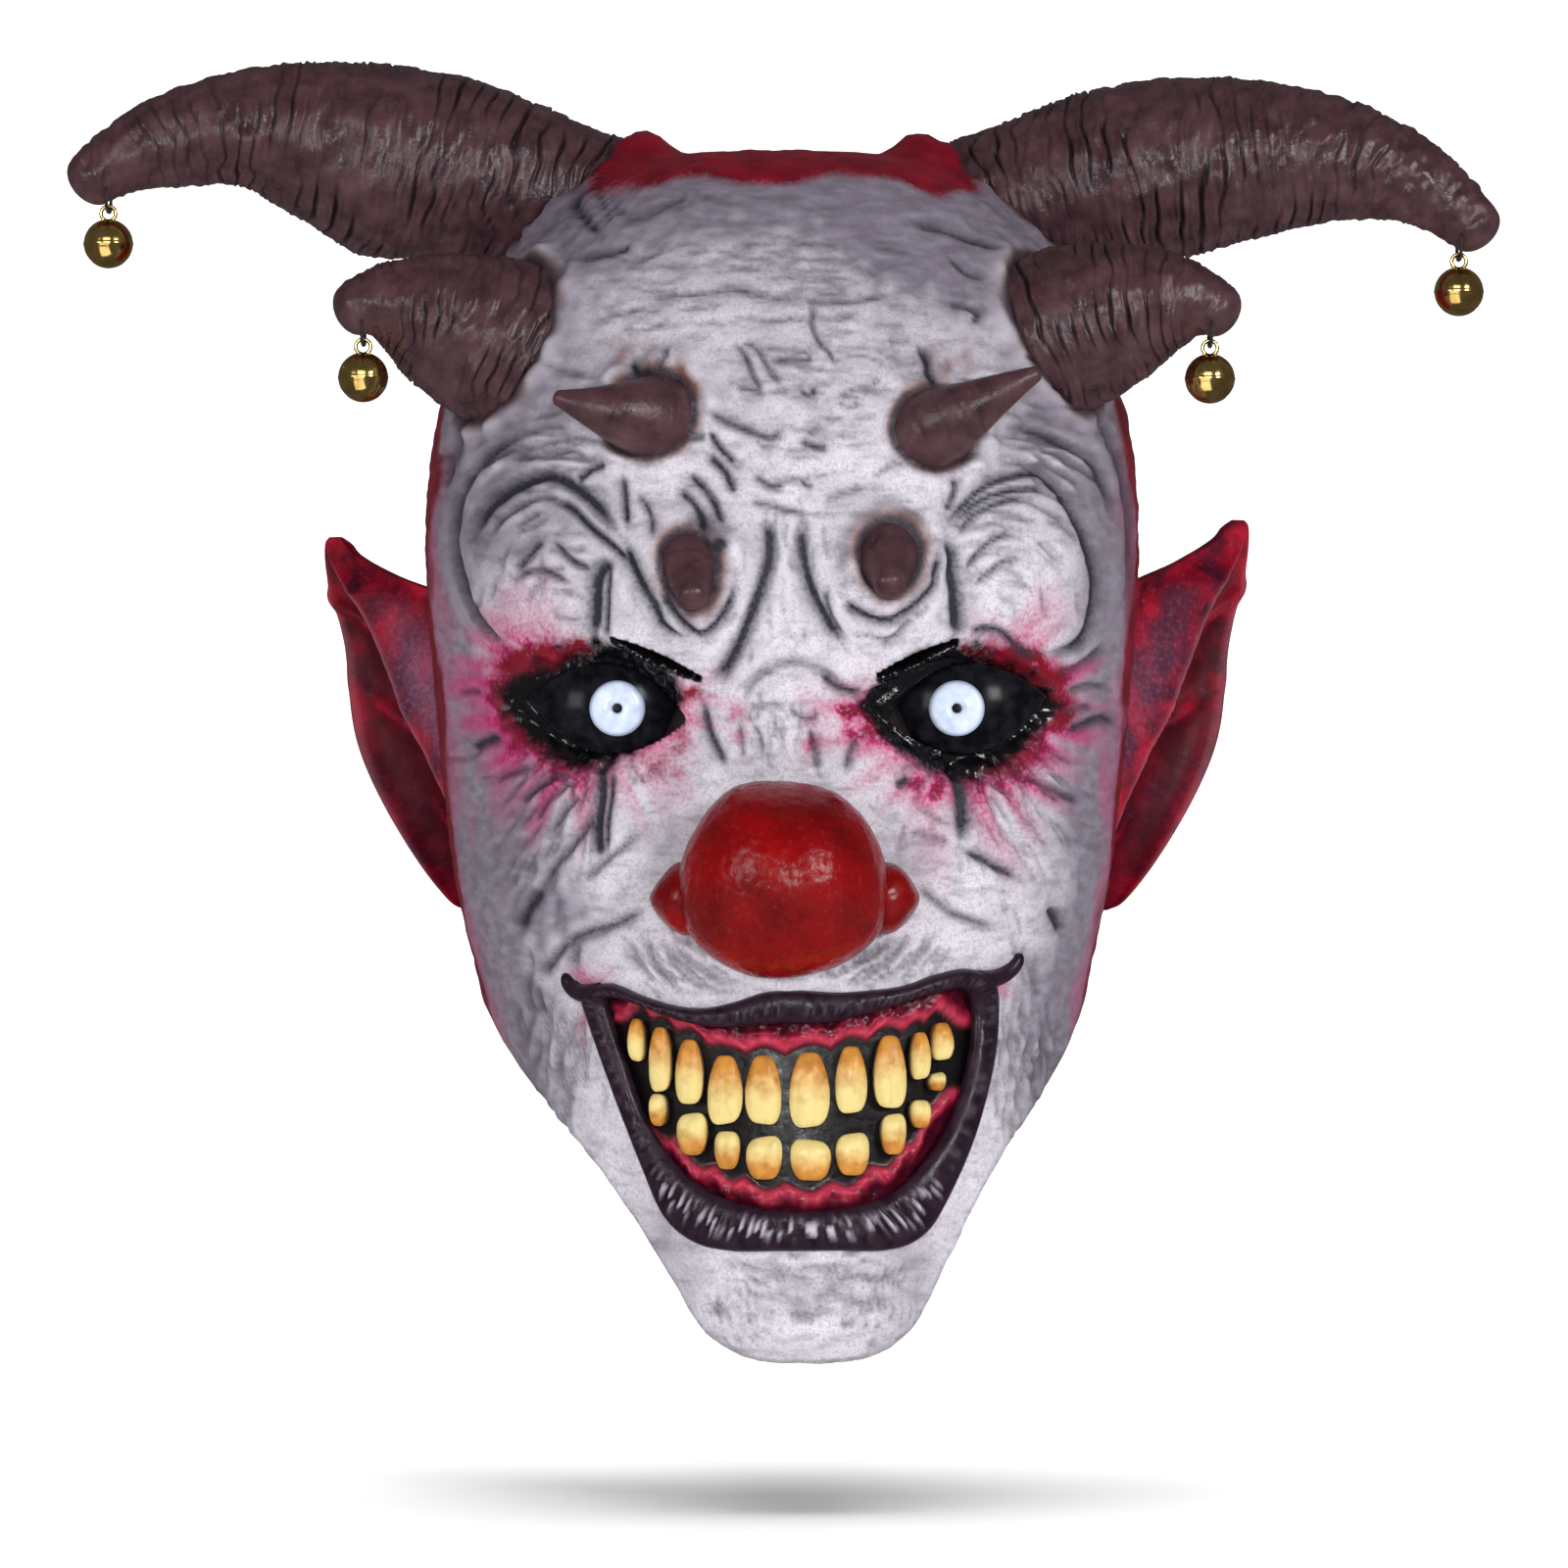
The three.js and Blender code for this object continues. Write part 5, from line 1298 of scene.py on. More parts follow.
def complete(finish, height, depth_mm, strength, **sockets):
    """Links the results of a finish, with bumps that are too fine for the mesh."""
    inputs = {"Height": height, "Distance": depth_mm * MM, "Strength": strength}
    join(finish, Normal=add(finish.node_tree, "Bump", inputs).outputs[0], **sockets)
    return finish


def settle(piece, finish, slot, body, *nodes):
    """Gives a piece its finish, hides the solids it stands in for and parents it to the body it moves with.
    """
    piece.data.materials.append(finish)
    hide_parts(*nodes)
    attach(piece, body)
    print(piece.name, len(piece.data.polygons), "faces")


# %% Painted latex
def latex_finish():
    finish, tree = start_finish("painted_latex")
    mottle = grain(tree, 130, 5.0)
    speckle = grain(tree, 900, 3.0)
    brush = grain(tree, 420, 4.0, stretch=(0.35, 0.35, 1))
    stipple = grain(tree, 2400, 2.0)
    # The grey layer carries grey paint and painted shade beside the deep creases.
    grey = combine(tree, "ADD", painted(tree, "grey"), ramp(tree, mottle, 0.4, 0.72, 0, 0.28))
    dull = over(tree, varied(tree, brush), (0.27, 0.235, 0.295), (0.14, 0.115, 0.15))
    colour = over(tree, grey, (0.74, 0.705, 0.775), dull)
    colour = over(tree, ramp(tree, speckle, 0.5, 0.78, 0, 0.5), colour, (0.20, 0.18, 0.23))
    colour = over(tree, ramp(tree, brush, 0.5, 0.74, 0, 0.5), colour, (0.18, 0.155, 0.19))
    colour = over(tree, ramp(tree, stipple, 0.45, 0.72, 0, 0.5), colour, (0.24, 0.215, 0.27))
    # Pale painted highlight on raised folds and horn collars, broken up like dry-brushing.
    ridge_highlight = thinned(tree, "ridge_highlight", ramp(tree, brush, 0.35, 0.65, 0.2, 0.7))
    colour = over(tree, ridge_highlight, colour, (0.80, 0.77, 0.82))
    colour = over(tree, broken(tree, painted(tree, "brown"), mottle), colour, (0.20, 0.085, 0.062))
    magenta = painted(tree, "magenta")
    bright = over(tree, ramp(tree, magenta, 0.75, 1.0), (0.47, 0.010, 0.14), (0.20, 0.003, 0.030))
    colour = over(tree, broken(tree, magenta, speckle, 0.25), colour, bright)
    deep_red = over(tree, varied(tree, mottle), (0.13, 0.002, 0.010), (0.27, 0.004, 0.020))
    deep_red = over(tree, ramp(tree, speckle, 0.5, 0.8, 0, 0.5), deep_red, (0.06, 0.002, 0.006))
    colour = over(tree, broken(tree, painted(tree, "red"), speckle, 0.25, 0.6), colour, deep_red)
    # Dark wash in the creases, its halo partly painted shade, and painted shadow round horn roots and nubs.
    colour = over(tree, broken(tree, painted(tree, "wash"), speckle, 0.12), colour, (0.030, 0.029, 0.042))
    black = broken(tree, painted(tree, "black"), speckle, 0.1)
    colour = over(tree, black, colour, (0.004, 0.0035, 0.005))
    colour = over(tree, painted(tree, "lining"), colour, (0.014, 0.009, 0.009))
    join(finish, Roughness=ramp(tree, black, 0, 1, 0.5, 0.14))
    join(finish, Specular_IOR_Level=ramp(tree, black, 0, 1, 0.2, 0.55))
    return complete(finish, combine(tree, "ADD", stipple, brush), 0.25, 0.4, Base_Color=colour)


settle(hood_piece, latex_finish(), "face_latex", "mask", "face_shell")

# %% [markdown]
# ## Horns
# A horn was cast from clay that was wrinkled by bending it: uneven rings, close together, that fork and
# fade, with a few warts between. The rings are a saw-shaped function along the horn whose phase wobbles
# round it, so no two of them are the same.

# %% Horn skin
HornSkin = namedtuple("HornSkin", "rings sides folds depth")
HORN_SKINS = {
    "large": HornSkin(360, 92, 30, 1.0),
    "side": HornSkin(200, 84, 17, 0.95),
    "brow": HornSkin(90, 56, 9, 0.14),
    "nub": HornSkin(40, 48, 4, 0.12),
}
DOME_RINGS = 10
TIP_BLUNT = 0.7
Belly = namedtuple("Belly", "share spread height")
BELLIES = {
    "large_right": [Belly(0.66, 0.09, -3.8), Belly(0.41, 0.08, 3.2)],
    "side_right": [Belly(0.8, 0.14, -1.5)],
}
Wart = namedtuple("Wart", "share turn radius height")
WARTS = [
    Wart(0.47, 4.4, 3.2, 1.6),
    Wart(0.66, 4.9, 2.6, 1.3),
    Wart(0.36, 5.3, 2.4, 1.2),
    Wart(0.58, 3.6, 2.2, 1.1),
]
WART_RUN = 150
RING_WOBBLE = [Swell(0.36, 48, 0), Swell(0.12, 12, 1)]
HORN_SEED = 100


def circle(count):
    """Even angles once round."""
    return np.linspace(0, 2 * np.pi, count, endpoint=False)


def spokes(turn, aside, upward):
    """Directions out from a centreline, all round it, at each of its points."""
    return np.cos(turn)[:, None] * aside[:, None] + np.sin(turn)[:, None] * upward[:, None]


def horn_skin(horn, seed):
    """Rings of points, how dark each point's groove is, and the two end points."""
    skin = HORN_SKINS[horn.kind]
    share = np.linspace(0, 1, skin.rings)
    line, ahead = horn_path(horn, share)
    aside = unit(np.cross(ahead, (0, 1, 0)))
    upward = np.cross(aside, ahead)
    turn = circle(skin.sides)
    out = spokes(turn, aside, upward)
    plain = line[:, None] + out * horn_radius(horn, share)[:, None, None]
    flat = plain.reshape(-1, 3)
    size = plain.shape[:2]
    phase = share[:, None] * skin.folds + swells(flat, RING_WOBBLE, seed).reshape(size)
    saw = phase - np.floor(phase)
    strength = np.clip(0.5 + 0.6 * ripple(flat, 24, seed + 2).reshape(size), 0, 1.3)
    groove = hump(saw - 0.5, 0.085) * strength
    fine_saw = 3.4 * phase + 0.7 * ripple(flat, 11, seed + 3).reshape(size)
    soft = np.clip(0.5 + 0.5 * ripple(flat, 15, seed + 5).reshape(size), 0, 1)
    fine = hump(fine_saw - np.floor(fine_saw) - 0.5, 0.2) * soft
    tipward = smooth(1.05 - share, 0.05, 0.55)[:, None] * 0.85 + 0.15
    rolls = 0.5 * hump(saw - 0.5, 0.3) * strength
    bulge = skin.depth * tipward * (0.2 + rolls - 1.5 * groove - 0.22 * fine)
    crinkle = 0.18 * ripple(flat, 8, seed + 4) + 0.15 * ripple(flat * (1, 1, 0.6), 3.4, seed + 6)
    bulge += crinkle.reshape(size) * skin.depth
    groove = groove * tipward
    if horn.kind in ("large", "side"):
        for wart in WARTS:
            across = (turn - wart.turn + np.pi) % (2 * np.pi) - np.pi
            along = (share[:, None] - wart.share) * WART_RUN
            gap = np.hypot(along, across * horn_radius(horn, share)[:, None])
            bulge += wart.height * hump(gap, wart.radius)
    for belly in BELLIES.get(f"{horn.kind}_{horn.word}", []):
        along = belly.height * hump(share - belly.share, belly.spread)
        bulge += along[:, None] * smooth(-out[..., 2], 0, 0.9)
    points = plain + out * bulge[..., None]
    end = np.linspace(0, np.pi / 2, DOME_RINGS + 1)[1:-1]
    tip_radius = horn_radius(horn, share[-1:])[0]
    tip = TIP_BLUNT * tip_radius * ahead[-1]
    dome = line[-1] + np.cos(end)[:, None, None] * tip_radius * out[-1] + np.sin(end)[:, None, None] * tip
    dark = np.clip(1.2 * groove + 0.35 * fine * tipward, 0, 1) * min(1, skin.depth + 0.15)
    dark = np.concatenate([dark, np.repeat(dark[-1:], len(dome), axis=0)])
    points = np.concatenate([points, dome])
    ends = np.stack([line[0], line[-1] + tip])
    return points, dark, ends


print("folds:", {kind: skin.folds for kind, skin in HORN_SKINS.items()})

# %% Horn pieces
def capped_faces(rows, columns, inside_out=False, first=0):
    """Faces of a tube with a point at each end. Both end points are stored after its rows."""
    ring = np.arange(columns)
    count = rows * columns
    tube = grid_faces(rows, columns)
    return [
        (tube[:, ::-1] if inside_out else tube) + first,
        fan_faces(ring, count, flip=not inside_out) + first,
        fan_faces(count - columns + ring, count + 1, flip=inside_out) + first,
    ]


def make_tube(name, rings, ends, inside_out=False):
    """A closed piece from rings of points and one point at each end."""
    rows, columns = rings.shape[:2]
    points = np.concatenate([rings.reshape(-1, 3), ends])
    return make_piece(name, points, *capped_faces(rows, columns, inside_out))


def horn_piece(horn, seed):
    points, dark, ends = horn_skin(horn, seed)
    piece = make_tube(f"{horn.kind}_horn_{horn.word}", points, ends)
    lay_paint(piece, groove=np.concatenate([dark.ravel(), [0, 0]]))
    return piece


# %% Horn finish
def horn_finish():
    finish, tree = start_finish("brown_horn", Specular_IOR_Level=0.36)
    mottle = grain(tree, 160, 5.0)
    speckle = grain(tree, 900, 4.0)
    # The brown is tinted lilac, partly as a painted sheen, and the pale lilac specks are painted highlights.
    colour = over(tree, varied(tree, mottle), (0.039, 0.016, 0.020), (0.094, 0.041, 0.049))
    colour = over(tree, ramp(tree, speckle, 0.6, 0.85, 0, 0.4), colour, (0.15, 0.09, 0.097))
    colour = over(tree, thinned(tree, "groove", 0.9), colour, (0.010, 0.006, 0.008))
    return complete(finish, speckle, 0.3, 0.5, Base_Color=colour, Roughness=varied(tree, mottle, 0.26, 0.42))


brown_horn = horn_finish()
for number, horn in enumerate(HORNS):
    piece = horn_piece(horn, HORN_SEED + 10 * number)
    settle(piece, brown_horn, "horn_latex", "mask", f"horn_{horn.kind}_{horn.word}")

# %% [markdown]
# ## Ears
# Each ear is a cupped, pointed sheet with a rolled rim, a groove inside the rim and a ridge in the hollow,
# like a bat's. A stack of bent sections gives the cup, and humps across each section give the rim and the
# ridge.

# %% Ears
EarSection = namedtuple("EarSection", "z root_x root_y out_x out_y cup")
EAR_SECTIONS = [EarSection(*row) for row in (
    (-195.5, 74, -3, 83, 4, 1),
    (-193, 74, -4, 88, 9, 2),
    (-183, 74, -8, 97, 20, 5),
    (-170, 74, -10, 105, 29, 8),
    (-154, 74, -10, 111, 35, 10),
    (-138, 76, -9, 115, 38, 10),
    (-124, 82, -4, 117.5, 39, 8),
    (-112, 88.5, 3, 119, 38, 5),
    (-104, 104, 20, 121, 37, 2),
    (-98, 114, 28, 122, 36.5, 1),
    (-94.2, 117.2, 30.5, 122, 35.5, 0),
    (-92.6, 118.6, 31.6, 121, 34, 0),
)]
EAR_WALL = 3.0
EAR_STEPS = 12
EAR_ACROSS = 56
EAR_FLAP, FLAP_INNER, FLAP_OUTER = 5.0, 0.38, 0.075
EAR_RIM, RIM_SHARE, RIM_SPREAD = 2.2, 0.97, 0.045
LOBE_RISE, LOBE_PITCH = 2.4, 30
EAR_WAVE, EAR_CRINKLE = 1.1, 0.3
EAR_FULL_WIDTH = 40
CREST_HEIGHTS = [-193, -168, -154, -143, -132, -119, -106, -97]
CREST_SHARES = [0.34, 0.40, 0.46, 0.57, 0.62, 0.66, 0.72, 0.8]
EAR_SHEEN = {"left": 0.5, "right": 1.1}
RIGHT_TIP_DROP = 4.5


def ear_piece(word, side):
    sections = smooth_path(EAR_SECTIONS, EAR_STEPS)
    share = np.linspace(0, 1, EAR_ACROSS)
    z, root, outer, cup = sections[:, 0], sections[:, 1:3], sections[:, 3:5], sections[:, 5]
    outer = outer + np.outer(EAR_WAVE * np.sin(z / 8.5 + 0.6), (1, 0.6)) * smooth(-z, 100, 125)[:, None]
    across = outer - root
    inward = np.stack([-across[:, 1], across[:, 0]], axis=1)
    width = np.linalg.norm(across, axis=1)
    inward /= np.maximum(width, 1e-6)[:, None]
    room = np.clip(width / EAR_FULL_WIDTH, 0, 1)[:, None]
    spots = np.stack(np.broadcast_arrays(z[:, None] / 9, 6 * share), axis=-1)
    wave = ripple(spots.reshape(-1, 2), 5, seed=40).reshape(len(z), -1)
    crest = np.interp(z, CREST_HEIGHTS, CREST_SHARES)[:, None]
    past = share - crest
    flap = np.where(past < 0, hump(past, FLAP_INNER), hump(past, FLAP_OUTER))
    rim = hump(share - RIM_SHARE, RIM_SPREAD)
    lobe_at = (z[:, None] + 152 - 60 * past + 22) % LOBE_PITCH - LOBE_PITCH / 2
    lobes = hump(lobe_at, 4.0) * hump(past - 0.22, 0.12)
    bowl = cup[:, None] * np.sin(np.pi * share)
    high = EAR_FLAP * (0.3 + 0.7 * smooth(z, -176, -148))[:, None]
    front = bowl - room * ((cup[:, None] + high) * flap + EAR_RIM * rim + LOBE_RISE * lobes)
    front = front + room * (EAR_CRINKLE * wave - hump(past - 0.2, 0.1))
    thick = EAR_WALL * np.sqrt(np.clip(1 - share**10, 0, 1)) * np.clip(width / 8, 0.3, 1)[:, None]

    if side < 0:
        z = z - RIGHT_TIP_DROP * smooth(z, -132, -94)

    def sheet(depth):
        flat = root[:, None] + across[:, None] * share[None, :, None] + inward[:, None] * depth[..., None]
        level = np.broadcast_to(z[:, None], flat.shape[:2])
        return np.stack([side * flat[..., 0], flat[..., 1], level], axis=-1)

    rings = np.concatenate([sheet(front), sheet(bowl + thick)[:, ::-1]], axis=1)
    ends = np.stack([rings[0].mean(0), rings[-1].mean(0)])
    piece = make_tube(f"pointed_ear_{word}", rings, ends, inside_out=side > 0)
    paints = {
        # Painted shade in the hollow behind the flap.
        "hollow_shade": smooth(past, 0.02, 0.16) * (1 - 0.8 * rim) * (1 - 0.9 * lobes) * room,
        # Purple-grey painted sheen on the flap and the lower rim, stronger on the right ear.
        "purple_sheen": EAR_SHEEN[word] * room * hump(past + 0.2, 0.15) * hump(z[:, None] + 140, 20)
        + 0.5 * hump(share - 0.84, 0.09) * hump(z[:, None] + 166, 13),
        # A pale line along the crest and rim: a painted highlight that also stands for worn edges.
        "edge": room * (hump(past - 0.01, 0.022) + 0.7 * hump(share - 0.98, 0.02)),
    }
    behind = np.zeros_like(front)
    for name, value in paints.items():
        both = np.concatenate([value, behind], axis=1)
        lay_paint(piece, **{name: np.concatenate([both.ravel(), [0, 0]])})
    return piece


# %% Ear finish
def ear_finish():
    finish, tree = start_finish("red_ear", Specular_IOR_Level=0.12)
    mottle = grain(tree, 110, 5.0)
    speckle = grain(tree, 800, 3.0)
    colour = over(tree, ramp(tree, mottle, 0.35, 0.65), (0.06, 0.0006, 0.008), (0.36, 0.003, 0.020))
    colour = over(tree, ramp(tree, grain(tree, 75, 6.0), 0.52, 0.66, 0, 0.8), colour, (0.035, 0.005, 0.020))
    # Pale pink specks are painted highlights.
    colour = over(tree, ramp(tree, speckle, 0.56, 0.76, 0, 0.3), colour, (0.44, 0.06, 0.10))
    # Painted sheen in purple grey.
    sheen_mask = thinned(tree, "purple_sheen", varied(tree, speckle, 0.35, 1.0))
    colour = over(tree, sheen_mask, colour, (0.22, 0.10, 0.17))
    # Painted shade darkens the hollow.
    shade = thinned(tree, "hollow_shade", varied(tree, mottle, 1.0, 0.72))
    colour = over(tree, shade, colour, (0.045, 0.001, 0.005))
    # Painted edge highlight, partly worn edge.
    colour = over(tree, thinned(tree, "edge", 0.35), colour, (0.42, 0.20, 0.25))
    return complete(finish, mottle, 0.5, 0.5, Base_Color=colour, Roughness=varied(tree, speckle, 0.36, 0.55))


red_ear = ear_finish()
for word, side in (("left", 1), ("right", -1)):
    settle(ear_piece(word, side), red_ear, "ear_latex", "mask", f"ear_{word}")

# %% [markdown]
# ## Nose
# The nose is a glossy ball with two small nostril wings behind it. A ball from a sphere primitive would
# look machine-made, so its radius swells a little at random, and fine dents break up the highlight.

# %% Nose
NOSE_PLACE = np.array([-0.5, -105.0, -186.0])
NOSE_SIZE = np.array([26.8, 25.0, 24.5])
WING_PLACE = np.array([25.2, -98.0, -191.0])
WING_SIZE = np.array([8.4, 11.0, 9.2])
WING_POINT = 0.45
NOSE_ROUND = 0.957
NOSE_RINGS, NOSE_SIDES, NOSE_SWELL = 110, 140, 0.22
WING_RINGS, WING_SIDES, WING_SWELL = 30, 40, 0.15
NOSE_REACH = [25.8, 25.2, 24.8, 23.8, 26.2, 25.6, 26.3, 27.4, 26.2, 24.9, 25.8, 27.0]


def ball_ways(rings, sides):
    """Directions from the middle of a ball, ring by ring from its top, and then its two poles."""
    lift = np.linspace(0, np.pi, rings + 2)[1:-1, None]
    turn = circle(sides)[None, :]
    way = np.broadcast_arrays(np.sin(lift) * np.cos(turn), np.sin(lift) * np.sin(turn), np.cos(lift))
    return np.concatenate([np.stack(way, axis=-1).reshape(-1, 3), [[0, 0, 1], [0, 0, -1]]])


def ball_points(place, size, rings, sides, swell, seed):
    """An uneven ball whose poles are in front and behind."""
    way = ball_ways(rings, sides)[:, [0, 2, 1]] * (1, -1, 1)
    dents = swell * (ripple(way, 1.1, seed) + 0.25 * ripple(way, 0.16, seed + 1))
    return place + way * (size + dents[:, None])


def pull_outline(points):
    """Pulls the round ball to its lumpy outline, given for each twelfth of a turn from the left side."""
    knots = circle(len(NOSE_REACH))
    rim = np.array(NOSE_REACH)[:, None] * np.stack([np.cos(knots), np.sin(knots)], axis=1)
    rim = smooth_path(rim, 10, closed=True)
    rim_turn = np.arctan2(rim[:, 1], rim[:, 0])
    order = np.argsort(rim_turn)
    away = points - NOSE_PLACE
    turn = np.arctan2(away[:, 2], away[:, 0])
    reach = np.interp(turn, rim_turn[order], np.linalg.norm(rim, axis=1)[order], period=2 * np.pi)
    scale = reach / NOSE_SIZE[[0, 2]].mean()
    return NOSE_PLACE + away * np.stack([scale, np.ones_like(scale), scale], axis=1)


round_size = NOSE_SIZE[[0, 1, 0]] * (NOSE_ROUND, 1, NOSE_ROUND)
ball = pull_outline(ball_points(NOSE_PLACE, round_size, NOSE_RINGS, NOSE_SIDES, NOSE_SWELL, seed=50))
nose_points, nose_faces = [ball], capped_faces(NOSE_RINGS, NOSE_SIDES)
for side in (1, -1):
    wing_at = NOSE_PLACE * (1, 0, 0) + WING_PLACE * (side, 1, 1)
    wing = ball_points(wing_at, WING_SIZE, WING_RINGS, WING_SIDES, WING_SWELL, seed=52 + side)
    outward = np.clip(side * (wing[:, 0] - NOSE_PLACE[0]) - WING_PLACE[0], 0, None) / WING_SIZE[0]
    wing[:, 2] = WING_PLACE[2] + (wing[:, 2] - WING_PLACE[2]) * (1 - WING_POINT * outward**2)
    nose_faces += capped_faces(WING_RINGS, WING_SIDES, first=sum(len(group) for group in nose_points))
    nose_points.append(wing)
nose = make_piece("ball_nose", np.concatenate(nose_points), *nose_faces)
print("nose:", len(nose.data.vertices), "points")


# %% Nose finish
def nose_finish():
    finish, tree = start_finish("red_nose", Specular_IOR_Level=0.28)
    mottle = grain(tree, 70, 5.0)
    scuff = grain(tree, 650, 5.0)
    colour = over(tree, varied(tree, mottle), (0.115, 0.0003, 0.001), (0.27, 0.0012, 0.0022))
    colour = over(tree, ramp(tree, scuff, 0.62, 0.8, 0, 0.4), colour, (0.42, 0.05, 0.05))
    return complete(finish, scuff, 0.35, 0.5, Base_Color=colour, Roughness=varied(tree, scuff, 0.2, 0.34))


settle(nose, nose_finish(), "nose_latex", "mask", "nose")

# %% [markdown]
# ## Eyes
# An eye is the front of a black ball that shows in the almond opening, with a raised pale disc for the
# iris. Both follow the same ball.

# %% Eyes
EYE_ALONG, EYE_UP, EYE_CORNER = 60, 28, 0.999
IRIS_X, IRIS_RADIUS, PUPIL_RADIUS = 42.6, 7.0, 1.2
IRIS_RINGS, IRIS_SIDES = 14, 64
IRIS_LIFT, IRIS_EDGE, IRIS_UNDER, IRIS_BEVEL = 1.1, 0.35, 0.25, 1.4


def ball_front(side, flat, lift=0.0):
    """Points on the front of the eyeball at places in the x-z plane."""
    reach = (BALL_RADIUS + lift) ** 2 - (flat[..., 0] - side * EYE_X) ** 2 - (flat[..., 1] - EYE_Z) ** 2
    return np.stack([flat[..., 0], EYE_Y - np.sqrt(np.maximum(reach, 0)), flat[..., 1]], axis=-1)


def eye_piece(word, side):
    share = np.linspace(-EYE_CORNER, EYE_CORNER, EYE_ALONG)[:, None]
    up = np.linspace(-1, 1, EYE_UP)[None, :]
    flat = almond_point(side, *np.broadcast_arrays(share, up))
    front = ball_front(side, flat)
    middle = np.array([side * EYE_X, EYE_Y, EYE_Z])
    back = middle + EYE_FLARE * (front - middle)
    back[..., 1] = EYE_CUT_Y
    rings = np.concatenate([front, back[:, ::-1]], axis=1)
    ends = np.stack([rings[0].mean(0), rings[-1].mean(0)])
    return make_tube(f"black_eye_{word}", rings, ends, inside_out=side < 0)


def loop_faces(rows, columns):
    """Faces of a tube whose last row joins its first."""
    return grid_faces(rows + 1, columns) % (rows * columns)


def iris_piece(word, side):
    radius = np.linspace(PUPIL_RADIUS, IRIS_RADIUS, IRIS_RINGS)
    turn = circle(IRIS_SIDES)
    ring = np.stack([np.cos(turn), np.sin(turn)], axis=-1)
    flat = (side * IRIS_X, EYE_Z) + radius[:, None, None] * ring
    inset = np.minimum(radius - PUPIL_RADIUS, IRIS_RADIUS - radius)
    dome = IRIS_EDGE + (IRIS_LIFT - IRIS_EDGE) * np.sqrt(np.clip(inset / IRIS_BEVEL, 0, 1))
    top = ball_front(side, flat, dome[:, None])
    under = ball_front(side, flat, IRIS_UNDER)[::-1]
    rings = np.concatenate([top, under])
    piece = make_piece(f"pale_iris_{word}", rings.reshape(-1, 3), loop_faces(2 * IRIS_RINGS, IRIS_SIDES))
    edge = np.repeat(smooth(np.abs(radius / IRIS_RADIUS - 0.55), 0.3, 0.45), IRIS_SIDES)
    lay_paint(piece, rim=np.concatenate([edge, edge[::-1]]))
    return piece


# %% Eye finishes
def eye_finish():
    finish, tree = start_finish("wet_black", Roughness=0.2, Specular_IOR_Level=0.1)
    cloud = ramp(tree, grain(tree, 240, 4.0), 0.4, 0.7)
    colour = over(tree, cloud, (0.003, 0.003, 0.004), (0.012, 0.012, 0.017))
    return complete(finish, grain(tree, 160, 2.0), 0.2, 0.3, Base_Color=colour)


def iris_finish():
    finish, tree = start_finish("pale_iris", Roughness=0.2, Specular_IOR_Level=0.3)
    cloud = ramp(tree, grain(tree, 420, 4.0), 0.35, 0.7)
    colour = over(tree, cloud, (0.52, 0.61, 0.79), (0.70, 0.78, 0.91))
    colour = over(tree, painted(tree, "rim"), colour, (0.30, 0.36, 0.50))
    return complete(finish, grain(tree, 500, 2.0), 0.1, 0.3, Base_Color=colour)


wet_black, pale_iris = eye_finish(), iris_finish()
for word, side in (("left", 1), ("right", -1)):
    settle(eye_piece(word, side), wet_black, "eye_gloss", "mask", f"eye_{word}")
    settle(iris_piece(word, side), pale_iris, "iris_paint", "mask", f"iris_{word}")

# %% [markdown]
# ## Lips
# The lips are a soft roll, highest along the middle of the band, with creases across it that gather on the
# lower lip, where pale streaks between them are painted highlights. At each corner the paint curls up into a
# point, which is a small tapered tube.

# %% Lips
LIP_SIDES = 26
LIP_RISE = 3.3
LIP_SINK = 1.2
LIP_FOLDS = [Swell(1, 2.4, 61), Swell(0.6, 1.5, 62)]
Curl = namedtuple("Curl", "word path radius")
CURLS = [
    Curl("right", [(-47, -215.5), (-51.5, -215.8), (-54.5, -214), (-56.6, -210.6)], 2.5),
    Curl("left", [(48, -212.3), (53, -211.8), (57, -209.3), (59.6, -205.6)], 2.4),
]
CURL_SIDES = 16


def lip_roll():
    """Rings of points across the band, all the way round the mouth."""
    turn = circle(LIP_SIDES)
    share = 0.5 - 0.5 * np.cos(turn)
    arch = np.sin(turn)
    seen_at = lip_outer[:, None] * (1 - share)[:, None] + lip_inner[:, None] * share[:, None]
    base, normal = on_face(seen_at.reshape(-1, 2))
    along = 0.8 * np.arange(len(lip_outer))
    lower = smooth(-lip_outer[:, 1], 262, 275)[:, None]
    spots = np.stack(np.broadcast_arrays(along[:, None], 2.5 * share), axis=-1).reshape(-1, 2)
    fold = swells(spots, LIP_FOLDS).reshape(len(along), -1) * hump(share - 0.55, 0.35)
    crease = (0.09 + 0.3 * lower) * fold
    rise = np.where(arch > 0, LIP_RISE * np.abs(arch) ** 0.7, -LIP_SINK * np.abs(arch))
    rise = rise + np.where(arch > 0, arch, 0) * crease
    points = base + normal * rise.reshape(-1, 1)
    # Pale painted highlights between the creases of the lower lip.
    streak = smooth(fold, 0.3, 1.2) * hump(share - 0.56, 0.2) * (0.06 + 0.94 * lower)
    return points, fold.ravel(), streak.ravel()


def curl_tube(curl):
    """Rings of points of a curl, their number and the two end points."""
    base, normal = on_face(smooth_path(curl.path, 8))
    centre = base + 0.5 * normal
    ahead = unit(np.gradient(centre, axis=0))
    aside = np.cross(ahead, normal)
    share = np.linspace(0, 1, len(centre))
    radius = curl.radius * np.sqrt(np.clip(1 - share**8, 0.02, 1)) * (1 - 0.2 * share)
    out = spokes(circle(CURL_SIDES), aside, normal)
    return (centre[:, None] + out * radius[:, None, None]).reshape(-1, 3), len(centre), centre[[0, -1]]


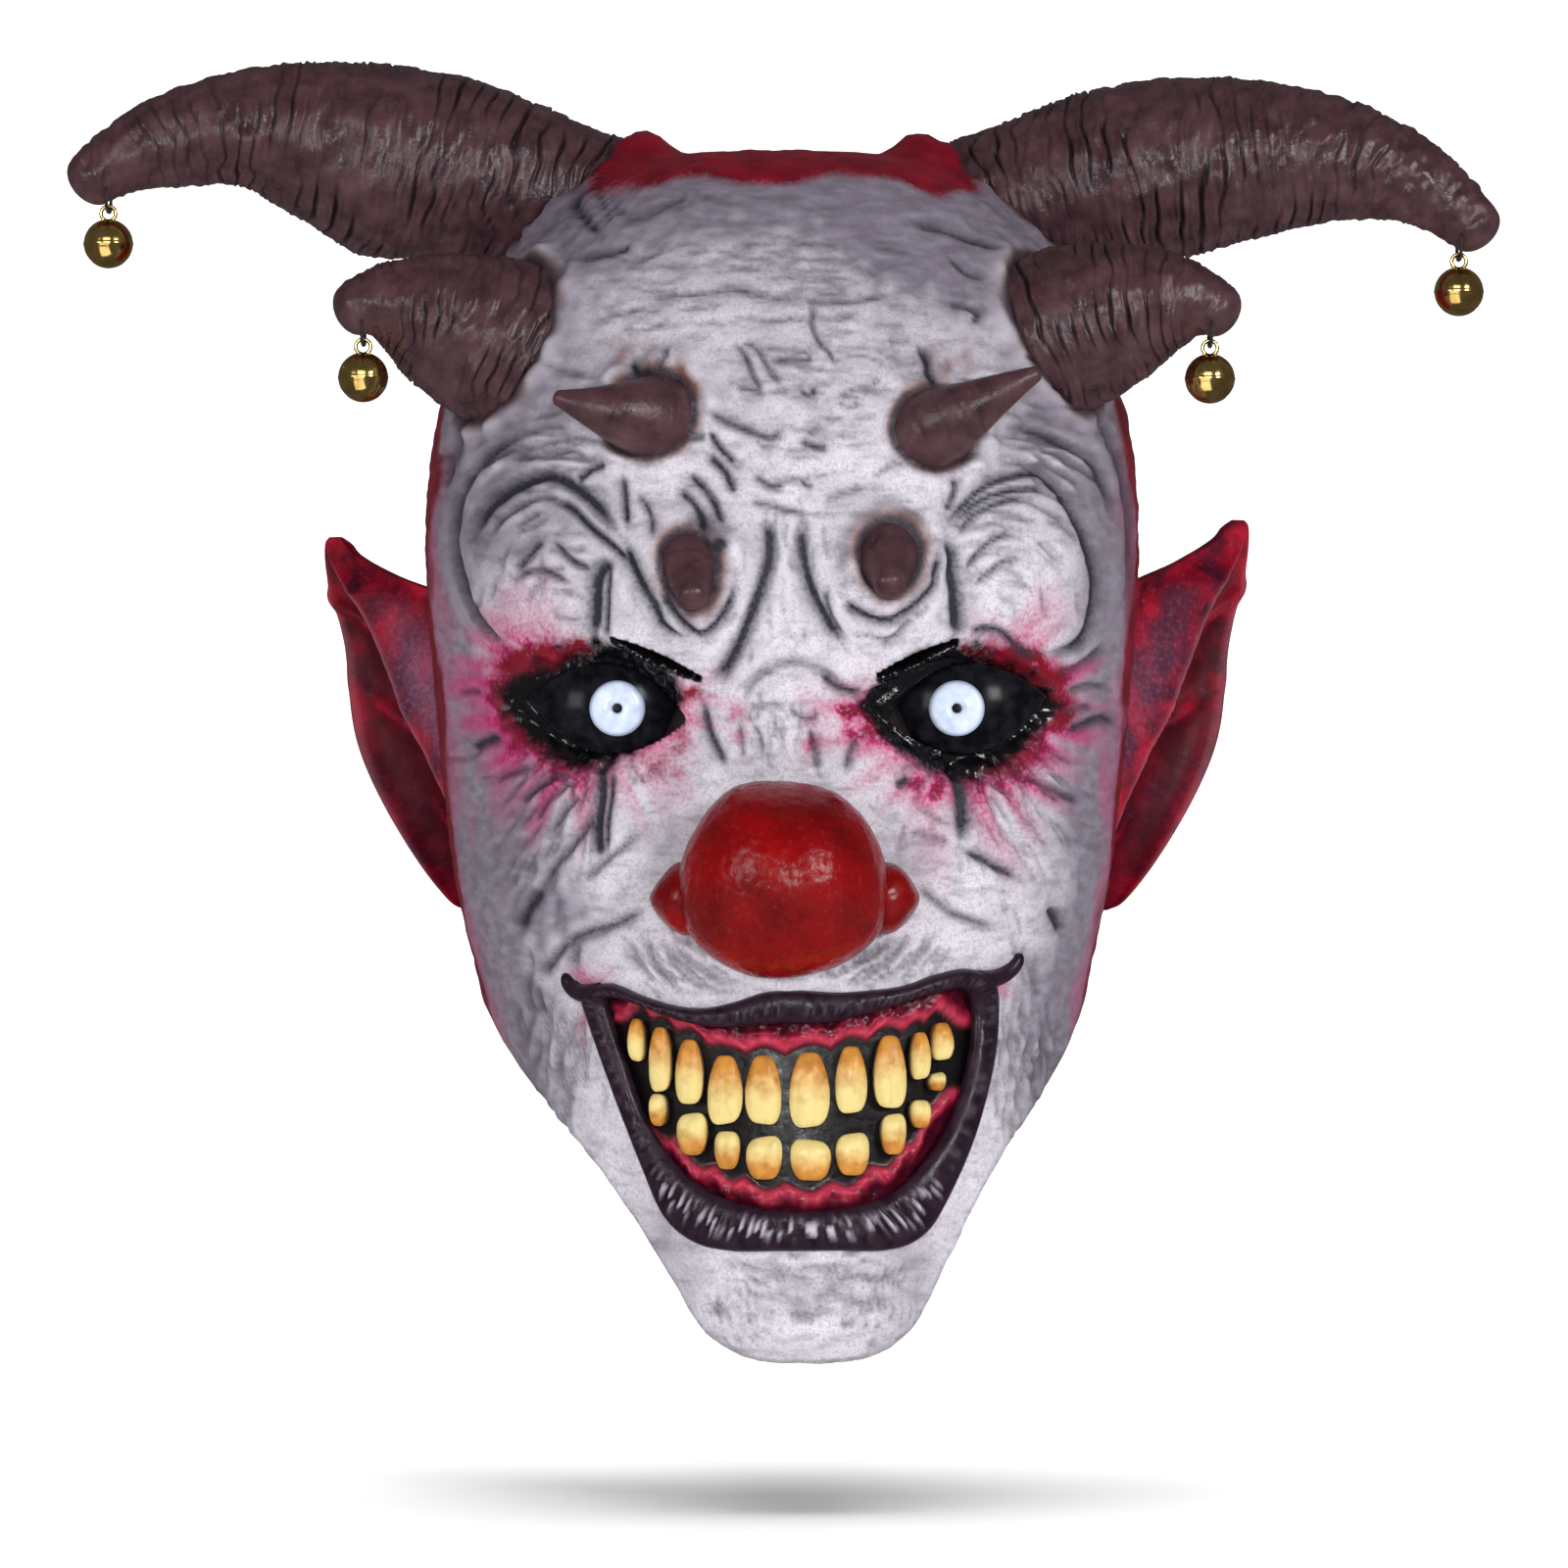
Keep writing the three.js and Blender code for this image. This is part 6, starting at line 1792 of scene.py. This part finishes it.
roll, roll_fold, roll_streak = lip_roll()
lip_points, lip_faces = [roll], [loop_faces(len(lip_outer), LIP_SIDES)[:, ::-1]]
for curl in CURLS:
    tube, rows, caps = curl_tube(curl)
    lip_faces += capped_faces(rows, CURL_SIDES, first=sum(len(group) for group in lip_points))
    lip_points += [tube, caps]
lips = make_piece("black_lips", np.concatenate(lip_points), *lip_faces)
spare = np.zeros(sum(len(group) for group in lip_points) - len(roll_fold))
lay_paint(lips, fold=np.concatenate([-0.5 * roll_fold, spare]), streak=np.concatenate([roll_streak, spare]))
print("lips:", len(lips.data.vertices), "points")


# %% Lip finish
def lip_finish():
    finish, tree = start_finish("black_purple_lip", Specular_IOR_Level=0.24)
    mottle = grain(tree, 260, 4.0)
    colour = over(tree, varied(tree, mottle), (0.013, 0.005, 0.011), (0.030, 0.014, 0.027))
    colour = over(tree, thinned(tree, "fold", 0.8), colour, (0.006, 0.003, 0.006))
    # Painted highlights on the lower lip.
    colour = over(tree, thinned(tree, "streak", 0.9), colour, (0.58, 0.53, 0.62))
    roughness = varied(tree, mottle, 0.24, 0.42)
    return complete(finish, grain(tree, 900, 3.0), 0.2, 0.35, Base_Color=colour, Roughness=roughness)


settle(lips, lip_finish(), "lip_latex", "mask", "lips")

# %% [markdown]
# ## Teeth
# The teeth are crooked, rounded slabs that narrow towards the root. Each is a squared-off ring stepped
# outwards to a rounded face, and its biting edge slants a little at random. The paint goes from amber at
# the root to cream at the biting edge.

# %% Teeth
Tooth = namedtuple("Tooth", "x z width height")
UPPER_TEETH = [Tooth(*row) for row in (
    (-37.6, -226.5, 4.1, 10.7),
    (-31.7, -231.3, 5.6, 16.1),
    (-24.4, -234.3, 6.8, 16.1),
    (-15.4, -238.7, 8.4, 17.1),
    (-5.9, -238.7, 8.6, 17.1),
    (5.6, -238.7, 9.6, 18.6),
    (16, -236.2, 7.6, 16.6),
    (25.7, -234.3, 8, 18.1),
    (33.4, -230.4, 5.1, 11.7),
    (38.8, -226.9, 5.7, 9.3),
)]
LOWER_TEETH = [Tooth(*row) for row in (
    (-32.2, -244, 4.1, 8),
    (-23.7, -249.9, 7.5, 10.5),
    (-14.9, -253.8, 6.1, 9.5),
    (-5.7, -255.7, 8.6, 10.7),
    (5.9, -256.2, 9.6, 10.2),
    (16.3, -254.8, 8, 10.5),
    (26.6, -249.9, 6.1, 10.1),
    (33.4, -245, 5.1, 7),
    (37.6, -237, 4.1, 4.5),
)]
print("teeth:", len(UPPER_TEETH), "above,", len(LOWER_TEETH), "below")

# %% Tooth shape
TOOTH_DEPTH = 4.6
TOOTH_BACK = 2.3
TOOTH_LAYERS, TOOTH_SIDES = 15, 48
TOOTH_FULL, UPPER_PINCH, LOWER_PINCH, EDGE_PINCH = 1.06, 0.33, 0.2, 0.05
TOOTH_SQUARENESS_UP, TOOTH_SQUARENESS_ACROSS = 0.6, 0.52
TOOTH_SLOPE = 0.2
TOOTH_SEED = 70


def face_place(x, z):
    """The plain face at a place in the x-z plane."""
    turn, row = face_turn(x, z)
    return head_point(turn, row), head_normal(turn, row)


def tooth_piece(name, tooth, root_up, seed):
    draw = np.random.default_rng(seed)
    turn = circle(TOOTH_SIDES)
    tall = rounded(np.sin(turn), TOOTH_SQUARENESS_UP)
    toward_root = tall * root_up
    pinch = UPPER_PINCH if root_up > 0 else LOWER_PINCH
    narrow = TOOTH_FULL - pinch * smooth(toward_root, -0.1, 1.05) - EDGE_PINCH * smooth(-toward_root, 0.4, 1)
    wide = rounded(np.cos(turn), TOOTH_SQUARENESS_ACROSS) * narrow
    front = np.linspace(0.985, 0.05, TOOTH_LAYERS - 3)
    size = np.concatenate([[0.94, 0.98, 1.0], front])
    out = np.concatenate([[0, 0.3, 0.55], 1 - 0.4 * front**4])
    slope = draw.uniform(-TOOTH_SLOPE, TOOTH_SLOPE)
    x = size[:, None] * wide * tooth.width / 2
    z = size[:, None] * tall * tooth.height / 2
    z = z + slope * x * (toward_root < 0)
    y = -TOOTH_DEPTH * np.broadcast_to(out[:, None], x.shape)
    flat = np.stack([x, y, z], axis=-1).reshape(-1, 3)
    dents = 0.12 * ripple(flat * (1, 1, 0.35), 4.5, seed)
    flat[:, 1] -= dents * np.repeat(out, TOOTH_SIDES)
    centre, normal = face_place(np.array(tooth.x), np.array(tooth.z))
    tilt = Vector((0, -1, 0)).rotation_difference(Vector(normal)).to_matrix()
    place = centre - normal * TOOTH_BACK
    caps = np.array([[0, 0, 0], [0, -TOOTH_DEPTH, 0]])
    local = np.concatenate([flat, caps])
    points = local @ np.array(tilt).T + place
    piece = make_piece(name, points, *capped_faces(TOOTH_LAYERS, TOOTH_SIDES, inside_out=True))
    root = 0.5 + 0.5 * root_up * local[:, 2] / (tooth.height / 2)
    edge = np.concatenate([np.repeat(1 - smooth(out, 0.35, 0.8), TOOTH_SIDES), [1, 0]])
    lay_paint(piece, root=root, edge=edge)
    return piece


# %% Tooth finish
def tooth_finish():
    finish, tree = start_finish("amber_tooth", Specular_IOR_Level=0.3)
    cloud = grain(tree, 300, 4.0)
    streaks = grain(tree, 700, 3.0, stretch=(1, 1, 0.2))
    stain = combine(tree, "ADD", painted(tree, "root"), varied(tree, cloud, -0.12, 0.12))
    cream = over(tree, ramp(tree, streaks, 0.5, 0.75, 0, 0.45), (0.74, 0.59, 0.23), (0.56, 0.40, 0.135))
    amber = over(tree, ramp(tree, cloud, 0.4, 0.7), (0.62, 0.27, 0.045), (0.42, 0.16, 0.026))
    colour = over(tree, ramp(tree, stain, 0.34, 0.74), cream, amber)
    colour = over(tree, ramp(tree, painted(tree, "edge"), 0.6, 1, 0, 0.8), colour, (0.10, 0.045, 0.02))
    return complete(finish, streaks, 0.2, 0.4, Base_Color=colour, Roughness=varied(tree, cloud, 0.24, 0.42))


amber_tooth = tooth_finish()
for row_word, teeth, root_up in (("upper", UPPER_TEETH, 1), ("lower", LOWER_TEETH, -1)):
    for number, tooth in enumerate(teeth, 1):
        piece = tooth_piece(f"{row_word}_tooth_{number}", tooth, root_up, TOOTH_SEED + number)
        settle(piece, amber_tooth, "tooth_paint", "mask", f"tooth_{row_word}_{number}")

# %% [markdown]
# ## Gums
# Behind the teeth is a plate that is black where the mouth is open and crimson along the gums, and the gum
# darkens to a painted shadow towards the lips. The gum swells in a scallop over each root. The plate is a
# grid inside the mouth outline, so the scallops are humps at the teeth's own places.

# %% Gums
GUM_RINGS = 46
GUM_GROW = 1.045
GUM_FRONT, GUM_BACK = 2.9, 5.0
GUM_MIDDLE = np.array([1.0, -243.0])
SCALLOP_RISE, SCALLOP_WIDTH = 4.3, 1.2
ROOT_REACH, ROOT_WIDTH = 0.42, 0.62


def gum_plate():
    """Front points of the plate, from its middle out to its edge behind the lips."""
    edge = (lip_outer + lip_inner) / 2
    edge = GUM_MIDDLE + (edge - GUM_MIDDLE) * GUM_GROW
    share = np.linspace(0.03, 1, GUM_RINGS)
    return GUM_MIDDLE + share[:, None, None] * (edge - GUM_MIDDLE)


def tooth_roots(teeth, root_up):
    """Where each root ends in the front view, and its half width."""
    for tooth in teeth:
        end, _ = face_place(np.array(tooth.x), np.array(tooth.z + root_up * tooth.height * ROOT_REACH))
        yield front_view(end), tooth.width * ROOT_WIDTH


gum_seen = gum_plate()
flat_seen = gum_seen.reshape(-1, 2)
flesh = np.zeros(len(flat_seen))
scallop = np.full(len(flat_seen), -99.0)
for teeth, root_up in ((UPPER_TEETH, 1), (LOWER_TEETH, -1)):
    ends = [place for place, _ in tooth_roots(teeth, root_up)]
    order = np.argsort([end[0] for end in ends])
    line = np.interp(flat_seen[:, 0], np.array(ends)[order, 0], np.array(ends)[order, 1])
    beyond = (flat_seen[:, 1] - line) * root_up
    arches = np.zeros(len(flat_seen))
    for end, half_width in tooth_roots(teeth, root_up):
        arch = SCALLOP_RISE * hump(flat_seen[:, 0] - end[0], half_width * SCALLOP_WIDTH)
        arches = np.maximum(arches, arch)
    flesh = np.maximum(flesh, smooth(beyond - arches, -0.8, 0.8))
    scallop = np.maximum(scallop, beyond - arches)
base, normal = on_face(flat_seen)
swell = 1.5 * flesh * hump(scallop - 2.2, 3.5) + 0.2 * flesh * ripple(flat_seen, 3, seed=90)
front = base - normal * (GUM_FRONT - swell)[:, None]
back = base - normal * GUM_BACK
rings = np.concatenate([front.reshape(*gum_seen.shape[:2], 3), back.reshape(*gum_seen.shape[:2], 3)[-1:]])
middle, middle_normal = on_face(GUM_MIDDLE[None])
hubs = np.concatenate([middle - GUM_FRONT * middle_normal, middle - GUM_BACK * middle_normal])
gums = make_tube("crimson_gums", rings, hubs, inside_out=True)
# The gum darkens away from the teeth towards the lips, a painted shadow.
paints = {"flesh": flesh, "line": hump(scallop - 0.6, 1.0), "gum_shadow": smooth(scallop, 1.4, 5.0)}
for name, value in paints.items():
    lay_paint(gums, **{name: np.concatenate([value, value[-len(lip_outer) :], [0, 0]])})
print("gums:", len(gums.data.vertices), "points")


# %% Gum finish
def gum_finish():
    finish, tree = start_finish("crimson_gum", Specular_IOR_Level=0.25)
    mottle = grain(tree, 320, 4.0)
    crimson = over(tree, varied(tree, mottle), (0.14, 0.002, 0.014), (0.46, 0.012, 0.05))
    colour = over(tree, broken(tree, painted(tree, "flesh"), mottle, 0.3), (0.008, 0.006, 0.007), crimson)
    # Painted shadow on the gum towards the lips.
    colour = over(tree, thinned(tree, "gum_shadow", 0.9), colour, (0.035, 0.003, 0.010))
    colour = over(tree, thinned(tree, "line", 0.6), colour, (0.60, 0.06, 0.11))
    return complete(finish, mottle, 0.4, 0.5, Base_Color=colour, Roughness=varied(tree, mottle, 0.22, 0.42))


settle(gums, gum_finish(), "gum_latex", "mask", "gums")

# %% [markdown]
# ## Bells
# A jingle bell is two pressed brass cups crimped together at a seam, with a slit across the lower cup that
# ends in two round holes, and a wire loop on top. The slit is left open in the grid, and the wall is folded
# inwards. Each bell hangs from a black thread through its horn and swings on it, so it rides on its own
# body.

# %% Bells
BELL_RADIUS, BELL_WALL = 6.4, 0.5
SLIT_HALF_WIDTH, HOLE_RADIUS, HOLE_ANGLE = 0.65, 1.3, 0.85
SEAM_WIDTH, SEAM_HEIGHT = 0.35, 0.14
LOOP_RADIUS, LOOP_WIRE = 1.9, 0.5
BELL_RINGS, BELL_SIDES = 72, 96


def bell_open(way):
    """Whether directions from the bell's centre are in its slit or in one of its two holes."""
    x, y, z = way.T * BELL_RADIUS
    reach = BELL_RADIUS * np.sin(HOLE_ANGLE)
    slit = (np.abs(y) < SLIT_HALF_WIDTH) & (np.abs(x) < reach)
    holes = np.hypot(np.abs(x) - reach, y) < HOLE_RADIUS
    return (slit | holes) & (z < 0)


def bell_shell():
    """Points and faces of the two cups, with their inside and the edge of the slit."""
    way = ball_ways(BELL_RINGS, BELL_SIDES)
    seam = SEAM_HEIGHT * hump(way[:, 2] * BELL_RADIUS, SEAM_WIDTH)
    outer, inner = way * (BELL_RADIUS + seam)[:, None], way * (BELL_RADIUS - BELL_WALL)
    faces = [face for group in capped_faces(BELL_RINGS, BELL_SIDES) for face in group.tolist()]
    gone = bell_open(way)
    kept = [face for face in faces if not gone[face].all()]
    edges = {edge: True for face in kept for edge in zip(face, face[1:] + face[:1])}
    shift = len(way)
    lining = [[corner + shift for corner in reversed(face)] for face in kept]
    rims = [[b, a, a + shift, b + shift] for a, b in edges if (b, a) not in edges]
    return np.concatenate([outer, inner]), [kept, lining, rims]


def ring_tube(radius, wire, sides=14, steps=40):
    """A wire ring that stands in the x-z plane."""
    turn = circle(steps)[:, None]
    across = circle(sides)[None, :]
    reach = radius + wire * np.cos(across)
    points = np.broadcast_arrays(reach * np.cos(turn), wire * np.sin(across), reach * np.sin(turn))
    return np.stack(points, axis=-1).reshape(-1, 3), loop_faces(steps, sides)


def bell_piece(place):
    low, high = (np.array(corner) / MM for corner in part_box(f"bell_{place}"))
    centre = np.array([*(low + high)[:2] / 2, low[2] + BELL_RADIUS])
    shell, groups = bell_shell()
    wire, wire_faces = ring_tube(LOOP_RADIUS, LOOP_WIRE)
    wire = wire + (0, 0, BELL_RADIUS + LOOP_RADIUS - LOOP_WIRE)
    groups.append((wire_faces + len(shell)).tolist())
    points, groups, _ = only_used(np.concatenate([shell, wire]), groups)
    return make_piece(f"jingle_bell_{place}", points + centre, *groups)


# %% Bell finish
def brass_finish():
    finish, tree = start_finish("polished_brass", Metallic=1.0)
    cloud = grain(tree, 300, 4.0)
    scratch = grain(tree, 1500, 3.0, stretch=(1, 1, 0.1))
    colour = over(tree, ramp(tree, cloud, 0.35, 0.7), (0.74, 0.51, 0.17), (0.50, 0.32, 0.09))
    roughness = ramp(tree, scratch, 0.4, 0.8, 0.12, 0.22)
    return complete(finish, scratch, 0.05, 0.25, Base_Color=colour, Roughness=roughness)


brass = brass_finish()
BELL_PLACES = ["large_left", "large_right", "side_left", "side_right"]
for place in BELL_PLACES:
    bell = bell_piece(place)
    settle(bell, brass, "bell_brass", f"{place}_bell", f"bell_{place}")
    lit_alone["bells"].objects.link(bell)

# %% [markdown]
# ## Threads
# The thread is two twisted strands in a closed loop: through the hole in the horn and round under it. A
# tube whose radius rises and falls along a spiral looks twisted without modelling the strands apart.

# %% Threads
THREAD_RADIUS = 0.5
LOOP_STEPS, LOOP_SQUARENESS = 97, 0.8
THREAD_STEPS, THREAD_SIDES = 260, 12
TWIST_PITCH, TWIST_DEPTH = 1.6, 0.16


def thread_piece(place):
    low, high = (np.array(corner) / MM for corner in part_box(f"tie_{place}"))
    middle = (low + high) / 2
    half = (high - low) / 2 - THREAD_RADIUS
    turn = np.linspace(0, 2 * np.pi, LOOP_STEPS)
    way = np.stack([np.zeros(LOOP_STEPS), np.cos(turn), np.sin(turn)], axis=1)
    loop = half * rounded(way, LOOP_SQUARENESS)
    length = np.concatenate([[0], np.linalg.norm(np.diff(loop, axis=0), axis=1).cumsum()])
    even = np.linspace(0, length[-1], THREAD_STEPS, endpoint=False)
    line = np.stack([np.interp(even, length, loop[:, k]) for k in range(3)], axis=1)
    ahead = unit(np.roll(line, -1, axis=0) - np.roll(line, 1, axis=0))
    aside = np.array([1.0, 0, 0])
    upward = np.cross(aside, ahead)
    turn = circle(THREAD_SIDES)
    turns = round(length[-1] / TWIST_PITCH)
    twist = 2 * (turn[None, :] - even[:, None] / length[-1] * 2 * np.pi * turns)
    radius = THREAD_RADIUS * (1 - TWIST_DEPTH + TWIST_DEPTH * np.cos(twist))
    out = spokes(turn, aside[None], upward)
    points = middle + line[:, None] + out * radius[..., None]
    return make_piece(f"bell_thread_{place}", points.reshape(-1, 3), loop_faces(THREAD_STEPS, THREAD_SIDES))


def thread_finish():
    finish, tree = start_finish("waxed_thread", Sheen_Weight=0.03)
    fibre = grain(tree, 2500, 3.0)
    colour = over(tree, ramp(tree, fibre, 0.4, 0.7), (0.006, 0.006, 0.007), (0.03, 0.028, 0.03))
    return complete(finish, fibre, 0.1, 0.5, Base_Color=colour, Roughness=varied(tree, fibre, 0.45, 0.75))


waxed_thread = thread_finish()
for place in BELL_PLACES:
    settle(thread_piece(place), waxed_thread, "tie_thread", "mask", f"tie_{place}")

new_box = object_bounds()
sizes = {"cad": [list(corner) for corner in cad_box], "visual": [list(corner) for corner in new_box]}
for name, box in sizes.items():
    print(name, "box:", [[round(c / MM, 1) for c in corner] for corner in box])
